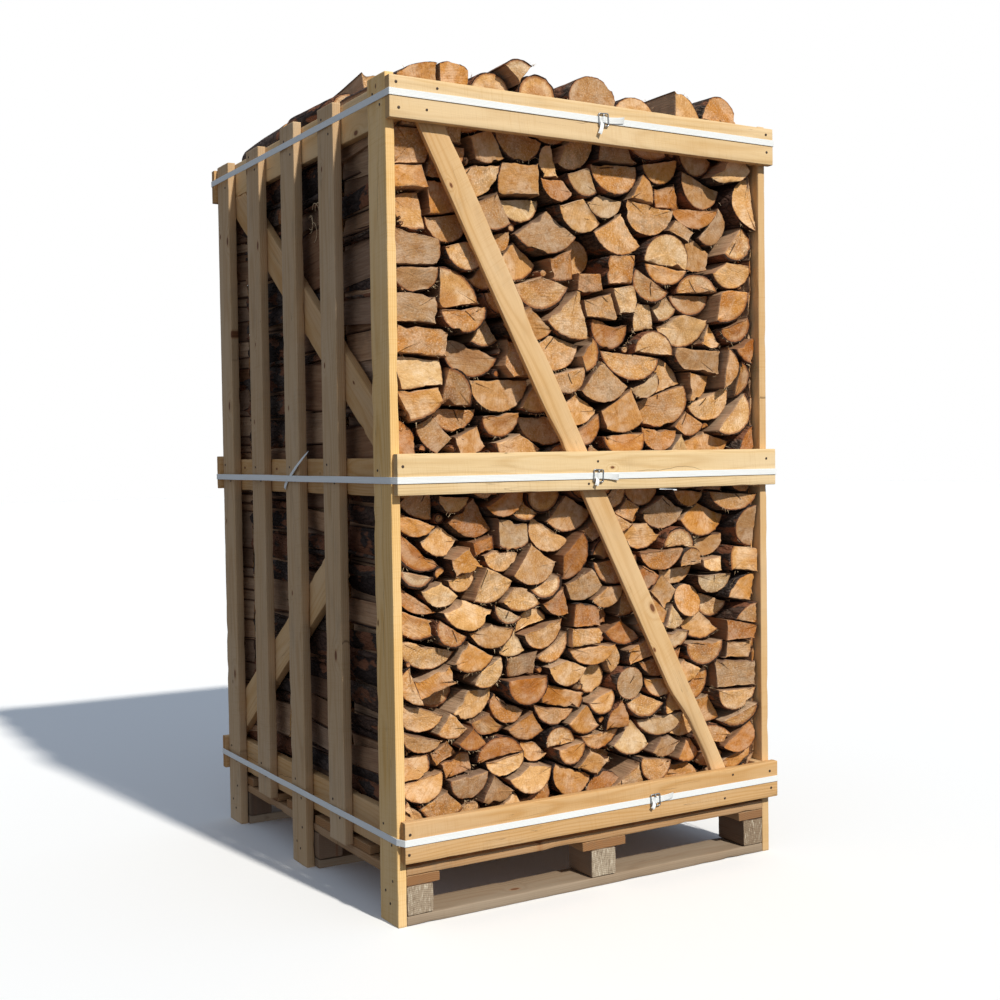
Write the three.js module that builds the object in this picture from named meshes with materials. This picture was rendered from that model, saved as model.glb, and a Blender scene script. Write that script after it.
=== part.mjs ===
// Split firewood stacked three rows deep in an open slatted timber crate that is
// built round a pallet and bound by three tensioned straps.
// Millimetres, +Z up, +X to the right of the front, the front faces -Y.
// Origin: on the ground, under the middle of the crate.
import * as THREE from "three";
import { mergeVertices } from "three/addons/utils/BufferGeometryUtils.js";

// ---------------------------------------------------------------- dimensions
const GAP = 0.3; // clearance between pieces that touch

const CRATE_W = 1050; // across the outer faces of the posts
const CRATE_D = 1066; // front face to back face of the posts
const BOARD_T = 22; // sawn board thickness, posts, rails and slats
const BRACE_T = 14; // the diagonal boards are thinner
const POST_W = 88;
const SLAT_W = 90;
const RAIL_H = 90;

const HX = CRATE_W / 2; // 525, outer face of the posts
const IX = HX - BOARD_T; // 503, inner face of the posts
const RX = IX - BOARD_T; // 481, inner face of the side rails
const HY = CRATE_D / 2; // 533, front face of the posts

const POST_TOPS = { left_front: 1825, left_back: 1820, right_front: 1822, right_back: 1818 };
// side slats: centre along Y, foot and top heights
const SLATS = {
  left_slat_front: [-215, 113, 1822],
  left_slat_middle: [20, 0, 1829],
  left_slat_back: [260, 121, 1818],
  right_slat_front: [-240, 118, 1820],
  right_slat_middle: [-10, 0, 1826],
  right_slat_back: [230, 115, 1816],
};
// rails on the front and back: foot height, how far the near end stops short of
// the post's outer face, and how far the other end runs past it
const FRONT_RAILS = {
  top: [1724, 0, 8],
  middle: [930, -5, 10],
  bottom: [142, -9, 10],
};
const SIDE_RAILS = { top: [1728, 89], middle: [926, 85], bottom: [143, 89] };

// diagonal brace of the front and back frames, in the frame's own X, Z
const BRACE_TOP = [-415, 1728];
const BRACE_FOOT = [351, 238];
const BRACE_HALF = 35; // half its width measured along X

const PALLET_X = IX - GAP; // half width of the pallet between the posts
const PALLET_Y = HY; // half depth, flush with the posts
const RUNNER_T = 22;
const RUNNER_W = 98;
const BLOCK_H = 65;
const BLOCK_D = 98; // block length along Y
const STRINGER_T = 21.4;
const DECK_T = 21;
const BLOCK_X = { left: [-PALLET_X, -438], middle: [-22, 48], right: [440, PALLET_X] };
const STRINGER_X = { left: [-PALLET_X, -422], middle: [-46, 77], right: [426, PALLET_X] };
const ROWS_Y = { front: -PALLET_Y + RUNNER_W / 2, middle: 0, back: PALLET_Y - RUNNER_W / 2 };
const DECK_BOARDS = 6;
const DECK_W = 128;

const Z_BLOCK = RUNNER_T + GAP;
const Z_STRINGER = Z_BLOCK + BLOCK_H + GAP;
const Z_DECK = Z_STRINGER + STRINGER_T + GAP;
const Z_LOGS = Z_DECK + DECK_T + GAP;

const STRAP_W = 15;
const STRAP_T = 1.1;
const STRAP_Z = { top: 1778, middle: 963, bottom: 188 };
const BUCKLE_X = { top: 18, middle: -7, bottom: 147 };

const LOG_ROW_Y = { front: [-512, -172], middle: [-168, 168], back: [172, 512] };
const LOG_X = RX - 0.6; // the stack fills the crate between the side rails

// upper outline of each row of logs, X and Z
const HEAP = {
  front: [
    [-480, 1845], [-465, 1854], [-450, 1862], [-435, 1867], [-420, 1870], [-405, 1871], [-390, 1872],
    [-375, 1877], [-360, 1881], [-345, 1881], [-330, 1881], [-315, 1880], [-300, 1880], [-285, 1862],
    [-270, 1870], [-255, 1876], [-240, 1878], [-225, 1888], [-210, 1901], [-195, 1906], [-180, 1908],
    [-165, 1908], [-150, 1905], [-135, 1898], [-120, 1886], [-105, 1886], [-90, 1881], [-75, 1871],
    [-60, 1846], [-45, 1863], [-30, 1880], [-15, 1889], [0, 1894], [15, 1896], [30, 1896],
    [45, 1895], [60, 1891], [75, 1884], [90, 1870], [105, 1834], [120, 1858], [135, 1868],
    [150, 1872], [165, 1872], [180, 1871], [195, 1866], [210, 1854], [225, 1809], [240, 1809],
    [255, 1891], [270, 1892], [285, 1890], [300, 1886], [315, 1879], [330, 1866], [345, 1864],
    [360, 1882], [375, 1891], [390, 1895], [405, 1896], [420, 1895], [435, 1891], [450, 1883],
    [465, 1864], [480, 1809],
  ],
  middle: [
    [-480, 1866], [-465, 1877], [-450, 1881], [-435, 1881], [-420, 1877], [-405, 1936], [-390, 1935],
    [-375, 1934], [-360, 1931], [-345, 1925], [-330, 1916], [-315, 1869], [-300, 1872], [-285, 1870],
    [-270, 1869], [-255, 1868], [-240, 1867], [-225, 1849], [-210, 1840], [-195, 1881], [-180, 1888],
    [-165, 1893], [-150, 1895], [-135, 1896], [-120, 1895], [-105, 1893], [-90, 1888], [-75, 1881],
    [-60, 1870], [-45, 1853], [-30, 1824], [-15, 1825], [0, 1851], [15, 1860], [30, 1864],
    [45, 1878], [60, 1892], [75, 1901], [90, 1906], [105, 1908], [120, 1908], [135, 1906],
    [150, 1901], [165, 1891], [180, 1904], [195, 1906], [210, 1901], [225, 1895], [240, 1889],
    [255, 1884], [270, 1878], [285, 1872], [300, 1867], [315, 1862], [330, 1861], [345, 1857],
    [360, 1878], [375, 1880], [390, 1871], [405, 1861], [420, 1852], [435, 1842], [450, 1833],
    [465, 1788], [480, 1766],
  ],
  back: [
    [-480, 1867], [-465, 1881], [-450, 1887], [-435, 1888], [-420, 1887], [-405, 1882], [-390, 1870],
    [-375, 1877], [-360, 1887], [-345, 1890], [-330, 1890], [-315, 1888], [-300, 1881], [-285, 1865],
    [-270, 1861], [-255, 1856], [-240, 1849], [-225, 1842], [-210, 1835], [-195, 1828], [-180, 1835],
    [-165, 1841], [-150, 1843], [-135, 1844], [-120, 1844], [-105, 1842], [-90, 1842], [-75, 1824],
    [-60, 1807], [-45, 1807], [-30, 1807], [-15, 1814], [0, 1828], [15, 1837], [30, 1844],
    [45, 1847], [60, 1849], [75, 1849], [90, 1848], [105, 1845], [120, 1839], [135, 1821],
    [150, 1829], [165, 1833], [180, 1835], [195, 1835], [210, 1833], [225, 1829], [240, 1845],
    [255, 1845], [270, 1844], [285, 1842], [300, 1841], [315, 1840], [330, 1839], [345, 1831],
    [360, 1815], [375, 1816], [390, 1817], [405, 1818], [420, 1817], [435, 1816], [450, 1812],
    [465, 1802], [480, 1784],
  ],
};

// ---------------------------------------------------------------- materials
const pine = { color: 0xe3bf84, roughness: 0.7, metalness: 0 };
const pineShade = { color: 0xcfa76c, roughness: 0.75, metalness: 0 };
const weathered = { color: 0xa08a6c, roughness: 0.85, metalness: 0 };
const block = { color: 0x8d8577, roughness: 0.9, metalness: 0 };
const firewood = { color: 0xb97f4b, roughness: 0.85, metalness: 0 };
const strapping = { color: 0xf1f3f2, roughness: 0.5, metalness: 0 };
const wire = { color: 0xc4c7ca, roughness: 0.35, metalness: 1 };

// ---------------------------------------------------------------- helpers
const group = new THREE.Group();

function piece(parent, name, geometry, look, position = [0, 0, 0]) {
  const mesh = new THREE.Mesh(geometry, new THREE.MeshStandardMaterial(look));
  mesh.name = name;
  mesh.position.set(...position);
  parent.add(mesh);
  return mesh;
}

// A board with planed-off arrises: section a x b extruded along its length.
function board(name, parent, [x0, x1], [y0, y1], [z0, z1], look, along = "z") {
  const size = [x1 - x0, y1 - y0, z1 - z0];
  const [a, b, l] =
    along === "z" ? [size[0], size[1], size[2]] : along === "x" ? [size[1], size[2], size[0]] : [size[2], size[0], size[1]];
  const c = 1.2; // arris
  const shape = new THREE.Shape();
  shape.moveTo(-a / 2 + c, -b / 2);
  shape.lineTo(a / 2 - c, -b / 2);
  shape.lineTo(a / 2, -b / 2 + c);
  shape.lineTo(a / 2, b / 2 - c);
  shape.lineTo(a / 2 - c, b / 2);
  shape.lineTo(-a / 2 + c, b / 2);
  shape.lineTo(-a / 2, b / 2 - c);
  shape.lineTo(-a / 2, -b / 2 + c);
  const geometry = new THREE.ExtrudeGeometry(shape, { depth: l, bevelEnabled: false });
  geometry.translate(0, 0, -l / 2);
  // turn the extrusion's own x, y, z into the board's axes by an even permutation
  const m = new THREE.Matrix4();
  if (along === "x") m.makeBasis(new THREE.Vector3(0, 1, 0), new THREE.Vector3(0, 0, 1), new THREE.Vector3(1, 0, 0));
  if (along === "y") m.makeBasis(new THREE.Vector3(0, 0, 1), new THREE.Vector3(1, 0, 0), new THREE.Vector3(0, 1, 0));
  geometry.applyMatrix4(m);
  return piece(parent, name, geometry, look, [(x0 + x1) / 2, (y0 + y1) / 2, (z0 + z1) / 2]);
}

// A flat outline in X, Z given as points, extruded along +Y from y0 to y1.
function slabXZ(points, y0, y1) {
  const shape = new THREE.Shape(points.map(([x, z]) => new THREE.Vector2(x, z)));
  const geometry = new THREE.ExtrudeGeometry(shape, { depth: y1 - y0, bevelEnabled: false });
  geometry.rotateX(Math.PI / 2); // shape y -> z, depth -> -y
  geometry.translate(0, y1, 0);
  return geometry;
}

// A flat outline in Y, Z given as points, extruded along +X from x0 to x1.
function slabYZ(points, x0, x1) {
  const shape = new THREE.Shape(points.map(([y, z]) => new THREE.Vector2(y, z)));
  const geometry = new THREE.ExtrudeGeometry(shape, { depth: x1 - x0, bevelEnabled: false });
  const m = new THREE.Matrix4().makeBasis(
    new THREE.Vector3(0, 1, 0),
    new THREE.Vector3(0, 0, 1),
    new THREE.Vector3(1, 0, 0),
  );
  geometry.applyMatrix4(m);
  geometry.translate(x0, 0, 0);
  return geometry;
}

// Part of a polygon on the side of a line where nx*x + nz*z <= d.
function trim(points, nx, nz, d) {
  const out = [];
  points.forEach((p, i) => {
    const q = points[(i + 1) % points.length];
    const a = nx * p[0] + nz * p[1] - d;
    const b = nx * q[0] + nz * q[1] - d;
    if (a <= 0) out.push(p);
    if (a * b < 0) {
      const t = a / (a - b);
      out.push([p[0] + (q[0] - p[0]) * t, p[1] + (q[1] - p[1]) * t]);
    }
  });
  return out;
}

// ---------------------------------------------------------------- pallet
const pallet = new THREE.Group();
group.add(pallet);

for (const [row, y] of Object.entries(ROWS_Y)) {
  // bottom runner along X; its upper edges are planed off so forks ride over it
  const w = RUNNER_W / 2;
  const t = RUNNER_T;
  const section = [
    [-w, 0], [w, 0], [w, t - 7], [w - 9, t], [-w + 9, t], [-w, t - 7],
  ];
  piece(pallet, `pallet_runner_${row}`, slabYZ(section, -PALLET_X, PALLET_X), weathered, [0, y, 0]);
  for (const [side, [x0, x1]] of Object.entries(BLOCK_X)) {
    board(`pallet_block_${row}_${side}`, pallet, [x0, x1], [y - BLOCK_D / 2 + (row === "middle" ? 0 : 0), y + BLOCK_D / 2],
      [Z_BLOCK, Z_BLOCK + BLOCK_H], block);
  }
}
for (const [side, x] of Object.entries(STRINGER_X)) {
  board(`pallet_stringer_${side}`, pallet, x, [-PALLET_Y, PALLET_Y], [Z_STRINGER, Z_STRINGER + STRINGER_T], weathered, "y");
}
for (let i = 0; i < DECK_BOARDS; i++) {
  const y0 = -PALLET_Y + ((2 * PALLET_Y - DECK_W) * i) / (DECK_BOARDS - 1);
  board(`pallet_deck_board_${i + 1}`, pallet, [-PALLET_X, PALLET_X], [y0, y0 + DECK_W], [Z_DECK, Z_DECK + DECK_T], pineShade, "x");
}

// ---------------------------------------------------------------- crate sides
for (const side of ["left", "right"]) {
  const s = side === "left" ? -1 : 1;
  const frame = new THREE.Group();
  group.add(frame);
  const outer = s < 0 ? [-HX, -IX] : [IX, HX];
  const inner = s < 0 ? [-IX + GAP, -RX] : [RX, IX - GAP];
  board(`${side}_post_front`, frame, outer, [-HY, -HY + POST_W], [0, POST_TOPS[`${side}_front`]], pine);
  board(`${side}_post_back`, frame, outer, [HY - POST_W, HY], [0, POST_TOPS[`${side}_back`]], pine);
  for (const [name, [y, foot, top]] of Object.entries(SLATS)) {
    if (!name.startsWith(side)) continue;
    board(name, frame, outer, [y - SLAT_W / 2, y + SLAT_W / 2], [foot, top], pine);
  }
  for (const [level, [z, h]] of Object.entries(SIDE_RAILS)) {
    board(`${side}_rail_${level}`, frame, inner, [-HY + GAP, HY - GAP], [z, z + h], pineShade, "y");
  }
  // two diagonals that meet near the front post, behind the slats
  const railTop = SIDE_RAILS.top[0] - GAP;
  const midTop = SIDE_RAILS.middle[0] + SIDE_RAILS.middle[1] + GAP;
  const midFoot = SIDE_RAILS.middle[0] - GAP;
  const lowTop = SIDE_RAILS.bottom[0] + SIDE_RAILS.bottom[1] + GAP;
  const strip = (ya, za, yb, zb, half) => {
    const l = Math.hypot(yb - ya, zb - za);
    const uy = (yb - ya) / l;
    const uz = (zb - za) / l;
    const e = 260; // overlong, then trimmed to fit between the rails
    const a = [ya - uy * e, za - uz * e];
    const b = [yb + uy * e, zb + uz * e];
    return [
      [a[0] + uz * half, a[1] - uy * half],
      [b[0] + uz * half, b[1] - uy * half],
      [b[0] - uz * half, b[1] + uy * half],
      [a[0] - uz * half, a[1] + uy * half],
    ];
  };
  let upper = strip(-250, 1203, 240, 1569, 45);
  upper = trim(trim(upper, 0, 1, railTop), 0, -1, -midTop);
  upper = trim(trim(upper, 1, 0, HY - 2), -1, 0, HY - 2);
  piece(frame, `${side}_brace_upper`, slabYZ(upper, ...inner), pineShade);
  let lower = strip(20, 622, 482, 300, 45);
  lower = trim(trim(lower, 0, 1, midFoot), 0, -1, -lowTop);
  lower = trim(trim(lower, 1, 0, HY - 2), -1, 0, 310);
  piece(frame, `${side}_brace_lower`, slabYZ(lower, ...inner), pineShade);
}

// ---------------------------------------------------------------- front and back frames
for (const face of ["front", "back"]) {
  const frame = new THREE.Group();
  if (face === "back") frame.rotation.z = Math.PI; // the same frame, turned round
  group.add(frame);
  for (const [level, [z, short, past]] of Object.entries(FRONT_RAILS)) {
    board(`${face}_rail_${level}`, frame, [-HX - short, HX + past], [-HY - BOARD_T, -HY - GAP], [z, z + RAIL_H], pine, "x");
  }
  // one long diagonal nailed behind the three rails
  const zTop = FRONT_RAILS.top[0] + RAIL_H - 4;
  const zFoot = FRONT_RAILS.bottom[0] + 2;
  const slope = (BRACE_FOOT[0] - BRACE_TOP[0]) / (BRACE_FOOT[1] - BRACE_TOP[1]);
  const x = (z) => BRACE_TOP[0] + slope * (z - BRACE_TOP[1]);
  let outline = [
    [x(zFoot) - BRACE_HALF + 4, zFoot],
    [x(zFoot) + BRACE_HALF - 5, zFoot],
    [x(zTop) + BRACE_HALF, zTop],
    [x(zTop) - BRACE_HALF, zTop],
  ];
  outline = trim(outline, -1, 0, RX - 1); // clear of the side rail
  piece(frame, `${face}_brace`, slabXZ(outline, -HY, -HY + BRACE_T), pine);
}

// ---------------------------------------------------------------- log rows
for (const [row, [y0, y1]] of Object.entries(LOG_ROW_Y)) {
  const top = HEAP[row];
  const outline = [
    [-LOG_X, Z_LOGS],
    [LOG_X, Z_LOGS],
    [LOG_X, top[top.length - 1][1]],
    ...top.slice(1, -1).reverse(),
    [-LOG_X, top[0][1]],
  ];
  piece(group, `log_row_${row}`, slabXZ(outline, y0, y1), firewood);
}

// ---------------------------------------------------------------- straps
// Each strap is pulled tight, so it runs straight from corner to corner.
function tightLoop(level) {
  const [, short, past] = FRONT_RAILS[level];
  const left = -HX - short;
  const right = HX + past;
  const y = HY + BOARD_T;
  const corners = [
    [left, -y], [right, -y], [right, -HY], [HX, -HY], [HX, HY], [-left, HY],
    [-left, y], [-right, y], [-right, HY], [-HX, HY], [-HX, -HY], [left, -HY],
  ];
  // convex hull, counter-clockwise
  const sorted = corners.map((p) => [...p]).sort((a, b) => a[0] - b[0] || a[1] - b[1]);
  const cross = (o, a, b) => (a[0] - o[0]) * (b[1] - o[1]) - (a[1] - o[1]) * (b[0] - o[0]);
  const half = (list) => {
    const h = [];
    for (const p of list) {
      while (h.length > 1 && cross(h[h.length - 2], h[h.length - 1], p) <= 1e-6) h.pop();
      h.push(p);
    }
    h.pop();
    return h;
  };
  return [...half(sorted), ...half(sorted.reverse())];
}

// Offset of a counter-clockwise convex outline by d; corners are mitred, or
// rounded where the strap folds round an edge.
function offset(hull, d, rounded) {
  const out = [];
  const n = hull.length;
  hull.forEach((p, i) => {
    const a = hull[(i + n - 1) % n];
    const b = hull[(i + 1) % n];
    const n1 = Math.atan2(-(p[0] - a[0]), p[1] - a[1]);
    let n2 = Math.atan2(-(b[0] - p[0]), b[1] - p[1]);
    while (n2 < n1 - 1e-9) n2 += 2 * Math.PI;
    const turn = n2 - n1;
    if (rounded && turn > 0.6) {
      for (let k = 0; k <= 2; k++) {
        const t = n1 + (turn * k) / 2;
        out.push([p[0] + d * Math.cos(t), p[1] + d * Math.sin(t)]);
      }
    } else {
      const t = n1 + turn / 2;
      const r = d / Math.cos(turn / 2);
      out.push([p[0] + r * Math.cos(t), p[1] + r * Math.sin(t)]);
    }
  });
  return out;
}

for (const [level, z] of Object.entries(STRAP_Z)) {
  const hull = tightLoop(level);
  const shape = new THREE.Shape(offset(hull, GAP + STRAP_T, true).map(([x, y]) => new THREE.Vector2(x, y)));
  shape.holes.push(new THREE.Path(offset(hull, GAP, false).map(([x, y]) => new THREE.Vector2(x, y))));
  const geometry = new THREE.ExtrudeGeometry(shape, { depth: STRAP_W, bevelEnabled: false });
  piece(group, `strap_${level}`, geometry, strapping, [0, 0, z - STRAP_W / 2]);

  // wire buckle: two windows with a bar between them, lying on the strap
  const w = 13;
  const h = 15;
  const r = 3;
  const corner = (cx, cy, from) =>
    [0, 1, 2, 3].map((k) => {
      const t = ((from + k * 30) * Math.PI) / 180;
      return new THREE.Vector2(cx + r * Math.cos(t), cy + r * Math.sin(t));
    });
  const outer = new THREE.Shape([
    ...corner(w - r, h - r, 0), ...corner(-w + r, h - r, 90),
    ...corner(-w + r, -h + r, 180), ...corner(w - r, -h + r, 270),
  ]);
  for (const [a, b, m] of [[-w + 3.2, -1.6, 3.2], [1.6, w - 3.2, 3.5]]) {
    outer.holes.push(
      new THREE.Path([
        new THREE.Vector2(a, -h + m), new THREE.Vector2(a, h - m - 0.2),
        new THREE.Vector2(b, h - m), new THREE.Vector2(b, -h + m + 0.2),
      ]),
    );
  }
  const buckle = new THREE.ExtrudeGeometry(outer, { depth: 3.2, bevelEnabled: false });
  buckle.rotateX(Math.PI / 2);
  piece(group, `buckle_${level}`, buckle, wire, [BUCKLE_X[level], -HY - BOARD_T - STRAP_T - 2 * GAP, z]);
}

// Duplicate vertices along the outlines are welded so every piece is one closed surface.
group.traverse((o) => {
  if (!o.isMesh) return;
  o.geometry.deleteAttribute("normal");
  o.geometry.deleteAttribute("uv");
  o.geometry = mergeVertices(o.geometry, 1e-4);
  o.geometry.computeVertexNormals();
});

export default group;
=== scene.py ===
import bpy
import math
import numpy as np
from mathutils import Matrix, Vector


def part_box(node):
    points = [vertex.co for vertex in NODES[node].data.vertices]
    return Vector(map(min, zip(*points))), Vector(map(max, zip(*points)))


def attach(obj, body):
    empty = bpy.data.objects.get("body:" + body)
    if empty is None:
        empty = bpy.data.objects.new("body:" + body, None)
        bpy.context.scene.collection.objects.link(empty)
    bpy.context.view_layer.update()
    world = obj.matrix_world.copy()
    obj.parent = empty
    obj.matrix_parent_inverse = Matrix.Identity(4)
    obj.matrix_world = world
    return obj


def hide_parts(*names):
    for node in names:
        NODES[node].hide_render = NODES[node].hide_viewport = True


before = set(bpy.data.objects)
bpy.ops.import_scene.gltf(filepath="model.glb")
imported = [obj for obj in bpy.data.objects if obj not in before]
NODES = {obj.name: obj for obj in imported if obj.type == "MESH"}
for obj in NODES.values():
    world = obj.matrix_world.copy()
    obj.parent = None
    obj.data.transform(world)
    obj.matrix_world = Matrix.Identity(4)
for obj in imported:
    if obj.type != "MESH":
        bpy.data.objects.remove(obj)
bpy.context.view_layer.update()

# ------------------------------------------------------------------ noise and mesh helpers


def _hash(ix, iy, iz, seed):
    h = np.atleast_1d(ix * 374761393 + iy * 668265263 + iz * 1274126177 + seed * 974634777) & 0xFFFFFFFF
    h = ((h ^ (h >> 13)) * 1103515245) & 0xFFFFFFFF
    h = ((h ^ (h >> 16)) * 2246822519) & 0xFFFFFFFF
    h = h.reshape(np.shape(ix))
    return ((h ^ (h >> 15)) & 0xFFFFFF) / float(0xFFFFFF) * 2.0 - 1.0


def vnoise(x, y, z, seed=0):
    """Smooth value noise, -1 to 1, on numpy arrays."""
    x, y, z = np.broadcast_arrays(np.asarray(x, float), np.asarray(y, float), np.asarray(z, float))
    ix, iy, iz = (np.floor(a).astype(np.int64) for a in (x, y, z))
    fx, fy, fz = x - ix, y - iy, z - iz
    fx, fy, fz = (a * a * (3 - 2 * a) for a in (fx, fy, fz))
    out = 0.0
    for dx in (0, 1):
        wx = fx if dx else 1 - fx
        for dy in (0, 1):
            wy = fy if dy else 1 - fy
            for dz in (0, 1):
                wz = fz if dz else 1 - fz
                out = out + wx * wy * wz * _hash(ix + dx, iy + dy, iz + dz, seed)
    return out


class Builder:
    """Collects many closed shapes into one mesh with attributes."""

    def __init__(self):
        self.v, self.f, self.m, self.a, self.b, self.ring, self.corner = [], [], [], [], [], [], []
        self.n = 0
        self.marks = 1

    def mark(self):
        self.marks += 1
        return self.marks

    def add(self, verts, quads, tris, qm, tm, a, b, ring, corner):
        """verts (n,3); quads (k,4); tris (k,3); material index per face; a and b (n,3) attributes."""
        self.v.append(verts)
        self.f.append((quads + self.n, qm, tris + self.n, tm))
        self.a.append(a)
        self.b.append(b)
        self.ring.append(ring)
        self.corner.append(corner)
        self.n += len(verts)

    def make(self, name, materials):
        v = np.concatenate(self.v)
        v[:, 2] = np.maximum(v[:, 2], 0.0)  # nothing sinks below the ground
        a = np.concatenate(self.a)
        b = np.concatenate(self.b)
        ring = np.concatenate(self.ring)
        corner = np.concatenate(self.corner)
        q = np.concatenate([f[0].reshape(-1, 4) for f in self.f])
        qm = np.concatenate([f[1] for f in self.f])
        t = np.concatenate([f[2].reshape(-1, 3) for f in self.f])
        tm = np.concatenate([f[3] for f in self.f])
        me = bpy.data.meshes.new(name)
        me.vertices.add(len(v))
        me.vertices.foreach_set("co", v.astype(np.float32).ravel())
        loops = np.concatenate([q.ravel(), t.ravel()]).astype(np.int32)
        me.loops.add(len(loops))
        me.loops.foreach_set("vertex_index", loops)
        total = np.concatenate([np.full(len(q), 4), np.full(len(t), 3)]).astype(np.int32)
        start = np.concatenate([[0], np.cumsum(total)[:-1]]).astype(np.int32)
        me.polygons.add(len(total))
        me.polygons.foreach_set("loop_start", start)
        me.polygons.foreach_set("loop_total", total)
        me.polygons.foreach_set("material_index", np.concatenate([qm, tm]).astype(np.int32))
        me.update(calc_edges=True)
        me.polygons.foreach_set("use_smooth", np.ones(len(total), bool))
        for n, arr in (("pa", a), ("pb", b)):
            at = me.attributes.new(n, "FLOAT_VECTOR", "POINT")
            at.data.foreach_set("vector", arr.astype(np.float32).ravel())
        e = np.zeros(len(me.edges) * 2, np.int32)
        me.edges.foreach_get("vertices", e)
        e = e.reshape(-1, 2)
        sharp = ((ring[e[:, 0]] == ring[e[:, 1]]) & (ring[e[:, 0]] > 0)) | (
            (corner[e[:, 0]] == corner[e[:, 1]]) & (corner[e[:, 0]] > 0)
        )
        se = me.attributes.get("sharp_edge") or me.attributes.new("sharp_edge", "BOOLEAN", "EDGE")
        se.data.foreach_set("value", sharp)
        for mat in materials:
            me.materials.append(mat)
        me.validate()
        o = bpy.data.objects.new(name, me)
        bpy.context.scene.collection.objects.link(o)
        return o


# ------------------------------------------------------------------ node graph helper


class G:
    """A short way to write a material's node graph."""

    def __init__(self, name):
        self.mat = bpy.data.materials.new(name)
        self.mat.use_nodes = True
        self.t = self.mat.node_tree
        self.t.nodes.clear()
        self.out = self.t.nodes.new("ShaderNodeOutputMaterial")
        self.bsdf = self.t.nodes.new("ShaderNodeBsdfPrincipled")
        self.t.links.new(self.bsdf.outputs[0], self.out.inputs[0])

    def put(self, socket, value):
        if isinstance(value, bpy.types.NodeSocket):
            self.t.links.new(value, socket)
        elif isinstance(value, (tuple, list)) and len(value) == 3 and socket.type == "RGBA":
            socket.default_value = (*value, 1.0)
        else:
            socket.default_value = value

    def node(self, kind, props=None, **ins):
        n = self.t.nodes.new(kind)
        for k, v in (props or {}).items():
            setattr(n, k, v)
        for k, v in ins.items():
            self.put(n.inputs[k.replace("_", " ")], v)
        return n

    def attr(self, name):
        n = self.node("ShaderNodeAttribute", {"attribute_name": name})
        return n.outputs["Vector"]

    def xyz(self, v):
        n = self.node("ShaderNodeSeparateXYZ")
        self.put(n.inputs[0], v)
        return n.outputs

    def vec(self, x, y, z):
        n = self.node("ShaderNodeCombineXYZ")
        for i, v in enumerate((x, y, z)):
            self.put(n.inputs[i], v)
        return n.outputs[0]

    def m(self, op, a, b=None, c=None, clamp=False):
        n = self.node("ShaderNodeMath", {"operation": op, "use_clamp": clamp})
        self.put(n.inputs[0], a)
        if b is not None:
            self.put(n.inputs[1], b)
        if c is not None:
            self.put(n.inputs[2], c)
        return n.outputs[0]

    def noise(self, v, scale, detail=2.0, rough=0.5, dist=0.0, col=False):
        n = self.node("ShaderNodeTexNoise", {"noise_dimensions": "3D"}, Scale=scale, Detail=detail, Roughness=rough, Distortion=dist)
        self.put(n.inputs["Vector"], v)
        return n.outputs["Color" if col else "Fac"]

    def voronoi(self, v, scale, feature="F1", out="Distance", rnd=1.0):
        n = self.node("ShaderNodeTexVoronoi", {"feature": feature}, Scale=scale, Randomness=rnd)
        self.put(n.inputs["Vector"], v)
        return n.outputs[out]

    def step(self, x, a, b, lo=0.0, hi=1.0, smooth=True):
        n = self.node("ShaderNodeMapRange", {"interpolation_type": "SMOOTHSTEP" if smooth else "LINEAR", "clamp": True})
        self.put(n.inputs["Value"], x)
        self.put(n.inputs["From Min"], a)
        self.put(n.inputs["From Max"], b)
        self.put(n.inputs["To Min"], lo)
        self.put(n.inputs["To Max"], hi)
        return n.outputs[0]

    def mix(self, f, a, b, mode="MIX"):
        n = self.node("ShaderNodeMix", {"data_type": "RGBA", "blend_type": mode, "clamp_factor": True})
        self.put(n.inputs[0], f)
        self.put(n.inputs[6], a)
        self.put(n.inputs[7], b)
        return n.outputs[2]

    def ramp(self, f, stops, mode="LINEAR"):
        n = self.node("ShaderNodeValToRGB")
        cr = n.color_ramp
        cr.interpolation = mode
        while len(cr.elements) < len(stops):
            cr.elements.new(0.5)
        for el, (p, c) in zip(cr.elements, stops):
            el.position = p
            el.color = (*c, 1.0) if len(c) == 3 else c
        self.put(n.inputs[0], f)
        return n.outputs[0]

    def hsv(self, c, h=0.5, s=1.0, v=1.0):
        n = self.node("ShaderNodeHueSaturation")
        self.put(n.inputs["Hue"], h)
        self.put(n.inputs["Saturation"], s)
        self.put(n.inputs["Value"], v)
        self.put(n.inputs["Color"], c)
        return n.outputs[0]

    def bump(self, height, strength, dist, under=None):
        n = self.node("ShaderNodeBump", None, Strength=strength, Distance=dist)
        self.put(n.inputs["Height"], height)
        if under is not None:
            self.put(n.inputs["Normal"], under)
        return n.outputs[0]

    def finish(self, color, rough, normal=None, spec=0.3, metal=0.0):
        self.put(self.bsdf.inputs["Base Color"], color)
        self.put(self.bsdf.inputs["Roughness"], rough)
        self.bsdf.inputs["Specular IOR Level"].default_value = spec
        self.bsdf.inputs["Metallic"].default_value = metal
        if normal is not None:
            self.put(self.bsdf.inputs["Normal"], normal)
        return self.mat


def srgb(r, g, b):
    return tuple(((c / 255) / 12.92 if c / 255 <= 0.04045 else ((c / 255 + 0.055) / 1.055) ** 2.4) for c in (r, g, b))


# ------------------------------------------------------------------ firewood materials
# pa: x, z from the pith and y along the log, in metres.  pb: bark radius, flattening, random number.


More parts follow.
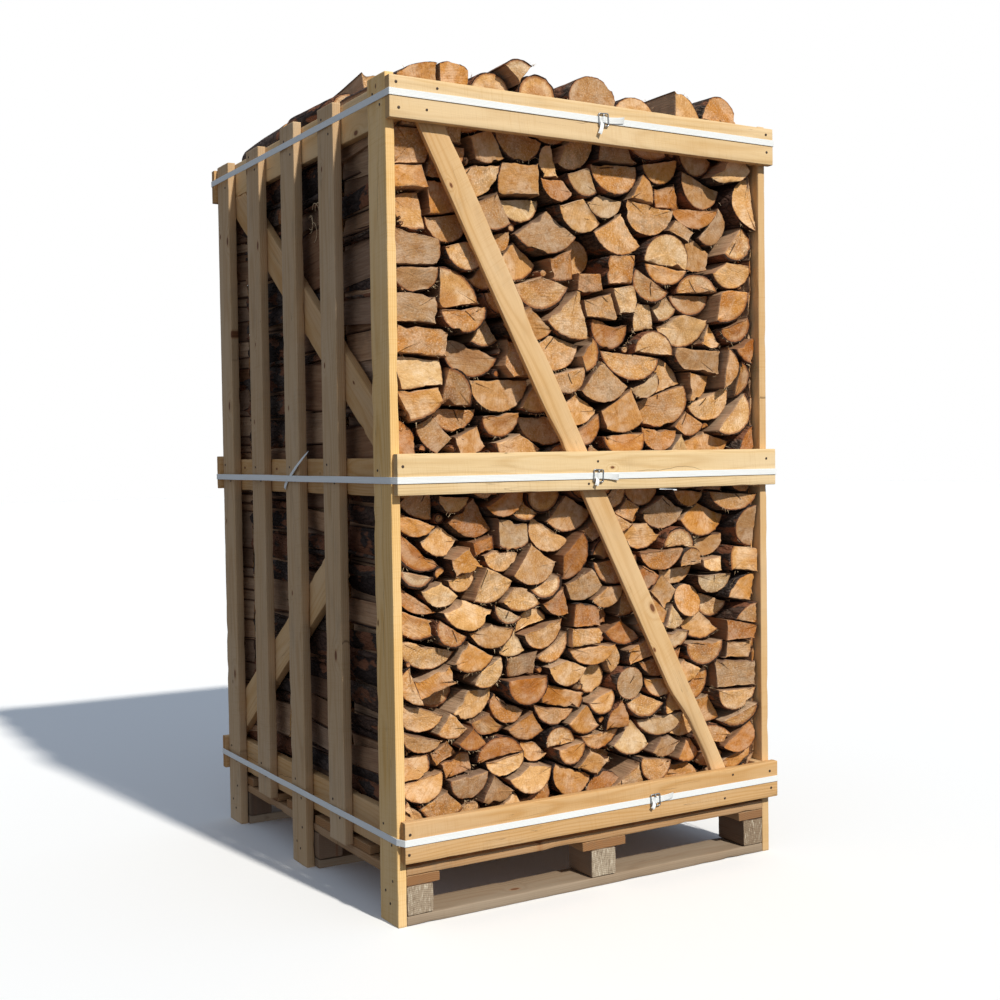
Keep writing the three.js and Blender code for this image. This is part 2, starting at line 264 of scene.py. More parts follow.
def wood_common(g):
    p = g.attr("pa")
    x, z, y = g.xyz(p)
    q = g.xyz(g.attr("pb"))
    R, el, rnd = q
    ze = g.m("DIVIDE", z, el)
    r = g.m("SQRT", g.m("ADD", g.m("MULTIPLY", x, x), g.m("MULTIPLY", ze, ze)))
    off = g.m("MULTIPLY", rnd, 37.0)
    rnd2 = g.m("FRACT", g.m("MULTIPLY", rnd, 17.31))
    rnd3 = g.m("FRACT", g.m("MULTIPLY", rnd, 71.7))
    return x, z, y, R, el, rnd, r, off, rnd2, rnd3


END_TONES = [
    (0.00, srgb(211, 155, 94)),
    (0.12, srgb(234, 184, 121)),
    (0.26, srgb(219, 157, 87)),
    (0.40, srgb(186, 122, 63)),
    (0.54, srgb(238, 192, 132)),
    (0.66, srgb(213, 153, 87)),
    (0.78, srgb(203, 153, 97)),
    (0.90, srgb(186, 144, 100)),
    (1.00, srgb(232, 192, 136)),
]


def make_end():
    g = G("firewood_end_grain")
    x, z, y, R, el, rnd, r, off, rnd2, rnd3 = wood_common(g)
    flat = g.vec(g.m("ADD", x, off), g.m("ADD", z, off), 0.0)
    warp = g.m("SUBTRACT", g.noise(flat, 24.0, 2.0), 0.5)
    rr = g.m("ADD", r, g.m("MULTIPLY", warp, 0.009))
    width = g.m("ADD", 0.0028, g.m("MULTIPLY", rnd2, 0.0026))
    rings = g.m("SINE", g.m("MULTIPLY", g.m("DIVIDE", rr, width), 6.2832))
    rings = g.m("POWER", g.m("ADD", g.m("MULTIPLY", rings, 0.5), 0.5), 2.2)
    ang = g.m("ARCTAN2", z, x)
    rays = g.noise(g.vec(g.m("ADD", g.m("MULTIPLY", g.m("COSINE", ang), 7.0), off), g.m("MULTIPLY", g.m("SINE", ang), 7.0), g.m("MULTIPLY", r, 14.0)), 2.0, 3.0, 0.6)
    blot = g.noise(flat, 20.0, 3.0, 0.6)
    blot2 = g.noise(g.vec(g.m("ADD", x, off), g.m("SUBTRACT", z, off), 0.0), 46.0, 4.0, 0.65)
    grit = g.noise(flat, 230.0, 3.0, 0.7)
    speck = g.noise(flat, 620.0, 2.0, 0.65)
    tone = g.ramp(rnd, END_TONES)
    dark = g.hsv(tone, 0.490, 1.18, 0.66)
    light = g.hsv(tone, 0.505, 0.74, 1.15)
    col = g.mix(g.m("MULTIPLY", rings, g.step(rnd3, 0.2, 0.8, 0.08, 0.30)), tone, dark)
    col = g.mix(g.step(rays, 0.4, 0.72, 0.0, 0.5), col, dark)
    col = g.mix(g.step(blot, 0.42, 0.64, 0.0, 0.8), col, light)
    col = g.mix(g.step(blot2, 0.48, 0.68, 0.0, 0.6), col, dark)
    # heartwood in the bigger stems, grey weathering in some
    heart = g.step(g.m("DIVIDE", rr, R), 0.6, 0.4, 0.0, 1.0)
    col = g.mix(g.m("MULTIPLY", heart, g.step(rnd3, 0.5, 0.95, 0.0, 0.6)), col, g.hsv(tone, 0.484, 1.12, 0.62))
    grey = g.step(g.m("ADD", g.noise(flat, 30.0, 4.0, 0.7), g.m("MULTIPLY", rnd2, 0.34)), 0.70, 0.94, 0.0, 0.48)
    col = g.mix(grey, col, srgb(162, 138, 110))
    # torn, fluffed fibres left by the saw, much on some ends and little on others
    fluff = g.step(rnd2, 0.25, 0.70, 0.35, 1.1)
    col = g.mix(g.m("MULTIPLY", fluff, g.step(grit, 0.54, 0.70, 0.0, 0.55)), col, g.hsv(tone, 0.488, 1.15, 0.5))
    col = g.mix(g.m("MULTIPLY", fluff, g.step(grit, 0.48, 0.32, 0.0, 0.65)), col, g.hsv(tone, 0.505, 0.62, 1.30))
    col = g.mix(g.m("MULTIPLY", fluff, g.step(speck, 0.56, 0.74, 0.0, 0.3)), col, g.hsv(tone, 0.49, 1.1, 0.5))
    # saw marks in one direction a log
    ca, sa = g.m("COSINE", g.m("MULTIPLY", rnd3, 6.28)), g.m("SINE", g.m("MULTIPLY", rnd3, 6.28))
    u = g.m("ADD", g.m("MULTIPLY", x, ca), g.m("MULTIPLY", z, sa))
    w = g.m("SUBTRACT", g.m("MULTIPLY", z, ca), g.m("MULTIPLY", x, sa))
    saw = g.noise(g.vec(g.m("MULTIPLY", u, 300.0), g.m("MULTIPLY", w, 14.0), off), 1.0, 2.0, 0.6)
    col = g.mix(g.step(saw, 0.5, 0.7, 0.0, 0.3), col, dark)
    # one or two drying checks run out from the pith
    k = g.m("ADD", g.m("COSINE", g.m("ADD", g.m("MULTIPLY", ang, 1.0), g.m("ADD", off, g.m("MULTIPLY", warp, 0.35)))), 1.0)
    k = g.m("MULTIPLY", g.m("SQRT", k), r)
    reach = g.m("MULTIPLY", R, g.m("ADD", 0.35, g.m("MULTIPLY", rnd3, 0.5)))
    check = g.m("MULTIPLY", g.step(k, 0.0004, 0.0013, 1.0, 0.0), g.step(r, reach, g.m("MULTIPLY", reach, 0.8), 0.0, 1.0))
    check = g.m("MULTIPLY", check, g.step(rnd2, 0.62, 0.64, 0.0, 1.0))
    col = g.mix(g.m("MULTIPLY", check, 0.85), col, srgb(52, 30, 18))
    # bark rim
    edge = g.m("SUBTRACT", R, g.m("ADD", r, g.m("MULTIPLY", g.m("SUBTRACT", g.noise(flat, 150.0, 2.0), 0.5), 0.004)))
    thick = g.m("ADD", 0.0014, g.m("MULTIPLY", g.m("MULTIPLY", rnd3, rnd3), 0.0040))
    inner = g.step(edge, g.m("MULTIPLY", thick, 2.4), g.m("MULTIPLY", thick, 1.4), 0.0, 0.7)
    col = g.mix(inner, col, srgb(146, 82, 42))
    bark = g.step(edge, g.m("MULTIPLY", thick, 1.2), g.m("MULTIPLY", thick, 0.85), 0.0, 1.0)
    col = g.mix(bark, col, g.ramp(grit, [(0.35, srgb(30, 21, 17)), (0.65, srgb(72, 52, 40))]))
    h = g.m("ADD", g.m("MULTIPLY", saw, 0.8), g.m("MULTIPLY", grit, 1.3))
    h = g.m("ADD", h, g.m("MULTIPLY", speck, 0.4))
    h = g.m("SUBTRACT", h, g.m("MULTIPLY", check, 2.5))
    nrm = g.bump(h, 0.85, 0.0016)
    return g.finish(col, g.step(speck, 0.3, 0.7, 0.74, 0.94), nrm, 0.2)


def make_split():
    g = G("firewood_split_face")
    x, z, y, R, el, rnd, r, off, rnd2, rnd3 = wood_common(g)
    # fibres run along the log
    fib = g.noise(g.vec(g.m("ADD", g.m("MULTIPLY", x, 260.0), off), g.m("MULTIPLY", z, 260.0), g.m("MULTIPLY", y, 9.0)), 1.0, 4.0, 0.62)
    band = g.noise(g.vec(g.m("ADD", g.m("MULTIPLY", x, 42.0), off), g.m("MULTIPLY", z, 42.0), g.m("MULTIPLY", y, 3.0)), 1.0, 3.0, 0.55)
    blot = g.noise(g.vec(g.m("ADD", x, off), z, y), 14.0, 3.0, 0.6)
    tone = g.ramp(rnd, [
        (0.0, srgb(178, 137, 103)), (0.2, srgb(212, 172, 134)), (0.4, srgb(140, 98, 68)), (0.6, srgb(214, 180, 145)),
        (0.8, srgb(132, 98, 74)), (1.0, srgb(184, 154, 128)),
    ])
    dark = g.hsv(tone, 0.488, 1.15, 0.5)
    col = g.mix(g.step(fib, 0.42, 0.72, 0.0, 0.6), tone, dark)
    col = g.mix(g.step(fib, 0.45, 0.3, 0.0, 0.4), col, g.hsv(tone, 0.505, 0.75, 1.2))
    col = g.mix(g.step(band, 0.5, 0.72, 0.0, 0.55), col, g.hsv(tone, 0.485, 1.1, 0.6))
    col = g.mix(g.step(blot, 0.5, 0.72, 0.0, 0.5), col, srgb(138, 112, 90))
    edge = g.m("SUBTRACT", R, r)
    col = g.mix(g.step(edge, 0.008, 0.003, 0.0, 0.8), col, srgb(84, 50, 32))
    col = g.mix(g.step(edge, 0.003, 0.0012, 0.0, 1.0), col, srgb(38, 28, 22))
    h = g.m("ADD", g.m("MULTIPLY", fib, 1.0), g.m("MULTIPLY", band, 1.2))
    nrm = g.bump(h, 0.85, 0.0026)
    return g.finish(col, 0.86, nrm, 0.18)


def make_bark():
    g = G("firewood_bark")
    x, z, y, R, el, rnd, r, off, rnd2, rnd3 = wood_common(g)
    v = g.vec(g.m("ADD", g.m("MULTIPLY", x, 70.0), off), g.m("MULTIPLY", z, 70.0), g.m("MULTIPLY", y, 22.0))
    warp = g.noise(v, 0.9, 3.0, 0.6, 0.0, True)
    vm = g.node("ShaderNodeVectorMath", {"operation": "MULTIPLY_ADD"})
    g.put(vm.inputs[0], warp)
    vm.inputs[1].default_value = (1.6, 1.6, 1.6)
    g.put(vm.inputs[2], v)
    plates = g.voronoi(vm.outputs[0], 1.0, "DISTANCE_TO_EDGE", "Distance")
    grain = g.noise(g.vec(g.m("MULTIPLY", x, 300.0), g.m("MULTIPLY", z, 300.0), g.m("ADD", g.m("MULTIPLY", y, 120.0), off)), 1.0, 4.0, 0.65)
    big = g.noise(g.vec(g.m("ADD", x, off), z, y), 11.0, 3.0, 0.6)
    base = g.ramp(rnd2, [(0.0, srgb(66, 56, 52)), (0.25, srgb(96, 84, 78)), (0.45, srgb(92, 66, 54)), (0.65, srgb(118, 102, 90)), (0.85, srgb(62, 50, 46)), (1.0, srgb(110, 82, 66))])
    groove = g.step(plates, 0.0, 0.16, 1.0, 0.0)
    col = g.mix(g.m("MULTIPLY", groove, 0.62), base, srgb(26, 20, 18))
    col = g.mix(g.step(grain, 0.5, 0.75, 0.0, 0.55), col, g.hsv(base, 0.5, 0.8, 1.7))
    col = g.mix(g.step(grain, 0.45, 0.28, 0.0, 0.6), col, g.hsv(base, 0.5, 1.0, 0.5))
    col = g.mix(g.step(big, 0.55, 0.72, 0.0, 0.6), col, srgb(116, 106, 94))
    # where bark has flaked away the reddish inner bark shows
    flake = g.step(g.m("ADD", g.noise(g.vec(g.m("ADD", x, off), z, g.m("MULTIPLY", y, 0.4)), 22.0, 3.0, 0.6), g.m("MULTIPLY", rnd3, 0.16)), 0.60, 0.66, 0.0, 1.0)
    col = g.mix(g.m("MULTIPLY", flake, 0.8), col, srgb(150, 98, 70))
    h = g.m("ADD", g.m("MULTIPLY", g.step(plates, 0.0, 0.3, 0.0, 1.0), 1.0), g.m("MULTIPLY", grain, 0.6))
    h = g.m("SUBTRACT", h, g.m("MULTIPLY", flake, 0.5))
    nrm = g.bump(h, 0.9, 0.0036)
    return g.finish(col, 0.92, nrm, 0.15)


def make_sliver():
    g = G("torn_fibres")
    p = g.attr("pa")
    n = g.noise(p, 260.0, 3.0, 0.6)
    n2 = g.noise(p, 900.0, 2.0, 0.6)
    col = g.mix(g.step(n, 0.4, 0.7), srgb(228, 204, 166), srgb(186, 146, 100))
    col = g.mix(g.step(n2, 0.5, 0.75, 0.0, 0.5), col, srgb(246, 232, 204))
    return g.finish(col, g.step(n2, 0.3, 0.7, 0.7, 0.9), g.bump(n2, 0.4, 0.0004), 0.2)


# ------------------------------------------------------------------ sawn board materials
# pa: place along, across and through the board, in metres, with its own offset.  pb: tone, half width, random number.


def make_board(name, tones, grey, knots=1.0, dirt=0.2):
    g = G(name)
    l, w, t = g.xyz(g.attr("pa"))
    tone_in, half, rnd = g.xyz(g.attr("pb"))
    off = g.m("MULTIPLY", rnd, 53.0)
    lo = g.m("ADD", l, off)
    # knots: sparse cells along the board; the grain bends round them
    kv = g.vec(g.m("MULTIPLY", lo, 4.2), g.m("MULTIPLY", w, 8.0), g.m("ADD", g.m("MULTIPLY", t, 6.0), off))
    kn = g.node("ShaderNodeTexVoronoi", {"feature": "F1", "voronoi_dimensions": "2D"}, Scale=1.0, Randomness=0.95)
    g.put(kn.inputs["Vector"], kv)
    kd = kn.outputs["Distance"]
    keep = g.step(g.xyz(kn.outputs["Color"])[0], 0.52, 0.54, 0.0, knots)
    size = g.m("ADD", 0.022, g.m("MULTIPLY", g.xyz(kn.outputs["Color"])[1], 0.034))
    bend = g.m("MULTIPLY", g.step(kd, 0.0, g.m("MULTIPLY", size, 4.5), 1.0, 0.0), keep)
    wave = g.noise(g.vec(g.m("MULTIPLY", lo, 1.5), g.m("MULTIPLY", w, 5.0), off), 1.0, 2.0)
    pith = g.m("ADD", 0.06, g.m("MULTIPLY", rnd, 0.09))
    ww = g.m("ADD", w, g.m("MULTIPLY", g.m("SUBTRACT", rnd, 0.5), 0.06))
    rad = g.m("SQRT", g.m("ADD", g.m("MULTIPLY", ww, ww), g.m("POWER", g.m("ADD", g.m("MULTIPLY", t, 1.0), pith), 2.0)))
    rad = g.m("ADD", rad, g.m("MULTIPLY", g.m("SUBTRACT", wave, 0.5), 0.034))
    rad = g.m("ADD", rad, g.m("MULTIPLY", bend, 0.009))
    rings = g.m("SINE", g.m("MULTIPLY", rad, 6.2832 / 0.0044))
    rings = g.m("POWER", g.m("ADD", g.m("MULTIPLY", rings, 0.5), 0.5), 2.6)
    fib = g.noise(g.vec(g.m("MULTIPLY", lo, 11.0), g.m("MULTIPLY", w, 420.0), g.m("ADD", g.m("MULTIPLY", t, 420.0), off)), 1.0, 3.0, 0.6)
    blot = g.noise(g.vec(g.m("MULTIPLY", lo, 2.2), g.m("MULTIPLY", w, 9.0), off), 1.0, 3.0, 0.6)
    blot2 = g.noise(g.vec(g.m("MULTIPLY", lo, 9.0), g.m("MULTIPLY", w, 22.0), off), 1.0, 4.0, 0.65)
    tone = g.ramp(tone_in, tones)
    late = g.hsv(tone, 0.49, 1.25, 0.76)
    col = g.mix(g.m("MULTIPLY", rings, 0.42), tone, late)
    col = g.mix(g.step(fib, 0.45, 0.75, 0.0, 0.34), col, late)
    col = g.mix(g.step(blot, 0.4, 0.68, 0.0, 0.45), col, g.hsv(tone, 0.505, 0.8, 1.1))
    col = g.mix(g.step(blot2, 0.52, 0.78, 0.0, grey), col, srgb(150, 134, 112))
    # sawn texture: fine marks across the board, patchy
    saw_k = g.step(g.noise(g.vec(g.m("MULTIPLY", lo, 5.0), g.m("MULTIPLY", w, 14.0), off), 1.0, 2.0), 0.35, 0.65, 0.12, 1.0)
    saw = g.noise(g.vec(g.m("MULTIPLY", g.m("ADD", lo, g.m("MULTIPLY", w, 0.12)), 330.0), g.m("MULTIPLY", w, 12.0), off), 1.0, 2.0, 0.6)
    col = g.mix(g.m("MULTIPLY", g.step(saw, 0.5, 0.72, 0.0, 0.24), saw_k), col, late)
    # knots
    k1 = g.m("MULTIPLY", g.step(kd, size, g.m("MULTIPLY", size, 0.72), 0.0, 1.0), keep)
    k2 = g.m("MULTIPLY", g.step(kd, g.m("MULTIPLY", size, 1.5), size, 0.0, 1.0), keep)
    col = g.mix(g.m("MULTIPLY", k2, 0.45), col, srgb(166, 108, 58))
    kr = g.m("ADD", g.m("MULTIPLY", g.m("SINE", g.m("MULTIPLY", kd, 520.0)), 0.5), 0.5)
    # a long drying crack here and there
    cw = g.m("ADD", w, g.m("MULTIPLY", g.m("SUBTRACT", g.noise(g.vec(g.m("MULTIPLY", lo, 6.0), off, 0.0), 1.0, 3.0, 0.6), 0.5), 0.05))
    cl = g.step(g.m("ABSOLUTE", cw), 0.0003, 0.0009, 1.0, 0.0)
    cl = g.m("MULTIPLY", cl, g.step(g.noise(g.vec(g.m("MULTIPLY", lo, 2.6), g.m("ADD", off, 9.0), 0.0), 1.0, 2.0), 0.60, 0.64, 0.0, 0.75))
    col = g.mix(cl, col, srgb(112, 76, 46))
    col = g.mix(g.m("MULTIPLY", k1, 0.9), col, g.mix(kr, srgb(128, 74, 36), srgb(92, 50, 26)))
    # handling dirt and rain marks
    d = g.noise(g.vec(g.m("MULTIPLY", lo, 5.0), g.m("MULTIPLY", w, 30.0), g.m("MULTIPLY", t, 30.0)), 1.0, 5.0, 0.7)
    col = g.mix(g.step(d, 0.6, 0.8, 0.0, dirt), col, srgb(96, 78, 60))
    # small dark checks along the grain
    ck = g.m("ABSOLUTE", g.m("SUBTRACT", g.noise(g.vec(g.m("MULTIPLY", lo, 2.4), g.m("MULTIPLY", w, 90.0), off), 1.0, 1.0), 0.5))
    ckm = g.m("MULTIPLY", g.step(ck, 0.0, 0.006, 1.0, 0.0), g.step(g.noise(g.vec(g.m("MULTIPLY", lo, 6.0), g.m("MULTIPLY", w, 8.0), off), 1.0, 1.0), 0.6, 0.66, 0.0, 1.0))
    col = g.mix(g.m("MULTIPLY", ckm, 0.55), col, srgb(84, 54, 32))
    h = g.m("ADD", g.m("MULTIPLY", fib, 0.8), g.m("MULTIPLY", saw, 0.8))
    h = g.m("SUBTRACT", h, g.m("MULTIPLY", rings, 0.25))
    h = g.m("SUBTRACT", h, g.m("MULTIPLY", ckm, 1.6))
    h = g.m("ADD", h, g.m("MULTIPLY", k1, 0.6))
    nrm = g.bump(h, 0.55, 0.0009)
    return g.finish(col, g.step(fib, 0.3, 0.7, 0.6, 0.78), nrm, 0.3)


def make_board_end(name, tones, dark=0.85, streaks=False):
    g = G(name)
    l, w, t = g.xyz(g.attr("pa"))
    tone_in, half, rnd = g.xyz(g.attr("pb"))
    off = g.m("MULTIPLY", rnd, 53.0)
    ww = g.m("ADD", w, g.m("MULTIPLY", g.m("SUBTRACT", rnd, 0.5), 0.06))
    pith = g.m("ADD", 0.06, g.m("MULTIPLY", rnd, 0.09))
    rad = g.m("SQRT", g.m("ADD", g.m("MULTIPLY", ww, ww), g.m("POWER", g.m("ADD", t, pith), 2.0)))
    rings = g.m("POWER", g.m("ADD", g.m("MULTIPLY", g.m("SINE", g.m("MULTIPLY", rad, 6.2832 / 0.0044)), 0.5), 0.5), 1.8)
    sp = g.noise(g.vec(g.m("ADD", w, off), t, 0.0), 500.0, 3.0, 0.65)
    bl = g.noise(g.vec(g.m("ADD", w, off), t, 0.0), 60.0, 3.0, 0.6)
    tone = g.hsv(g.ramp(tone_in, tones), 0.492, 1.08, dark)
    col = g.mix(g.m("MULTIPLY", rings, 0.45), tone, g.hsv(tone, 0.485, 1.2, 0.62))
    col = g.mix(g.step(sp, 0.5, 0.75, 0.0, 0.5), col, g.hsv(tone, 0.49, 1.1, 0.55))
    col = g.mix(g.step(bl, 0.5, 0.75, 0.0, 0.4), col, srgb(132, 112, 88))
    if streaks:
        st = g.noise(g.vec(g.m("MULTIPLY", g.m("ADD", w, off), 320.0), g.m("MULTIPLY", t, 60.0), off), 1.0, 4.0, 0.7)
        col = g.mix(g.step(st, 0.52, 0.68, 0.0, 0.75), col, srgb(112, 94, 74))
        col = g.mix(g.step(st, 0.46, 0.34, 0.0, 0.8), col, srgb(226, 214, 190))
        sp = g.m("ADD", sp, g.m("MULTIPLY", st, -1.4))
    nrm = g.bump(g.m("ADD", sp, g.m("MULTIPLY", rings, 0.3)), 0.6, 0.0008 if not streaks else 0.0022)
    return g.finish(col, 0.85, nrm, 0.2)


PINE = [(0.0, srgb(238, 208, 158)), (0.3, srgb(232, 196, 142)), (0.55, srgb(222, 180, 126)), (0.8, srgb(206, 162, 108)), (1.0, srgb(178, 138, 94))]
# a lighter, warmer pine for the front-left post: painted light, as if the sun grazed its outer face
PINE_LIT_TONES = [(0.0, srgb(250, 209, 142)), (0.3, srgb(246, 198, 128)), (0.55, srgb(236, 182, 112)), (0.8, srgb(218, 164, 98)), (1.0, srgb(188, 140, 84))]
# a darker, greyer pine for the slats and back posts: painted shade, the cooler and darker look of faces in shadow
PINE_SHADE_TONES = [(0.0, srgb(234, 206, 163)), (0.3, srgb(224, 193, 149)), (0.55, srgb(212, 179, 137)), (0.8, srgb(194, 161, 122)), (1.0, srgb(170, 140, 106))]
PALLET = [(0.0, srgb(196, 156, 112)), (0.35, srgb(176, 138, 98)), (0.7, srgb(158, 134, 108)), (1.0, srgb(172, 156, 134))]
BLOCK = [(0.0, srgb(196, 182, 158)), (0.5, srgb(178, 162, 138)), (1.0, srgb(152, 134, 110))]

# darker tones for the blocks' long sides and their inward ends: painted shade, as if they stood in the deep shade under
# the pallet
BLOCK_SIDE_PAINTED_SHADE = [(0.0, srgb(146, 122, 100)), (0.5, srgb(128, 104, 84)), (1.0, srgb(104, 84, 68))]


def make_strap():
    g = G("white_corded_strap")
    l, w, t = g.xyz(g.attr("pa"))
    cords = g.m("ADD", g.m("MULTIPLY", g.m("COSINE", g.m("MULTIPLY", w, 6.2832 / 0.00166)), 0.5), 0.5)
    fine = g.noise(g.vec(g.m("MULTIPLY", l, 160.0), g.m("MULTIPLY", w, 1600.0), t), 1.0, 3.0, 0.6)
    soil = g.noise(g.vec(g.m("MULTIPLY", l, 7.0), g.m("MULTIPLY", w, 90.0), 0.0), 1.0, 4.0, 0.7)
    col = g.mix(g.step(soil, 0.5, 0.8, 0.0, 0.3), srgb(250, 252, 250), srgb(218, 216, 208))
    col = g.mix(g.step(cords, 0.5, 0.0, 0.0, 0.18), col, srgb(196, 200, 198))
    col = g.mix(g.step(fine, 0.5, 0.75, 0.0, 0.15), col, srgb(206, 210, 208))
    h = g.m("ADD", cords, g.m("MULTIPLY", fine, 0.35))
    nrm = g.bump(h, 0.5, 0.0004)
    return g.finish(col, g.step(fine, 0.3, 0.7, 0.42, 0.6), nrm, 0.45)


def make_wire():
    g = G("galvanised_wire")
    p = g.attr("pa")
    n = g.noise(p, 700.0, 3.0, 0.6)
    n2 = g.noise(p, 90.0, 3.0, 0.6)
    col = g.mix(g.step(n2, 0.45, 0.7, 0.0, 0.5), srgb(176, 178, 180), srgb(116, 118, 120))
    return g.finish(col, g.step(n, 0.3, 0.7, 0.28, 0.46), g.bump(n, 0.3, 0.0002), 0.5, 1.0)


def make_nail():
    g = G("nail_head_steel")
    p = g.attr("pa")
    n = g.noise(p, 900.0, 3.0, 0.6)
    col = g.mix(g.step(n, 0.4, 0.7, 0.0, 0.7), srgb(74, 66, 60), srgb(106, 74, 54))
    return g.finish(col, g.step(n, 0.3, 0.7, 0.45, 0.7), g.bump(n, 0.4, 0.0003), 0.5, 0.6)


M_END, M_SPLIT, M_BARK = make_end(), make_split(), make_bark()
M_PINE = make_board("pine_sawn", PINE, 0.16, 1.0, 0.16)
M_PINE_END = make_board_end("pine_sawn_end", PINE)
M_PINE_LIT = make_board("pine_lit", PINE_LIT_TONES, 0.10, 1.0, 0.2)
M_PINE_LIT_END = make_board_end("pine_lit_end", PINE_LIT_TONES)
M_PINE_SHADE = make_board("pine_shade", PINE_SHADE_TONES, 0.30, 1.0, 0.28)
M_PINE_SHADE_END = make_board_end("pine_shade_end", PINE_SHADE_TONES, 0.8)
M_PALLET = make_board("pallet_sawn", PALLET, 0.55, 0.8, 0.45)
M_PALLET_END = make_board_end("pallet_sawn_end", PALLET, 0.8)
# M_BLOCK paints the blocks' long sides and inward ends in the darker painted-shade tones
M_BLOCK = make_board("block_sawn", BLOCK_SIDE_PAINTED_SHADE, 0.5, 0.4, 0.45)
M_BLOCK_END = make_board_end("block_sawn_end", BLOCK, 0.98, True)
M_STRAP, M_WIRE, M_NAIL, M_SLIVER = make_strap(), make_wire(), make_nail(), make_sliver()

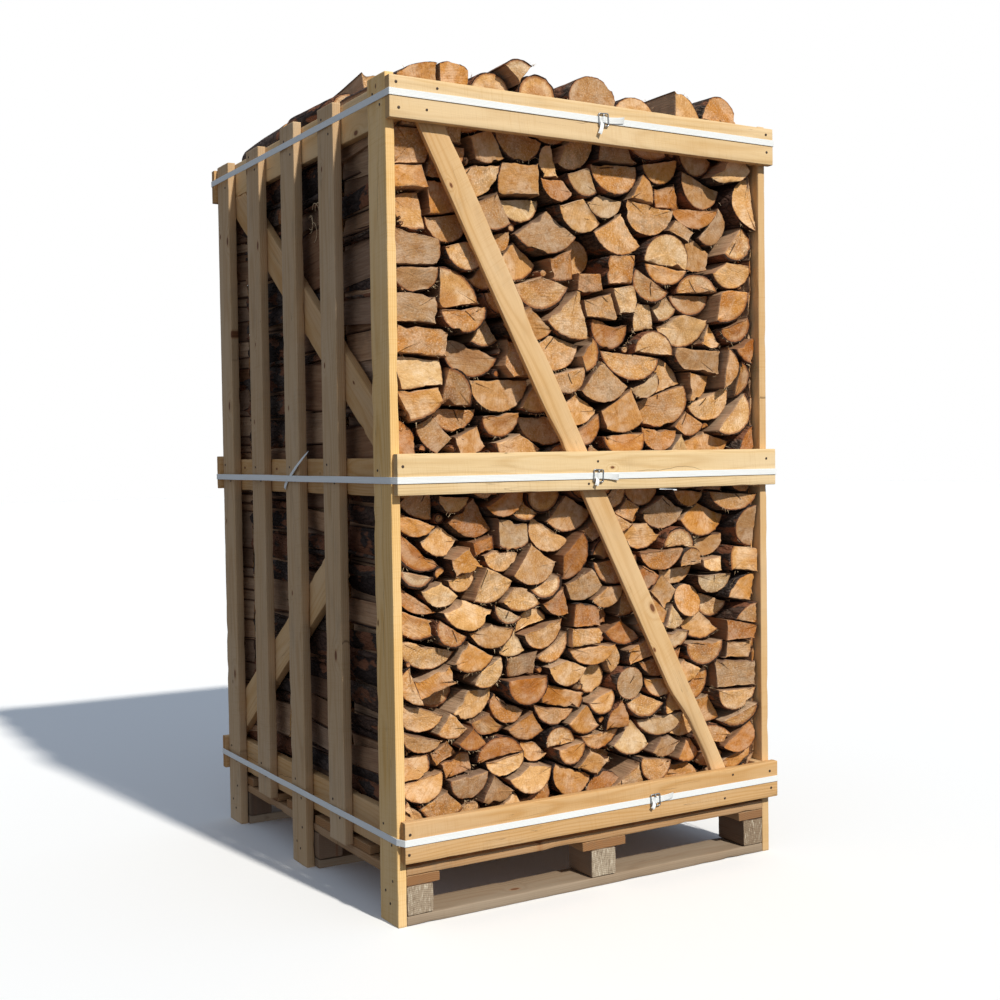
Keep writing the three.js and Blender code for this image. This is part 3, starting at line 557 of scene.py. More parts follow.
# ------------------------------------------------------------------ firewood
# One line a log: bark radius, flattening, x, z (mm), turn (rad), then the split planes as angle (degrees), distance (mm).
LOGS = {}
LOGS["front"] = [
    (59.7, 0.917, -169.5, 1784.4, -6.2977, 90.8, -3.3),
    (59.5, 0.94, -363.1, 1784.1, -0.1223, 97, -4),
    (89.9, 0.902, 19.3, 1783, -1.5708, -180, -34),
    (64.1, 0.977, 281.5, 1782.2, -6.1875, 84.5, -5.9),
    (96.6, 0.946, 183.6, 1761.4, 4.1931, -150.2, -1.8, 150.2, 1),
    (65.9, 0.924, 411.1, 1778.2, 0.1, 84.3, 4.4),
    (72.7, 0.911, -275.7, 1770.6, -7.1926, -142.1, 5.4, 142.1, 5.3),
    (98.2, 0.951, -79.2, 1763.5, 4.7297, -126.1, 7.9, 126.1, 2.2, -180, -20.6),
    (88.5, 0.921, -448.8, 1766, 0.1419, -98.2, 42.3, 81.6, 39.4, -185.5, -25.8),
    (105.2, 0.98, 97.1, 1735.7, -3.6815, -121.8, 5, 121.8, 3),
    (73.1, 0.932, 343.2, 1726.6, -1.601, -156.6, 7.6, 156.6, 1.4),
    (69.9, 0.976, -177.2, 1720.4, -6.629, 92.3, 6.7),
    (107.6, 0.956, -361.9, 1726.9, -4.7333, -85.7, 35.7, 93.3, 51.2, -182.3, -22.7, 5.2, 77.8),
    (81.7, 0.948, -11.5, 1712.1, -1.008, -143.5, 7, 143.5, 1.9, -180, -12),
    (67.4, 0.912, 433.6, 1711.7, -5.7526, 97.6, -8.4),
    (88.4, 0.93, -260.1, 1698.8, -1.1485, -96.6, 49, 93.1, 11.1, -183.2, -11.5),
    (60.7, 0.923, 231.6, 1692.3, -6.0236, 87.5, 0.2),
    (88.6, 0.932, -441.5, 1684.2, 0.0211, -83.3, 43.5, 87, 43.8, -175.5, -15),
    (70.7, 0.964, 96, 1666, 0.0653, 87.2, 7.8),
    (88.9, 0.937, -362.9, 1662.1, -0.9178, -139.1, 1.3, 139.1, -2.7),
    (71.4, 1, 353.3, 1652.9, -6.5208, 88.8, 1.6),
    (73.2, 0.913, -91, 1683.2, -3.0828, -100.7, 40.1, 88.2, 33.2, -172.7, -25.4),
    (127, 0.962, -173.5, 1636.9, -3.0489, -92.6, 57.3, 87.7, 19.3, -185.9, -21.9),
    (71.9, 0.96, 0.3, 1644.6, -1.9205, -142.9, -1.9, 142.9, 4.4),
    (109.3, 0.911, 260.1, 1635.2, -2.9522, -81.8, 33.8, 80.9, 43.4, -166.9, -20.8),
    (77.4, 0.91, -286.5, 1623.7, -7.5891, -164.3, -0.4, 164.3, 4.2),
    (71.8, 0.919, 458.2, 1631.4, -7.718, 82.2, -13.8),
    (71.4, 0.916, 175.8, 1638.8, -5.8524, -122.9, 4.2, 122.9, 1.7),
    (91.4, 0.968, -444.9, 1616, -2.8995, -97.3, 31.7, 81.2, 21.8, -180.9, -21.3),
    (56.5, 0.935, -75.5, 1621.3, 4.39, -160, 0.1, 160, 6.9),
    (60.4, 0.922, 72.3, 1598.2, -1.478, -163.8, 3.6, 163.8, -1.3),
    (69.3, 0.913, 324.5, 1587.2, -6.218, 88, -11.2),
    (67.4, 0.933, 187.8, 1577.5, -6.3682, 86.7, 12.9),
    (83.4, 0.915, -367.9, 1577.7, 0.8735, -132.5, -3.9, 132.5, 7.5),
    (57.7, 0.931, -159.2, 1574.7, 0.0488, 90.2, 4.7),
    (81.9, 0.99, -7.8, 1566, -8.0625, -153.1, -0.2, 153.1, -0.1),
    (105.2, 0.926, -250.6, 1553.4, -7.3809, -97.7, 63.1, 89.6, 20.7, -180.7, -22.6),
    (55, 0.945, 399, 1564.6, -5.5187, 96.8, 10.5),
    (96.4, 0.939, -440.8, 1548, 4.7814, -81.3, 48.3, 91.1, 15.8, -178.9, -5.9),
    (94.3, 0.957, 278.6, 1549.9, -5.282, -86.2, 47.2, 81.8, 30.2, -170.6, -36.1, 5.4, 72.9),
    (94.6, 0.906, 106.7, 1528, -1.7695, -136.2, 6.5, 136.2, 5.3),
    (105.4, 0.941, -95.5, 1517.2, -7.8901, -144.1, -4.5, 144.1, 4.1),
    (55.5, 0.992, -352.9, 1518.5, 0.0511, 94.6, 10.3),
    (66.9, 0.932, 241.6, 1497.9, -3.1753, 83.5, 15.6),
    (47.6, 0.967, 444.1, 1523, -5.3396, 90.6, 12.2),
    (58.6, 0.96, -239.6, 1489.3, -6.1997, 94.6, 2.3),
    (110.7, 0.913, 344.4, 1496.1, -8.1788, -80.7, 30.4, 100.8, 45.6, -193.8, -28.5),
    (49.1, 0.909, 19.9, 1482.8, -9.8617),
    (107.7, 0.911, -433.6, 1463.5, -0.0686, -83.4, 42.3, 81.3, 44.7, -173.8, -10.4),
    (65.4, 0.949, -320.1, 1453.6, -8.0209, -155.1, 5.9, 155.1, 6.2),
    (95.9, 0.96, -168.3, 1448.4, -7.7638, -141.1, -4.8, 141.1, 0.3),
    (112.8, 0.919, 104.7, 1448.8, -3.224, -81.8, 51.3, 98.3, 19.5, -183.8, -31),
    (65.9, 0.941, 236.1, 1444.2, -0.0654, 85.3, -13.5),
    (66.1, 0.902, 427, 1452, -1.3017, -161.6, 5.8, 161.6, 2.4),
    (110.6, 0.919, -54.8, 1446.9, -7.6739, -86.6, 47.3, 87.7, 26.3, -168.7, -38.8),
    (58.7, 0.969, 333.5, 1424.6, -3.0702, 88.8, -3.2),
    (48.4, 0.977, -430.9, 1401.2, -0.0534, 95.7, 11.3),
    (65.5, 1, -258.4, 1410.2, -7.8486, -139.6, 0.6, 139.6, 5.3),
    (85.9, 0.958, 21.5, 1411.3, -7.673, -100.5, 38, 97.6, 24.8, -187.5, -31.3),
    (53.3, 0.976, 184.7, 1409.6, -6.9469, 95.2, 6.3),
    (82.5, 0.988, -113.7, 1383.2, -7.844, -161.4, 0.4, 161.4, 0.3),
    (104.1, 0.939, -341.4, 1380.8, 0.8593, -132.2, -5.3, 132.2, -2.1, -180, -15.7),
    (66.2, 0.94, 327.2, 1379.2, -0.0272, 94.5, -8.6),
    (91.3, 0.917, 425.5, 1375.6, -7.1964, -142.5, -3.3, 142.5, -1.7, -180, -10.8),
    (85.9, 0.935, 117.3, 1379.2, 0.2773, -100.1, 36.3, 82.2, 29.8, -176.8, -17.8),
    (65.6, 0.96, -221.9, 1357.1, -1.7564, -157.3, -0.9, 157.3, 3.9),
    (89, 0.99, 46.4, 1357.1, -7.7237, -82, 48.3, 101.6, 42.3, -173.9, -10.7, -11.1, 64.1),
    (63.6, 0.91, 243, 1361.7, -7.1938, -98.2, 32.9, 86.2, 28.2, -179.3, -6.7),
    (130.5, 0.988, -434.5, 1333.6, -6.3596, -88.2, 25.9, 92.6, 40.9, -178.9, -42.3),
    (125.9, 0.943, -39.9, 1325.3, -1.8545, -121.7, 0.7, 121.7, -2.1, -180, -10.1),
    (86.5, 0.993, 176.3, 1338.3, 3.2103, -99.7, 43.5, 93.9, 11.2, -173.2, -18.3),
    (78.1, 0.946, 296.7, 1311.5, -7.7186, -164.4, 2.8, 164.4, 4.9),
    (61.9, 0.917, -324.5, 1316.5, -0.0077, 97.4, 4),
    (89.1, 0.997, -158.1, 1304.8, -7.921, -144.9, -3.6, 144.9, -2.5),
    (44.3, 0.998, 441, 1314.6, -5.9178, 92.2, 10.4),
    (62, 0.971, 80.1, 1297.4, -6.373, 91.5, 10.2),
    (133, 0.938, -419.4, 1264.7, 1.4565, -90.5, 67.7, 93.1, 45.2, -175.9, -47.1, 4, 116),
    (60, 0.953, 197.8, 1274.5, -3.0848, 84.9, 3.5),
    (85.4, 0.952, -255.3, 1286.2, -7.8015, -121.7, -1.4, 121.7, 0.5),
    (79.9, 0.978, -77.4, 1247.3, -7.7135, -160.7, 10.1, 160.7, 1.9),
    (61.4, 0.958, 375.3, 1291.7, -7.8069, -127.7, 3.6, 127.7, 2.2),
    (117.6, 0.951, 334.2, 1239.2, -8.0149, -98.7, 71, 98, 49.6, -172.8, -44.7, 3, 104.2),
    (71.3, 0.999, -298.4, 1230.8, -6.6832, 92.4, 3.5),
    (94.5, 0.913, -180.6, 1225.6, 0.6514, -127.8, 4.4, 127.8, 7, -180, -14.3),
    (71.8, 0.957, 457.2, 1261.7, -2.1254, -121.8, 1.4, 121.8, -3.2),
    (82.5, 0.929, 129, 1223.2, -6.4188, 91.4, -9.5),
    (115.8, 0.983, -424.7, 1197.3, -6.1225, -92.3, 40.1, 78.3, 38.6, -177.5, -14.9),
    (52.4, 0.976, 15.5, 1243.8, -6.4576, -155, 6.2, 155, -3.2),
    (94, 0.985, 248.4, 1201.6, -5.3434, -126.7, 0.7, 126.7, -0.6, -180, -7.9),
    (59.6, 0.962, 415.6, 1220.1, -6.3561, -180, -21.5),
    (49, 0.997, -49.9, 1184.3, -6.0517, 90.1, 8.7),
    (84.7, 0.909, 339.3, 1177.2, -7.1264, -132.1, -1.8, 132.1, -6.1),
    (95, 0.966, 47.9, 1172.7, -1.4764, -137.7, 6.3, 137.7, 4.1),
    (78.1, 0.933, -224.4, 1153.3, -6.4166, 97.2, 3.5),
    (84.3, 0.924, -338.7, 1160, 0.7313, -133.3, 5.9, 133.3, 1.1),
    (43.3, 0.97, 177.4, 1172.3, -5.8622, 92.7, 5.5),
    (78.2, 0.914, 235.9, 1123, -5.8732, 83.1, 12.4),
    (109.3, 0.949, -427.7, 1129.2, 5.0083, -85.1, 27.6, 100.7, 49.9, -190, -35.1),
    (87, 0.982, -116.9, 1141.5, -7.6704, -130.6, 3.6, 130.6, 3),
    (63.9, 0.979, 380.7, 1129.8, -5.7916, 86.3, 2.9),
    (47.2, 0.923, 451.6, 1193.5, -11.1795, 97.4, -7.6),
    (77.7, 0.973, -25.3, 1113.2, -1.5217, -145.7, 1, 145.7, 3),
    (104.2, 0.919, 108.5, 1106.3, -7.3576, -97.8, 64.1, 88.3, 33.5, -177.4, -14.7),
    (59.4, 0.936, -326.6, 1097.4, 0.0938, 86.3, -0.8),
    (54.1, 0.939, -215.7, 1084.9, 0.1681, 85.2, 7.2),
    (66.1, 0.995, 438.4, 1097.9, -5.2948, 83.5, -6.9),
    (74.3, 0.946, -102.5, 1071, -8.1272, -166.2, -3.8, 166.2, -3.4),
    (64.4, 0.922, 311.2, 1080.4, -7.7231, -141.6, 5.6, 141.6, 0),
    (77.9, 0.952, -390, 1060.6, -8.8391, -90.5, 40.2, 96.1, 36.2, -167.5, -14.1),
    (54.2, 0.968, 11.9, 1064, -5.8259, 95.7, -0.9),
    (49.8, 0.987, 217.8, 1049, -0.0848, 89.3, 8.4),
    (88.5, 0.93, -294.9, 1043.2, -7.6189, -91.7, 38.1, 94.4, 35.3, -172.4, -27.6),
    (56, 0.962, -460.6, 1043.2, -4.7145, 90.1, -7.5),
    (76.9, 0.968, -172.7, 1023.1, -1.6892, -156.6, 2.8, 156.6, 4.8),
    (79, 0.985, 364.3, 1026.4, -7.8258, -158.8, 2.9, 158.8, -0.4),
    (57.6, 0.907, 113.9, 1035.2, 0.1145, 87.8, 10.1),
    (67.3, 0.939, 462.2, 1023.4, -9.4248, -180, -24.2),
    (74.3, 0.908, -52.1, 1012.3, 1.6189, -180, -24.7),
    (80.2, 0.972, -348, 975.6, -0.2158, 97.8, 8.9),
    (72.1, 0.969, 276, 1016.5, -7.9249, -122.9, 2.9, 122.9, -3.7),
    (66.1, 0.91, 187.5, 988.4, 1.2526, -166.2, -3.1, 166.2, 2.5),
    (56.2, 0.993, 63.7, 988.9, -6.9053, 94.3, 3.7),
    (54.6, 0.995, -223.2, 981.3, -6.7189, 82.4, -6.6),
    (62.3, 0.964, -57.7, 969.7, -0.0535, 95.8, -8),
    (44.7, 0.983, 404.1, 978.9, -5.8006, 86.7, -2.5),
    (117.7, 0.935, 292.5, 956.3, -0.0899, -89, 31.8, 94.7, 30.9, -176.4, -17.8),
    (79.7, 0.936, -437.1, 933.9, -2.8846, -167.4, -4.5, 167.4, 2.6),
    (71.6, 0.971, -140.8, 954.8, -9.9807, -130.8, 2.7, 130.8, -4.3),
    (64.4, 0.989, 173.7, 927.8, -0.1521, 94.4, 13),
    (58.3, 0.999, -261.6, 939.5, -7.7436, -143.7, -3.6, 143.7, 2),
    (32.9, 0.926, 447.3, 942.7, -6.0229),
    (80.5, 0.936, 14, 933.6, -7.8159, -144.5, -1.5, 144.5, 4.7),
    (72.1, 0.984, 369.8, 938, -6.5255, -80, 39.4, 79, 14.7, -178.4, -7.2),
    (39, 0.913, -358.6, 908.5, -6.3281, 88.6, 6.1),
    (54.3, 0.998, -219.1, 907, -5.8764, 97.8, 0.5),
    (47.3, 0.94, -105.2, 908.1, -6.0814, 87.4, 12.4),
    (44.3, 0.958, 81.6, 912.4, -5.4092, 84.9, 2.6),
    (53.5, 0.943, 304.9, 904.2, -6.4345, 94.5, -8.7),
    (61.8, 0.915, 417.8, 893.9, -0.051, 89.1, -8.8),
    (103.6, 0.93, -303.1, 864.8, -1.7327, -135, -6.3, 135, -5.5),
    (76.7, 0.963, 235.5, 865.2, -7.8286, -150.2, 4, 150.2, 7.4),
    (86.5, 0.912, -38.2, 868.8, -1.3864, -141.9, 2.9, 141.9, 2.1),
    (68.6, 0.908, 119.6, 877.2, -6.8877, -81.2, 36.2, 94.3, 14.6, -193, -7.6, 3.7, 59.6),
    (55.1, 0.958, -165.7, 881.8, -1.5222, -133.7, 3.7, 133.7, -2.3),
    (42.5, 0.932, -444.4, 862.1, -6.679, 88.1, 3.1),
    (87.7, 0.944, 355.6, 844, -1.4419, -150.9, 7, 150.9, -2.4),
    (59.2, 0.929, 72.2, 853.3, -6.6672, 86.5, -9.3),
    (77.2, 0.993, -198.4, 831.8, -7.8754, -84, 44.7, 96.5, 37.7, -189.6, -6.5),
    (70.1, 0.963, -378.7, 821.7, -1.6153, -149.6, 2.4, 149.6, 3),
    (83, 0.931, 164.2, 813, -7.8394, -144.5, 4, 144.5, -3, -180, -16.5),
    (54.5, 0.99, -99, 821.4, -0.6771, 96.8, 4.4),
    (54.5, 0.992, 456.8, 827.2, -1.605, 92, 0.6),
    (63.5, 0.928, 20.3, 831.9, -8.6597, -96.1, 22.5, 80.8, 24.6, -186.8, -5.2, -0.3, 52.6),
    (84.4, 0.903, -273.9, 810.1, 0.081, -79.6, 27.9, 97.9, 10.5, -170.4, -21.8),
    (51.5, 0.946, 269.5, 802.7, -3.0963, 88.2, 4),
    (61, 0.936, 67.8, 791.5, 1.462, -167.4, 0, 167.4, 8),
    (72.4, 0.911, -29.8, 771, -6.6535, -157.7, 8.4, 157.7, 2.3),
    (60.1, 0.976, -440.7, 794.9, -6.9475, 84.9, -8.3),
    (51.2, 0.903, 374.4, 782.8, -6.0165, 86.8, 5.4),
    (55.4, 0.957, -229.5, 774.9, -7.8259, -166.9, 0.7, 166.9, -2.9),
    (68.7, 0.921, 211.8, 757.3, -0.0095, 91.4, -10.5),
    (107.5, 0.988, -328.8, 774, -2.7012, -85.6, 46.5, 79.3, 25.1, -167.5, -35.6),
    (93.2, 0.976, -140.9, 755.8, -1.4222, -139.3, 3, 139.3, 6.2),
    (35.6, 0.998, 303.6, 754.9, -2.9746, 85.2, 10.3),
    (62.3, 0.904, 83.6, 738.1, -6.0347, 82.2, 8.5),
    (100.4, 0.928, 444.3, 744.5, -9.6686, -85.4, 29.1, 98, 31.7, -166, -26.7),
    (43, 0.992, -442.9, 745.6, -6.686, 97.1, -5.7),
    (39.2, 0.916, -327.8, 730.4, 0.3081, 86.9, 5.6),
    (66.6, 0.934, 373.4, 734.5, -7.7526, -99.4, 36.7, 82.9, 24.6, -180.7, -25.9),
    (79.5, 0.982, -261.1, 716.5, -7.508, -134.7, 5.3, 134.7, 5.3),
    (52.9, 0.981, 280.4, 714, 0.2245, 82, -6.9),
    (59.3, 0.957, 158.4, 711.2, -7.7325, -143, 3.2, 143, 5.9),
    (81.8, 0.92, -4.7, 701.9, -7.4551, -92.6, 43.5, 101.4, 29.5, -175.8, -17.7),
    (45.9, 1, -106, 704.4, -6.0088, 97.3, -2),
    (63.1, 0.923, -391.8, 705.2, -8.0231, -152.1, -1.6, 152.1, -2.6),
    (54.7, 0.915, 377.2, 690.6, 0.1064, 85, 2.1),
    (82.1, 0.984, -186, 683.7, 4.6802, -130.1, 6, 130.1, -0.3, -180, -20.1),
    (110.9, 0.949, 224.8, 675.7, -7.0253, -87.2, 28.6, 93.7, 30.6, -188.5, -31.6),
    (51.5, 0.991, 59.8, 674.7, -1.2474, -161.2, 2.4, 161.2, 3),
    (52.8, 0.902, -449.5, 696.8, -7.0373, 87.4, -12.7),
    (75.8, 0.925, -325.8, 657.2, -7.7953, -155.1, 5.3, 155.1, -3.7),
    (43.2, 0.955, 305.6, 649.2, -7.1335),
    (68.4, 0.987, 448.7, 671.3, -4.0769, -132.4, -3, 132.4, 5.7),
    (72.5, 0.945, -73.2, 663.8, -2.0027, -125.9, -2.8, 125.9, 6.2),
    (82.8, 0.999, 127.6, 655.6, -7.3908, -130.3, 1, 130.3, -4.4),
    (41.8, 0.999, -226.9, 650.1, -6.7857, 94.6, -6),
    (80.7, 0.993, -3.8, 633.7, -10.9787, -92.8, 49.7, 78.6, 31.4, -183.4, -21.2),
    (51.9, 0.922, -144.1, 634.1, -3.0495, 97.8, -2.1),
    (76.8, 0.953, -445.9, 641.8, -8.0065, -81.3, 44.3, 99.9, 27.4, -193.1, -18.6),
    (48.5, 0.979, 391.4, 628.8, -6.6886, 96.8, 7.8),
    (103.9, 0.974, 183.8, 614.9, -7.1496, -86.7, 41.8, 100, 44.7, -171.1, -26.7, -14, 88),
    (55, 0.998, 59.1, 623.8, -0.0191, -78.8, 27, 97.9, 20.3, -177.8, -5.3),
    (59.4, 0.979, -264.9, 607.1, -7.8078, -165, 1, 165, 1.7),
    (43.3, 0.943, -371.5, 615.2, -6.8174, 90.8, 6),
    (65.6, 0.929, -119, 595.7, 0.1433, 94.9, -4.6),
    (59.6, 0.994, 256.5, 605.6, -7.6987, -127.9, 1.9, 127.9, 3.1),
    (72.3, 0.914, 344.3, 580.4, -7.9661, -145, 5.1, 145, -2.7),
    (84.5, 0.95, -4.9, 583.7, -4.8366, -96.2, 49.7, 97.9, 18.5, -170.5, -19.7, 4.7, 66.9),
    (63.1, 0.982, 458.1, 606.4, -4.0528, -127.8, -4, 127.8, -2.7),
    (69, 0.943, 105.3, 580.4, -7.9306, -141.3, 5.3, 141.3, -5.3),
    (71.6, 0.981, -419.1, 576, -6.5655, 89.5, -12.3),
    (69.7, 0.914, -206.1, 578.5, -7.948, -125.9, -4.6, 125.9, 6.2),
    (50.7, 0.937, 244.6, 560.6, 0.088, 82.1, 0.1),
    (72.2, 0.906, -315, 558.8, -7.6679, -138.7, 5.3, 138.7, 0.2),
    (90.1, 0.92, 435.8, 565.5, 1.3529, -93.8, 54.3, 102, 8.4, -167.7, -15.2, -0.9, 66.4),
    (125.7, 0.972, 160.5, 537.7, -9.0736, -87.8, 27.6, 82.5, 34.6, -169.5, -26.1),
    (53.8, 0.981, -81, 556.8, -5.7216, 92.2, -9.1),
    (61.3, 0.933, 13.9, 541.4, 0.0289, 90.8, -8.9),
    (59.9, 0.902, 341.1, 519.9, -0.0403, 91.8, 10.2),
    (96.5, 0.923, -174.3, 529.5, -3.0542, -85.9, 24.8, 87.4, 35.7, -187.3, -13.5),
    (96.6, 0.92, -398, 514.1, -4.3202, -87, 48.9, 82.7, 47, -181.4, -25.1, -2, 71.8),
    (92.8, 0.99, 441.4, 517.6, -6.2466, -97.4, 26.9, 87.7, 17.6, -180.4, -15.9),
    (52.6, 0.913, -265.3, 518.8, -7.0985, -163.3, 6.3, 163.3, 1),
    (65.7, 0.942, 213.6, 501, -5.9941, 86, -6.6),
    (68.4, 0.934, -56.1, 502.1, -7.9342, -163.7, -2.7, 163.7, -3.3),
    (43.2, 0.927, 82.3, 523.3, -6.2608, -154.2, 5.8, 154.2, 4.4),
    (42.1, 0.905, 32.4, 477.2, -5.9746),
    (57.9, 0.922, -164.8, 473.5, -0.0611, 95.8, 12.3),
    (43.5, 0.943, 118.9, 462.4, -6.2122),
    (101.9, 0.948, 428.1, 458.1, 1.6082, -92, 50, 93.5, 47, -184.1, -12.8, -8, 83.9),
    (67.4, 0.952, 281, 472.6, -1.4647, -144.9, -3.5, 144.9, -1.1),
    (51.9, 0.949, -371, 475.4, -5.9304, 90.7, 4.4),
    (70.6, 0.986, -297.5, 454, -1.1619, -156.4, 1.9, 156.4, -1.1),
    (47.8, 0.922, -457.6, 508.5, -7.691, 95.9, -7),
    (124.8, 0.965, -65, 445.7, -0.2383, -86.1, 29.2, 84.7, 27.3, -178.6, -17.4),
    (50.4, 0.945, 204.8, 444.8, -1.8469, -168.9, 0.7, 168.9, 3.4),
    (54.6, 0.946, 333, 436.7, -5.5973, 82, 10.9),
    (52.6, 0.97, -435.7, 437.8, -6.8241, 96.5, 4.1),
    (40.2, 0.999, 46.1, 419.6, -5.9911, 94.2, 7.8),
    (44.2, 0.929, -214.5, 429.4, -6.9481, 94.6, 11.3),
    (73.4, 0.932, -90.4, 407.6, -8.0246, -180, -27.4),
    (64.1, 0.935, 165.5, 400.9, -7.8303, -155.9, 5.5, 155.9, -3.7),
    (53.9, 0.995, 425.3, 397.4, -0.0545, 91.2, 4.1),
    (59.9, 0.906, -365.1, 407.8, -7.7718, -134.1, 0.1, 134.1, 3.4),
    (74.6, 0.937, 253.8, 403.9, -3.7271, -128.6, 0.1, 128.6, -5.1),
    (60.8, 0.952, -267, 399.6, -8.0491, -149.5, -1.8, 149.5, -2.1),
    (70.1, 0.971, -8.2, 380.1, -1.7063, -136.6, 3.7, 136.6, 1.2),
    (86.3, 0.936, 90.2, 380.7, -3.6711, -122.2, 1.2, 122.2, -4.1, -180, -16.2),
    (73.2, 0.965, -160.4, 381.5, -1.7622, -139, -5, 139, 5.3),
    (52.8, 0.965, -437.1, 386.6, -6.5777, 86.2, -10.5),
    (72.8, 0.941, 351.2, 369.3, -1.9852, -142.1, 0.5, 142.1, 4.7),
    (57, 0.961, -321.2, 374.9, -7.9472, -135.1, 0.6, 135.1, 1),
    (64.8, 0.9, 215.1, 352.4, 0.1662, 85.5, -6.9),
    (38.7, 0.979, -78.7, 354, -9.4125, 97.5, 8.9),
    (61.6, 0.963, -239.9, 345.2, -2.965, 89.6, -7.2),
    (49.6, 0.992, 441.4, 345.9, -5.7997, 88.6, -6.8),
    (79.7, 0.901, 45.6, 331.9, 4.747, -180, -33),
    (59.4, 0.926, -384.2, 353.2, -10.5008, -79, 30, 90.6, 28.1, -183.8, -5.6, 2.1, 46.3),
    (77.5, 0.992, 293.2, 336.3, -1.5337, -129.6, -1.5, 129.6, -2.1),
    (70.5, 0.965, -449.7, 333.9, -0.0434, -78.9, 41.4, 90.9, 21.1, -178.8, -7.6),
    (91.8, 0.924, 137.2, 316.6, -1.5941, -134, -0.2, 134, -2.9),
    (80.4, 0.941, -344.1, 320.6, 1.8563, -100.7, 35.8, 90.7, 33.4, -190.6, -22.1, 8.3, 71.9),
    (45.1, 0.944, -139.6, 323.2, 4.2863, -164.7, 4.4, 164.7, 1.3),
    (42.1, 0.953, -53.6, 314.6, 0.1031, 92.3, 11.3),
    (72.2, 0.922, 371.1, 305.8, 1.6201, -141.3, 5.1, 141.3, 7.5, -180, -19.9),
    (50.6, 0.91, -219, 305.5, -6.1979, 94.9, 3),
    (64, 0.995, 230.5, 295.6, -7.6626, -141.9, 2.3, 141.9, 0.4, -180, -8.5),
    (84.1, 0.968, 5.5, 285.7, -6.8856, -78.3, 28.6, 97.9, 28.2, -188.1, -5.2, -10.4, 66.5),
    (69.8, 0.921, -157.7, 266.9, -1.4295, -162.6, -1.5, 162.6, -0.1),
    (48.7, 0.986, -428.6, 283.3, -5.9869, 83.9, 9.5),
    (47.2, 0.936, 444.7, 289.5, -5.5416, 86.9, 3.8),
    (54.3, 0.962, -319.1, 272.5, 0.189, 84.9, 6),
    (69.9, 0.943, 295.2, 275.3, 4.7584, -130.3, -2.2, 130.3, 1.5, -180, -11.5),
    (37.6, 0.993, 87.4, 274.4, -6.6731, 88.8, 8.5),
    (56, 0.994, -54.2, 250.2, -6.5672, 83.7, 10.7),
    (48.4, 0.976, 189.2, 247.3, -6.339, 83, 12.5),
    (67.4, 0.98, 366.9, 253.5, 4.7608, -137.1, 1.2, 137.1, 5.4, -180, -11.6),
    (75, 0.928, -248.5, 248.3, -1.2933, -126.7, 5.3, 126.7, -2.7),
    (60.2, 0.94, 35.5, 227.3, -4.2757, -165.7, 1.6, 165.7, -0.2),
    (75.3, 0.979, -386.9, 230.3, -7.9878, -142.1, -2, 142.1, 4.4),
    (79.4, 0.932, 279.8, 220.6, 4.7306, -139.3, 4.5, 139.3, 1.1, -180, -20.4),
    (45.9, 0.947, 443.1, 238.2, -5.8913, 93.2, -2.2),
    (46.4, 1, -135.8, 213.3, -5.9828, 95.2, 6.6),
    (92.1, 0.953, 116.2, 222.4, -7.3642, -87.5, 45.6, 82.1, 43.7, -168.1, -34.2),
    (68.3, 0.93, 370, 195.1, -2.9543, 87.2, -9.7),
    (70.3, 0.917, -308.4, 203.9, 4.6559, -129.5, -2.6, 129.5, 3.2, -180, -17.9),
    (44.4, 0.952, -456.2, 222.3, -7.2026, 85.4, -8.5),
    (95.1, 0.939, -44.9, 190.8, 0.1824, -91.5, 29.4, 82.3, 18.8, -174.2, -24.9),
    (60.9, 0.969, 210.1, 187.2, -1.7939, -152.5, -1.1, 152.5, 3.2),
    (93.9, 0.948, -218.8, 194.5, -1.1784, -96.6, 37.4, 89, 41, -166.2, -26.6, -12.3, 82.1),
    (52.9, 0.923, -362.4, 171.1, 4.3725, -162.4, 2, 162.4, 3.1),
    (84.6, 0.964, -103.5, 175.5, -2.6383, -78.3, 45.8, 79.1, 10.8, -192.6, -18.2, 14.5, 73.4),
    (80.7, 0.954, -454.2, 170.6, -0.2256, -83.2, 23, 88.7, 30.1, -167, -18, 12.8, 71.1),
    (41.5, 0.901, 457.6, 171.5, -4.914, 89.8, 0.6),
    (130, 1, -426.2, 1833.8, 0, 0, 12, 180, 86, -90, -68),
    (92, 1, -335.9, 1841.5, 1.55, 90, 42, -90, 42, 180, -20, 0, 90),
    (57, 1, -233.6, 1837.1, 0.03, -90, 10),
    (53, 1, 162.5, 1834.2, 0.03, -90, 8),
    (82, 1, 298.7, 1841.4, 0, 180, 0, -90, 0),
    (61, 1, 405.6, 1852.5, -0.03, -90, 9),
    (53, 1, -118.3, 1841.3, -0.06, -90, 22),
    (71, 0.86, 22.8, 1847.3, 0.08, -90, 20),
    (58, 1, -177.5, 1881.7, 0.03, -42, 0, 228, 0),
    (35, 1, 56.5, 166.5, 0),
    (31.6, 1, 141.5, 163.5, 0),
    (27, 1, 278.5, 158.5, 0),
    (25.1, 1, -289.1, 155, 0, 19.4, 9.1),
    (24.5, 1, -171.8, 153.7, 0, 16.3, 4.3),
    (23, 1, 412, 154.5, 0),
    (19.5, 1, -29, 151, 0),
    (9.5, 1, 470.8, 1425.7, 0, 156.6, 6.5),
    (9.1, 1, -470.5, 559.5, 0),
    (9, 1, 470.5, 216.5, 0),
    (9, 1, -469.6, 1106.4, 0, 177.5, 4.7),
    (18.5, 1, 355.2, 152.2, 0, 200, 5.5),
    (8.3, 1, -471.5, 371, 0),
    (8.3, 1, 471.4, 1491.4, 0, 244.5, 5.2),
    (8, 1, -472.7, 140.1, 0, 322.4, 5),
    (18, 1, -407.4, 155.5, 0, 254.7, 2.7),
    (7.5, 1, 472, 1164.5, 0),
    (7.5, 1, -473, 1374.7, 0, 73.2, 2.5),
    (7.5, 1, -472.5, 1516.5, 0),
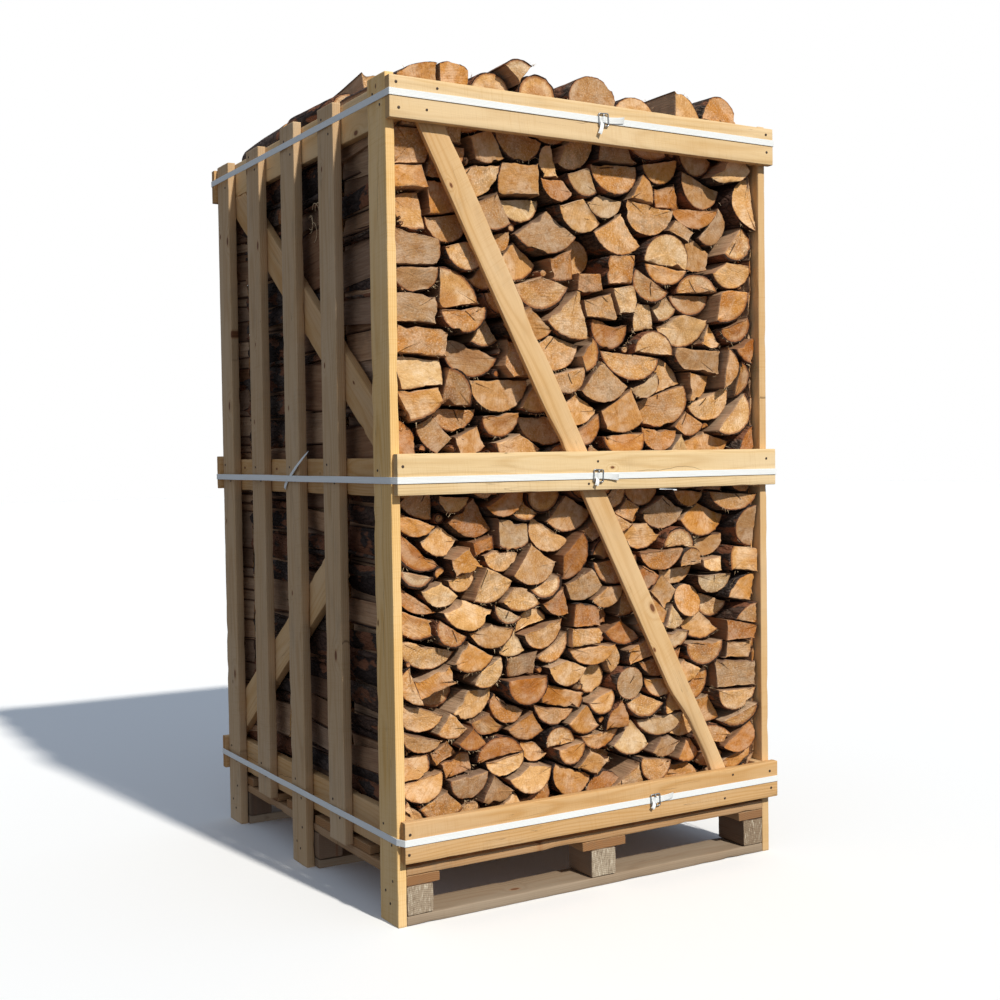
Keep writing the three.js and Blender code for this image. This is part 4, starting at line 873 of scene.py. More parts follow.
    (7.1, 1, 471.4, 1359.6, 0, 53.7, 3.8),
    (7, 1, 445.9, 1815.3, 0, 287.6, 2),
    (6.5, 1, -473.4, 1164.3, 0, 288, 2.8),
    (6.5, 1, 473, 138, 0),
    (6.5, 1, 472.4, 1221.4, 0, 5.2, 4.3),
    (16.3, 1, -380.7, 755.3, 0, 304.2, 5.7),
    (6.2, 1, -473.5, 777.5, 0),
    (6, 1, -447.6, 245.4, 0, 337.1, 2.7),
    (6, 1, 446.6, 980.5, 0, 266.9, 3.1),
    (13.5, 1, -84, 145, 0),
    (13.5, 1, -381, 875, 0),
    (13.3, 1, -344.9, 1029.7, 0, 230.7, 2.8),
    (13.1, 1, 157, 858.5, 0),
    (12.5, 1, 266.5, 1737.5, 0),
    (12.1, 1, -317.6, 516.8, 0, 287.5, 3.1),
    (12, 1, 371.2, 1079.7, 0, 287.3, 4.3),
    (12, 1, -229.5, 1198, 0),
    (11.8, 1, 160.5, 1469.5, 0),
    (11.5, 1, 47.5, 575, 0),
    (11.2, 1, -178.5, 1531.5, 0),
    (11, 1, 175.5, 1524, 0),
    (10.9, 1, -114, 1200.5, 0),
    (10.9, 1, -423.2, 1031.3, 0, 256.6, 6.7),
    (10.9, 1, -299.3, 1669.8, 0, 199.2, 4.5),
    (10.8, 1, -99.5, 1432, 0),
    (10.6, 1, -17.5, 463.9, 0, 144.8, 1.6),
    (10.5, 1, -124.8, 515.3, 0, 227.3, 7),
    (10.5, 1, 45, 380.5, 0),
    (10.2, 1, -205.5, 1397.7, 0, 356, 2.6),
    (10.1, 1, -111, 1331.5, 0),
    (10.1, 1, -225.3, 1247.7, 0, 145.8, 1.9),
    (10, 1, 127, 1262, 0),
    (10, 1, 266, 1408.5, 0),
    (17.5, 1, -202.8, 149.8, 0, 189.8, 5.1),
    (7, 1, -456.5, 139, 0),
    (17, 1, 4.5, 166.5, 0),
    (6.5, 1, 458.9, 1814.3, 0, 311.2, 2),
    (6, 1, -475.9, 1120.8, 0, 20.6, 0.9),
    (6, 1, -473.7, 1529.5, 0, 123, 4),
    (15.5, 1, 186.5, 147, 0),
    (14.8, 1, 237.5, 146.5, 0),
    (14, 1, 318, 146, 0),
    (13.1, 1, 100, 145, 0),
    (11.9, 1, -318.5, 143.5, 0),
    (11.5, 1, -60.7, 156.1, 0, 285.7, 4.2),
    (11.5, 1, -415, 179, 0),
    (11, 1, 379.5, 143, 0),
    (14.5, 1, -242, 146, 0),
    (10.5, 1, 17.5, 142, 0),
    (10.1, 1, 212, 142, 0),
    (10, 1, 98.1, 174.8, 0, 14.1, 2.3),
]
LOGS["middle"] = [
    (67.7, 0.974, 160, 161.3, -0.0938, -84.6, 4),
    (69.3, 0.914, -105.3, 152.8, 0.0039, -90.2, -12.3),
    (44.7, 0.962, 292.5, 147.4, 0.0806, -94.6, -5.1),
    (60.1, 0.944, -349.4, 153.5, 0.0737, -94.3, -4.3),
    (53.6, 0.995, 39.4, 152, 0.0425, -92.4, -4.5),
    (50.2, 0.975, 424.1, 151.7, -0.051, -87.1, -1.2),
    (51.6, 0.999, -224.8, 151, 6.2248, -86.7, -5.2),
    (85.4, 0.943, -442.4, 163.5, 9.3119, 96.5, 25.1, -87.6, 35.8, 181.4, -12.5),
    (79.2, 0.938, 357.7, 169.4, -0.7479, 121.2, -0.9, -121.2, 5.1, 180, -22.2),
    (67.1, 0.937, -28.4, 175.9, 1.5794, 134.4, 0, -134.4, 2.9),
    (110, 0.971, 253.7, 201.7, 6.8092, 92.5, 32.1, -97.7, 37.4, 187.9, -12.4),
    (75, 0.923, -176.1, 192.6, 7.0348, 97.8, 44.5, -84.5, 25.9, 189.6, -9.8),
    (65.6, 0.938, -279.7, 186.3, 7.8507, 140.8, 5.2, -140.8, 0.8),
    (64.5, 0.963, 83.6, 188.3, 8.0836, 126.1, -4.7, -126.1, 1.9),
    (67.3, 0.99, 424.2, 203.9, 6.0232, -92.9, -15.7),
    (89.4, 0.933, -373.3, 198.1, 8.044, 83.5, 46.9, -88.9, 25.3, 186.1, -34.3, -4.7, 69.5),
    (49.9, 0.967, -96.9, 210.1, 3.1559, -93.9, 0.9),
    (78.6, 0.945, 20.7, 224.4, 1.6769, 144.2, -2.4, -144.2, 6.3),
    (92.1, 0.923, -439.6, 218.6, 6.2384, 95, 27.8, -91.5, 12.7, 173.5, -6, -5.8, 77.4),
    (87.2, 0.991, 156.5, 236.2, 4.6894, 144.5, 2.4, -144.5, -4, 180, -16.8),
    (41.4, 0.975, 336.5, 217.7, 6.8818, -86, 3.4),
    (80.3, 0.96, -234.5, 232.1, 2.3787, 98.4, 37.8, -82.6, 15, 185.5, -11.5),
    (82, 0.978, -313.6, 228.2, 0.2808, 80.4, 28.9, -82.3, 26.7, 178.6, -16.1),
    (56.9, 0.983, -95.5, 253.4, 6.1532, -85.6, -2.6),
    (48.8, 0.965, -432, 263.7, 6.3402, -90.8, 4.7),
    (43.7, 0.989, 440.1, 254.8, 5.8858, -84, 11.1),
    (60.3, 0.971, -177.6, 255.1, 3.9215, 130.5, 5.7, -130.5, -3.5),
    (66, 0.917, 233.3, 273.3, 7.8096, 144.8, 3.8, -144.8, 3.6),
    (72.1, 0.94, 86.9, 276.3, 1.6512, 150.4, 4.1, -150.4, -2.6),
    (76.5, 0.999, 315.7, 269.2, 7.4768, 125.6, 2.3, -125.6, 3.2),
    (72.9, 0.934, -18.2, 270.8, 6.7088, 82.2, 25.7, -84.6, 24, 170.9, -6.4),
    (59.4, 0.912, -325.9, 273.7, 6.3418, -86.9, 5.8),
    (60.8, 0.955, -209.3, 303, -0.0341, -83.8, 5.5),
    (65.2, 0.955, -84.6, 312.2, 6.4545, -93.7, -0.2),
    (82.1, 0.928, 379.9, 289.5, 7.9371, 122, -4, -122, 3.4, 180, -6.8),
    (60.4, 0.943, 163.4, 302.6, -4.714, 139.6, -4.1, -139.6, 5.3, 180, -7.2),
    (102.9, 0.931, -433.9, 322.3, -4.737, 93.8, 45.1, -89.5, 41, 180.2, -18.3, 2.7, 76.2),
    (79, 0.921, 35.3, 312.7, 8.4459, 97.7, 17.6, -93.8, 38.5, 188.2, -28.3),
    (60.3, 0.977, 449.1, 313.5, 3.997, 138.3, -0.1, -138.3, 1.6),
    (92.5, 0.975, 257.3, 327.9, -1.646, 93.2, 52.1, -98.5, 42.9, 173.6, -24.5, 3.3, 73.2),
    (115.7, 0.981, -296.3, 340.4, 7.5601, 92.7, 64.2, -93.9, 18.8, 179.7, -39.6),
    (34.9, 0.915, 106.3, 332.5, 3.4118, -97.2, 8.8),
    (46.7, 0.921, 357.6, 338, 6.3894, -86.2, 6.6),
    (75.6, 0.95, -11.1, 340.3, 6.8341, 78.1, 28.9, -84.4, 29, 181.7, -11.2, -2.2, 63.4),
    (68, 0.951, -150.3, 356.8, 1.6721, 149.2, 4.3, -149.2, 5.5),
    (63.7, 0.94, 176.7, 354.4, -4.8615, 95.6, 39.4, -91.6, 26.8, 182.9, -3.7),
    (57.4, 0.946, 75.1, 367.5, 6.4314, -90.2, -3.4),
    (43.8, 0.997, -373.4, 326.5, 4.7439, -92.7, -4.2),
    (47.8, 0.953, 264.1, 377, -0.0826, -96, 11.6),
    (98.7, 0.961, -433.8, 385.8, -1.6, 81.3, 55.7, -86.8, 43.6, 178.9, -20.3, 2.9, 88.4),
    (74.5, 0.916, 428.4, 372.8, 0.9737, 145, -0.3, -145, -4.5, 180, -11.5),
    (59.2, 0.989, -62.1, 375.3, 3.2206, 95, 19.4, -98.2, 19.2, 186.4, -7),
    (104.4, 0.976, -226.9, 386.1, 7.2252, 100.6, 59.5, -87.5, 11.7, 174.9, -38.8),
    (89.6, 0.919, 4.8, 407.2, 4.7266, 88.1, 54.9, -88.9, 34.8, 178.1, -19),
    (57.9, 0.945, 174, 414.6, 6.4498, -84.4, 9.3),
    (94.9, 0.99, 342.2, 393.2, 3.119, 99.4, 39, -82.8, 13.7, 177.7, -14),
    (49.8, 0.908, -335.7, 398.9, 0.0049, -82.4, 12.3),
    (87.1, 0.912, -124.4, 405, 4.3563, 101.1, 26.3, -98.5, 32.2, 181.4, -33.9, 6.4, 70.4),
    (102.5, 0.955, 91.1, 425, -0.1548, 95.8, 42.1, -83.5, 14.1, 178.6, -12.1, -9, 79.6),
    (98.1, 0.955, -429.8, 443.6, -1.6645, 89.7, 48.7, -88.8, 45.1, 185.7, -23.2, 2.6, 72.7),
    (46.8, 0.965, -207.8, 434.8, 6.067, -90.7, 7.1),
    (99.6, 0.977, 281.9, 445, 8.2305, 90.2, 36.1, -100.1, 46.9, 166.3, -32.2),
    (45.1, 0.982, 443.9, 420.7, 5.7437, -87.5, 0.6),
    (58.5, 0.908, -93.4, 438.9, 5.94, -89.3, 1.4),
    (52.8, 0.971, 5, 461.2, -0.0487, -88.3, -0.4),
    (44.9, 0.939, 370.1, 466, 10.2051),
    (131.2, 0.934, -314.3, 453.5, 2.8925, 90.2, 45.6, -78.5, 18.6, 189.7, -32.6),
    (71.2, 0.98, 146.7, 474.8, 6.3502, -94.6, -15.6),
    (46.9, 0.952, -433.4, 489.8, 6.2204, -86, 5.7),
    (67, 0.916, -162.2, 482.1, 7.8172, 142.9, 6.5, -142.9, 1.5),
    (53.9, 0.928, 444.8, 477.3, 7.1773, 153.6, 4.9, -153.6, 6.4),
    (73.2, 0.91, 236.1, 502.1, 1.3921, 152.1, 3.3, -152.1, -2.7),
    (59.2, 0.926, -61.8, 488.3, 1.8308, 145.8, -2.8, -145.8, 5.2),
    (80.4, 0.939, 62.2, 501.7, 8.0009, 134.7, -2.7, -134.7, 4.8),
    (47, 0.978, -314.9, 495.1, -0.0915, -87.5, -5.5),
    (87.5, 0.952, -244.9, 495.8, -0.5387, 121.6, -0.1, -121.6, -4.5),
    (60.1, 0.979, 315.8, 506.8, 1.4086, 129.2, 3.1, -129.2, -0.2, 180, -9.4),
    (64.8, 0.981, -107.9, 530.7, 7.899, 153.4, 2.8, -153.4, 0.8),
    (57.5, 0.935, 160.4, 533, 8.2456, 160.5, -1.7, -160.5, 4.2),
    (76, 0.952, -14.4, 534.8, 10.1774, 89.1, 37.6, -97.5, 28, 187.7, -15.8),
    (59.6, 0.907, 419.8, 535.6, 6.2624, -88.2, 5.8),
    (123.6, 1, -438.4, 553.3, 3.2664, 82.9, 45.2, -96.5, 25.3, 177.1, -43.4),
    (68.8, 0.987, -280, 548.3, 6.2598, -87.9, -8.1),
    (50, 0.955, -370.7, 515.3, 9.2586, 159.7, -3.3, -159.7, -0.8),
    (123.5, 0.916, 88.9, 555.1, 2.9399, 83.3, 38.5, -83, 25.6, 170.8, -40),
    (56.9, 0.903, 274.9, 552.4, -0.1602, -85.6, -5.4),
    (47.9, 0.98, -169.5, 557, 7.1192, -94.1, 7.6),
    (85.9, 0.903, 347.6, 568.3, 5.8965, 125.4, -4.8, -125.4, 0.3),
    (72.8, 0.92, -64.3, 593, 4.8687, 156, 2.8, -156, 5.6),
    (68.7, 0.934, 207.9, 585.7, 7.973, 152.8, -0.8, -152.8, -3.6),
    (44, 0.941, 21.4, 571.6, 6.7621, 156.6, 2.2, -156.6, 3.2),
    (57.2, 0.936, 100.7, 606.2, 6.2196, -90.9, 15.3),
    (60.3, 0.906, -348.5, 586, 6.7657, -95.6, 1.1),
    (91.7, 0.939, 451, 594.2, 8.4404, 123.6, -2.8, -123.6, -5.2),
    (82, 0.948, -225.8, 588.1, 9.0431, 78.4, 47.4, -86, 6.9, 168.6, -4.6),
    (39.2, 0.929, -437, 606.2, 6.2101, -85.2, 5.8),
    (57.6, 0.986, 318.4, 612.6, 6.4166, -84.4, -6.6),
    (44.6, 0.997, -133.8, 618.8, 8.1689, 164.9, 5.9, -164.9, 2.9),
    (52.2, 0.949, -0.6, 639.4, 5.9074, -83.5, 10),
    (64.9, 0.912, -384, 634.3, 7.7031, 137.7, 1.4, -137.7, -1.8),
    (69.9, 0.914, 172.1, 638.1, 7.6869, 142.1, -3.6, -142.1, -1.1),
    (69.5, 0.994, -195.3, 630.2, 1.9704, 139.3, -4.7, -139.3, -1.1),
    (62.2, 0.955, -303.2, 637, 5.7568, -97.6, -10),
    (92.4, 0.943, 257.2, 645.7, 7.889, 124.9, -0.5, -124.9, -5, 180, -24.8),
    (72.7, 0.952, 398.1, 622.7, 7.8137, 123.4, -1.9, -123.4, 1.6),
    (84, 0.953, -84.1, 665.6, 7.6354, 84.6, 45.7, -101.4, 24.6, 177.5, -22.5),
    (49.9, 0.963, -444.5, 654.1, 6.9447, -93.9, -7.8),
    (65.3, 0.916, 61.9, 660.7, 6.9542, 80, 31.6, -99.8, 17.6, 169.6, -12.6),
    (71.7, 0.973, 371.3, 671.7, 6.3231, -86.2, -12.8),
    (65.7, 0.959, -248.7, 652.6, -4.7292, 124.5, 0.5, -124.5, -2.4, 180, -8.8),
    (127.7, 0.959, 127, 684, 6.6883, 81.7, 36, -91.9, 24.9, 174.3, -44.4),
    (75.5, 0.967, 9.9, 700.2, 7.744, 145.3, 7.7, -145.3, -5.1, 180, -17.7),
    (60.7, 0.9, -182.7, 687.6, 6.1053, -93.1, 3.1),
    (94.9, 0.996, -362.7, 687.6, -1.5243, 91.8, 50.2, -95.9, 9.3, 169.3, -34, 8.3, 81.2),
    (55.4, 0.945, 235.6, 695.7, 0.0879, -85.1, 0.6),
    (64, 0.973, -278.2, 696.5, 5.115, 143.8, -1.4, -143.8, 1.1, 180, -11.9),
    (98, 0.915, -448.9, 706, 7.9234, 86, 26.1, -88.4, 48.9, 193.8, -36.5),
    (46.1, 0.996, 454.5, 679.5, 5.0614, -86.7, -8.4),
    (59.1, 0.991, -72.1, 723.9, -4.3595, 158.2, -2.5, -158.2, 5.1),
    (80.2, 0.917, 315.7, 714.7, 7.682, 128.1, 4.3, -128.1, -5.4),
    (66.6, 0.914, 92.8, 731.8, 7.635, 152.6, 10.2, -152.6, -2.8),
    (46.9, 0.986, -337.2, 727.9, -4.5696, 165.2, -0.4, -165.2, 5.4),
    (91, 0.973, 185.8, 750.5, 7.6592, 142.3, 1.4, -142.3, -3.5),
    (70.5, 0.978, 393.1, 728.9, -0.0463, 88.6, 42, -97.8, 6.5, 183.5, -13.9),
    (79.2, 0.933, -144.6, 741.1, 8.1331, 131.7, -3.8, -131.7, 4.8),
    (71.3, 0.966, 8.6, 774.4, 3.2377, -92.2, 3.7),
    (78.9, 0.927, -257.8, 750.3, 7.6252, 141, 2.5, -141, 5.3, 180, -20.6),
    (72.8, 0.976, -412.2, 760.5, 7.9464, 154.8, -3.3, -154.8, 6),
    (50.5, 0.99, 445.1, 744, 3.7459, 155.9, 7.1, -155.9, -1.5),
    (111.5, 0.903, 309.4, 764.5, -2.9864, 80.8, 32.4, -87.9, 16.4, 171.9, -9.4),
    (66.7, 0.961, -195.6, 784.5, 7.8466, 140, 3.8, -140, -0.2),
    (68.2, 0.956, -334.4, 782, -4.8442, 131.6, -2.9, -131.6, -3.7, 180, -16),
    (77.4, 0.965, 122.2, 807.2, -0.9637, 133.3, 5.3, -133.3, 3.7, 180, -6.6),
    (93.5, 0.97, 388.7, 786.1, -0.1578, 85.1, 27.1, -85, 42, 179.8, -37.2),
    (46.9, 0.962, 276.4, 794.3, 6.3788, -84.4, -4.8),
    (59.2, 0.968, -115.4, 798.1, 7.2984, 158.3, 0.7, -158.3, -1.7),
    (51.8, 0.937, 452, 794.7, 6.8079, 151.4, 2.9, -151.4, -0.3),
    (71.5, 0.925, -2.9, 823.2, -4.6548, 180, -26.4),
    (71, 0.931, 206, 815, 6.2237, 93.3, 34.3, -93.9, 18.8, 189.3, -3.7),
    (60.4, 0.924, -422.6, 816.3, 6.4862, -94.7, -4.4),
    (45.4, 0.921, -269.6, 809.6, 3.1985, -89.3, 6),
    (49.2, 0.958, 322.9, 829.6, 5.9409, -92.3, 6),
    (62.5, 0.947, -341.1, 831.2, 0.5757, 125.4, -3.3, -125.4, 4.5, 180, -15.3),
    (52.6, 0.91, -180.3, 839.9, -4.4131, 157.5, 4.9, -157.5, 4.2),
    (82.9, 0.912, -76.6, 844.2, 7.9377, 129.4, -3.2, -129.4, 1.4),
    (79.2, 0.984, 64.2, 854.7, 7.913, 135.7, -6.2, -135.7, 3.6),
    (48.3, 0.96, -268.3, 853.5, 0.0884, -91.1, 7.6),
    (86.2, 0.908, 386.7, 858.2, 3.8753, 136.1, -1, -136.1, -1.5),
    (70.7, 0.972, -446.4, 863.9, -1.2913, 98.1, 33.8, -100.4, 22.4, 170.8, -11.8, 7.4, 58.7),
    (85.9, 0.92, 255.8, 863.1, 3.2825, 123.6, -4.5, -123.6, -1.6, 180, -19.9),
    (91.8, 0.915, 183.3, 881.8, -4.0214, 140.3, -5.8, -140.3, 7.5),
    (78.2, 0.949, -133.8, 895.3, 1.6169, 156.7, -1.9, -156.7, -3.1),
    (84.8, 0.993, 454.3, 855, 1.4888, 97.8, 41.2, -85.3, 11.8, 167.9, -16.7),
    (62.5, 0.949, -375, 887.8, 9.347, 164.1, -0.8, -164.1, 6.4),
    (57.9, 0.961, -15, 893.5, 3.284, -98, 0.6),
    (76.2, 0.91, 103.6, 907.9, 4.0292, 90.5, 40.9, -98, 27, 186.9, -5.7, 10.6, 66.4),
    (100.4, 0.992, 305.8, 914.2, 2.0587, 126.5, 2.1, -126.5, 4.5),
    (51.6, 0.967, -299.6, 901.7, 6.8526, -96, 8.4),
    (111.2, 0.967, 425.9, 938, -4.9497, 98.5, 57.2, -78.3, 50.2, 189.6, -12.4),
    (103.6, 0.935, -435.1, 932.4, -0.8718, 130, -6.3, -130, 6, 180, -25.4),
    (85.9, 0.933, -14.1, 940.7, -4.7095, 180, -29.4),
    (130.2, 0.904, 206.1, 965.4, -1.328, 94.7, 76.8, -101.4, 40.7, 180.4, -31.6, -10.3, 103.6),
    (93.9, 0.927, -216.5, 931.5, 1.4273, 130.6, -2.2, -130.6, 3.4),
    (75.1, 0.925, -119.6, 979.2, 3.211, -92.3, 15.8),
    (59.3, 0.926, -316.9, 988.8, 9.8384),
    (68.4, 0.957, 69.2, 961.7, 7.7625, 133.2, 2.3, -133.2, -3.9),
    (71.9, 0.914, 316.8, 985.3, -0.0567, 93.8, 29.3, -81.5, 28.4, 166, -5),
    (43.9, 0.953, 11.7, 993.3, 1.5502, 157, 2.1, -157, -1.8),
    (120.5, 0.971, -444.2, 1009.1, 0.1601, 80.3, 64.6, -91.9, 14.2, 170.8, -41.1),
    (79.5, 0.987, 168.9, 1036.1, 0.2361, -89.3, 14.4),
    (98.6, 0.925, 436.4, 1025.6, 1.5354, 86.3, 46.9, -88, 49, 170.8, -23),
    (114.4, 0.95, -231.3, 1011.2, 6.3524, 97.3, 35.7, -89.5, 46.4, 178.5, -45.5, 13.4, 93.3),
    (81.2, 0.973, 60.3, 1032.9, 8.2348, 134.3, -3, -134.3, 3.5),
    (67.4, 0.995, -117.5, 1039.6, -0.0663, -84.5, -11),
    (88.2, 0.951, 298.7, 1051.7, 0.7569, 132.8, -1.2, -132.8, 3.4),
    (118.7, 0.946, -19.7, 1059.1, 3.4408, 123.4, -4.4, -123.4, -1),
    (100, 0.901, -378, 1053, 6.9255, 97.6, 51.3, -91, 10.7, 175.5, -13.3),
    (65.2, 0.926, -301.9, 1075.8, 7.2442, 166.9, -2.9, -166.9, -2.7),
    (94.6, 0.944, -185.7, 1079.7, 3.229, 121.5, 6.3, -121.5, 2.2),
    (76.1, 0.981, -442.8, 1096.4, 5.6414, 144.8, 4.7, -144.8, 1),
    (108.3, 0.994, 436.2, 1095.5, 3.0965, 84, 51.1, -80.1, 25, 189.4, -23.1),
    (69.7, 0.977, 109.6, 1101.9, -4.5304, 168.4, 3, -168.4, -2.9),
    (79.1, 0.941, 356.2, 1068.7, 6.7688, 180, -25.8),
    (81.5, 0.947, 233.7, 1109.3, 3.8427, 134, -2.5, -134, 3.8),
    (75.1, 0.979, -92.9, 1105.1, 3.9386, 128.8, 2.6, -128.8, 4.1),
    (92.1, 0.943, 14.7, 1118.6, 7.3681, 98.7, 52, -90, 31, 191.6, -33.5),
    (59.4, 0.903, -270.9, 1127.9, 5.7314, -90.9, 11.7),
    (84.8, 0.95, 368.6, 1154.8, 7.8729, 162.8, 3.8, -162.8, 0.2),
    (100, 0.943, -171.7, 1145.4, 2.1298, 121.4, -5.9, -121.4, 7.8),
    (83.1, 0.91, -371.3, 1141.3, 5.5925, 126.9, 1.6, -126.9, 4.1),
    (55, 0.944, 113.5, 1163.6, -0.1626, -83.4, 4.9),
    (55.7, 0.976, -83.9, 1161.9, 0.0043, -83.4, 2.7),
    (95.4, 0.917, 267, 1189.5, 1.9573, 154, 2.8, -154, 0.2),
    (67.8, 0.968, 16.1, 1190.8, 3.1453, -87.2, 5.6),
    (77.3, 0.945, -296.5, 1208, 6.3344, -95.7, 15.6),
    (59.4, 0.976, -454.6, 1186.7, 4.6235, -84.9, 1.8),
    (67.3, 0.903, 440.2, 1197.4, 5.2342, -83.8, -4.9),
    (66.9, 0.973, -139.3, 1218.2, 6.255, -82.7, 2.9),
    (102.2, 0.983, 174, 1222.4, 8.0744, 136.7, 4.7, -136.7, -0.2),
    (78.3, 0.956, -397.2, 1208.7, -1.6008, 79.5, 36.5, -83.5, 26.1, 175.9, -14.6),
    (64, 0.983, 17.8, 1244.9, -0.0653, -83.3, -6.8),
    (79.7, 0.909, 312.3, 1266.6, 5.9132, -86.9, 3.7),
    (61.8, 0.998, -415.7, 1264.2, -0.0241, -94.5, -4.3),
    (100.1, 0.92, -212.9, 1272.8, 1.4812, 140.9, 4.5, -140.9, -1.8),
    (79, 0.934, 417.1, 1287.4, 7.4216, 161.3, 5.1, -161.3, 7.8),
    (74.7, 0.989, -66.7, 1267.6, 8.003, 139.6, 3.9, -139.6, 5.7),
    (98, 0.999, 101.9, 1283.9, 7.7779, 139.6, 0.1, -139.6, 3.8),
    (90.3, 0.929, -331.5, 1289.1, 3.2641, 92.8, 30.7, -89.3, 36.6, 175.3, -17.8),
    (68.7, 0.92, 208, 1296.9, -4.7178, 133.5, 1.3, -133.5, 1.9, 180, -11.6),
    (92.2, 0.948, -122.1, 1328.7, 7.6851, 150.9, 8.4, -150.9, -3.5),
    (73.8, 0.959, -396.9, 1322.5, 7.4839, 79.3, 40.6, -89.9, 29.5, 181.1, -7, 8, 62.1),
    (78.4, 0.926, 278.8, 1337.2, 1.4507, 180, -26.5),
    (73.1, 0.981, -9.6, 1322.1, 3.9036, 140.5, 2.6, -140.5, 3.8),
    (71.1, 0.902, 162.8, 1349.6, 3.3447, -96.8, -3.8),
    (41, 0.929, -464.7, 1315.1, 4.7977, -94.9, -1.7),
    (48.6, 0.998, -257.5, 1329.4, 6.6635, -84.1, 3.5),
    (57.5, 0.96, 424.1, 1358.1, 6.0791, -88.7, 7.8),
    (73.3, 0.907, -356.6, 1377.6, 6.1264, -94.2, 14.1),
    (89.5, 0.94, 335.4, 1390, 7.9682, 139.1, 3.1, -139.1, 1.7),
    (55.9, 0.952, 50.1, 1365.9, 4.6969, -89.4, 3.9),
    (80.1, 0.957, -197.4, 1383, 7.8708, 145.4, 2.4, -145.4, -2.5),
    (56.4, 0.948, 159.7, 1401.8, 0.1147, -91.7, 8.9),
    (62.1, 0.927, -33.5, 1386, 6.1672, -90.2, 3.3),
    (67.1, 0.954, 427.6, 1421.5, 5.8793, -91.9, -10.5),
    (49, 0.951, -450.6, 1390.6, 7.7683, -94.7, 0.4),
    (83.9, 0.981, 244, 1415, 3.8853, 125.6, -3.3, -125.6, 4.9, 180, -9.5),
    (89.2, 0.931, -272.9, 1411.4, 7.7245, 122.6, 8, -122.6, -5.8),
    (92.4, 0.994, -114, 1423.5, 7.8958, 136.8, -0.8, -136.8, -5.8),
    (104.6, 0.947, 92.9, 1448.8, 2.4223, 91.3, 34.1, -101.1, 51.8, 168, -23.8),
    (94.4, 0.915, -383.9, 1455.5, 7.8583, 85.6, 51.6, -90, 28.3, 188.2, -24.3),
    (73.2, 0.963, 345.5, 1475.1, 6.6281, -89.3, 14),
    (72, 0.982, 3.6, 1442.5, 1.9026, 133.5, 1.9, -133.5, -2.2),
    (94.6, 0.921, -207, 1469.3, 7.8453, 152.5, -3.8, -152.5, -2.9),
    (118.7, 0.939, 212.6, 1479.1, -4.5908, 98, 46.5, -98.1, 58.8, 180, -42.9),
    (74.7, 0.966, -58.6, 1483.4, 1.7254, 155.2, -2.8, -155.2, 5.2),
    (73.3, 0.921, -453.9, 1494.4, 4.6801, -88.2, -5.4),
    (62.2, 0.993, -312, 1466.2, 2.4296, 145.7, 4.2, -145.7, 6, 180, -18.8),
    (84.9, 0.945, 38.7, 1509.2, 7.6914, 137.1, 6.3, -137.1, 0.5, 180, -12.9),
    (106.3, 0.949, -346.1, 1542.8, -1.0804, 142.1, -4.2, -142.1, 5.9),
    (93.4, 0.963, -134.7, 1533.4, 7.913, 143.6, 4.7, -143.6, 4.1),
    (68.6, 0.969, 440.5, 1500.4, 5.3689, -90.3, -12.1),
    (63, 0.999, 286.7, 1529.9, 1.6183, 151.2, -0.6, -151.2, -2.2),
    (89.7, 0.974, 130, 1534.5, 7.574, 138.3, -1.8, -138.3, -1.2, 180, -18.2),
    (84.7, 0.936, 212.3, 1556.9, -4.6674, 130.3, -1.7, -130.3, 3.1, 180, -16.7),
    (57.3, 0.923, -236.8, 1549.5, 7.1263, -96.9, 10.8),
    (109.1, 0.956, -9.7, 1556.2, -1.4615, 101.2, 32.7, -95.8, 45.2, 180.2, -39.2, 14.8, 80.4),
    (92.4, 0.945, 348.3, 1573.7, 3.8615, 133.3, -3.2, -133.3, -2.7),
    (88.7, 0.953, 144, 1613.1, -4.3906, 165.9, -1.3, -165.9, 5.8),
    (123.2, 0.907, 438.6, 1596.6, -3.37, 91.3, 66.9, -81.7, 48.4, 189.8, -42.9),
    (79.4, 0.973, -433.4, 1590, 6.6284, 144.8, 4.1, -144.8, 0.2),
    (60.2, 0.99, -103.7, 1593.5, 6.0523, -94.3, -9.7),
    (77, 0.999, 269.3, 1601.1, 3.9837, 133.4, -2.4, -133.4, 2.8, 180, -12.5),
    (54.5, 0.992, -325.7, 1614.1, -0.1149, -93.2, 10.2),
    (45.3, 0.918, -11.3, 1599.6, 6.4136, -91, 4.7),
    (116, 0.964, -218.3, 1625.2, 6.2276, 97.2, 37.1, -85.7, 27.2, 179.8, -5.8),
    (113.5, 0.907, 325.3, 1662.2, 0.9466, 137.4, 6.3, -137.4, -3.5, 180, -25.3),
    (56.2, 0.941, 63.6, 1630.7, 7.4433, -96.2, -2),
    (75.7, 0.943, -65.2, 1632.4, 5.4251, 99.6, 24.6, -82.2, 21.5, 176.6, -15.8),
    (54, 0.976, 1.4, 1659.8, 3.1748, -82.8, 1),
    (74.8, 0.977, 200.1, 1687.5, 5.9093, -83.2, 9.2),
    (103.4, 0.937, -383.6, 1680.4, 8.5443, 101.8, 53.7, -97.6, 45, 170.4, -6.1),
    (58.6, 0.918, -122.6, 1655.1, 1.9636, 165, 5.1, -165, -3.5),
    (39.5, 0.962, 441.1, 1670.7, -0.1143, -88.2, 11.1),
    (50.6, 0.99, -219, 1680.8, 0.0225, -87.2, 0.2),
    (67.7, 0.954, -13.3, 1714.1, 0.0189, -82, 12.3),
    (83, 0.913, 368.2, 1731.3, 7.757, 164, -3.8, -164, 7.2),
    (54, 0.95, -299.5, 1690.4, 5.2536, -89, -1.4),
    (87.8, 0.953, -148.6, 1719.6, 7.6566, 143.7, 1.7, -143.7, -1.6),
    (114.4, 0.929, 97.1, 1728.7, -0.7994, 129.1, -5.5, -129.1, -2.7),
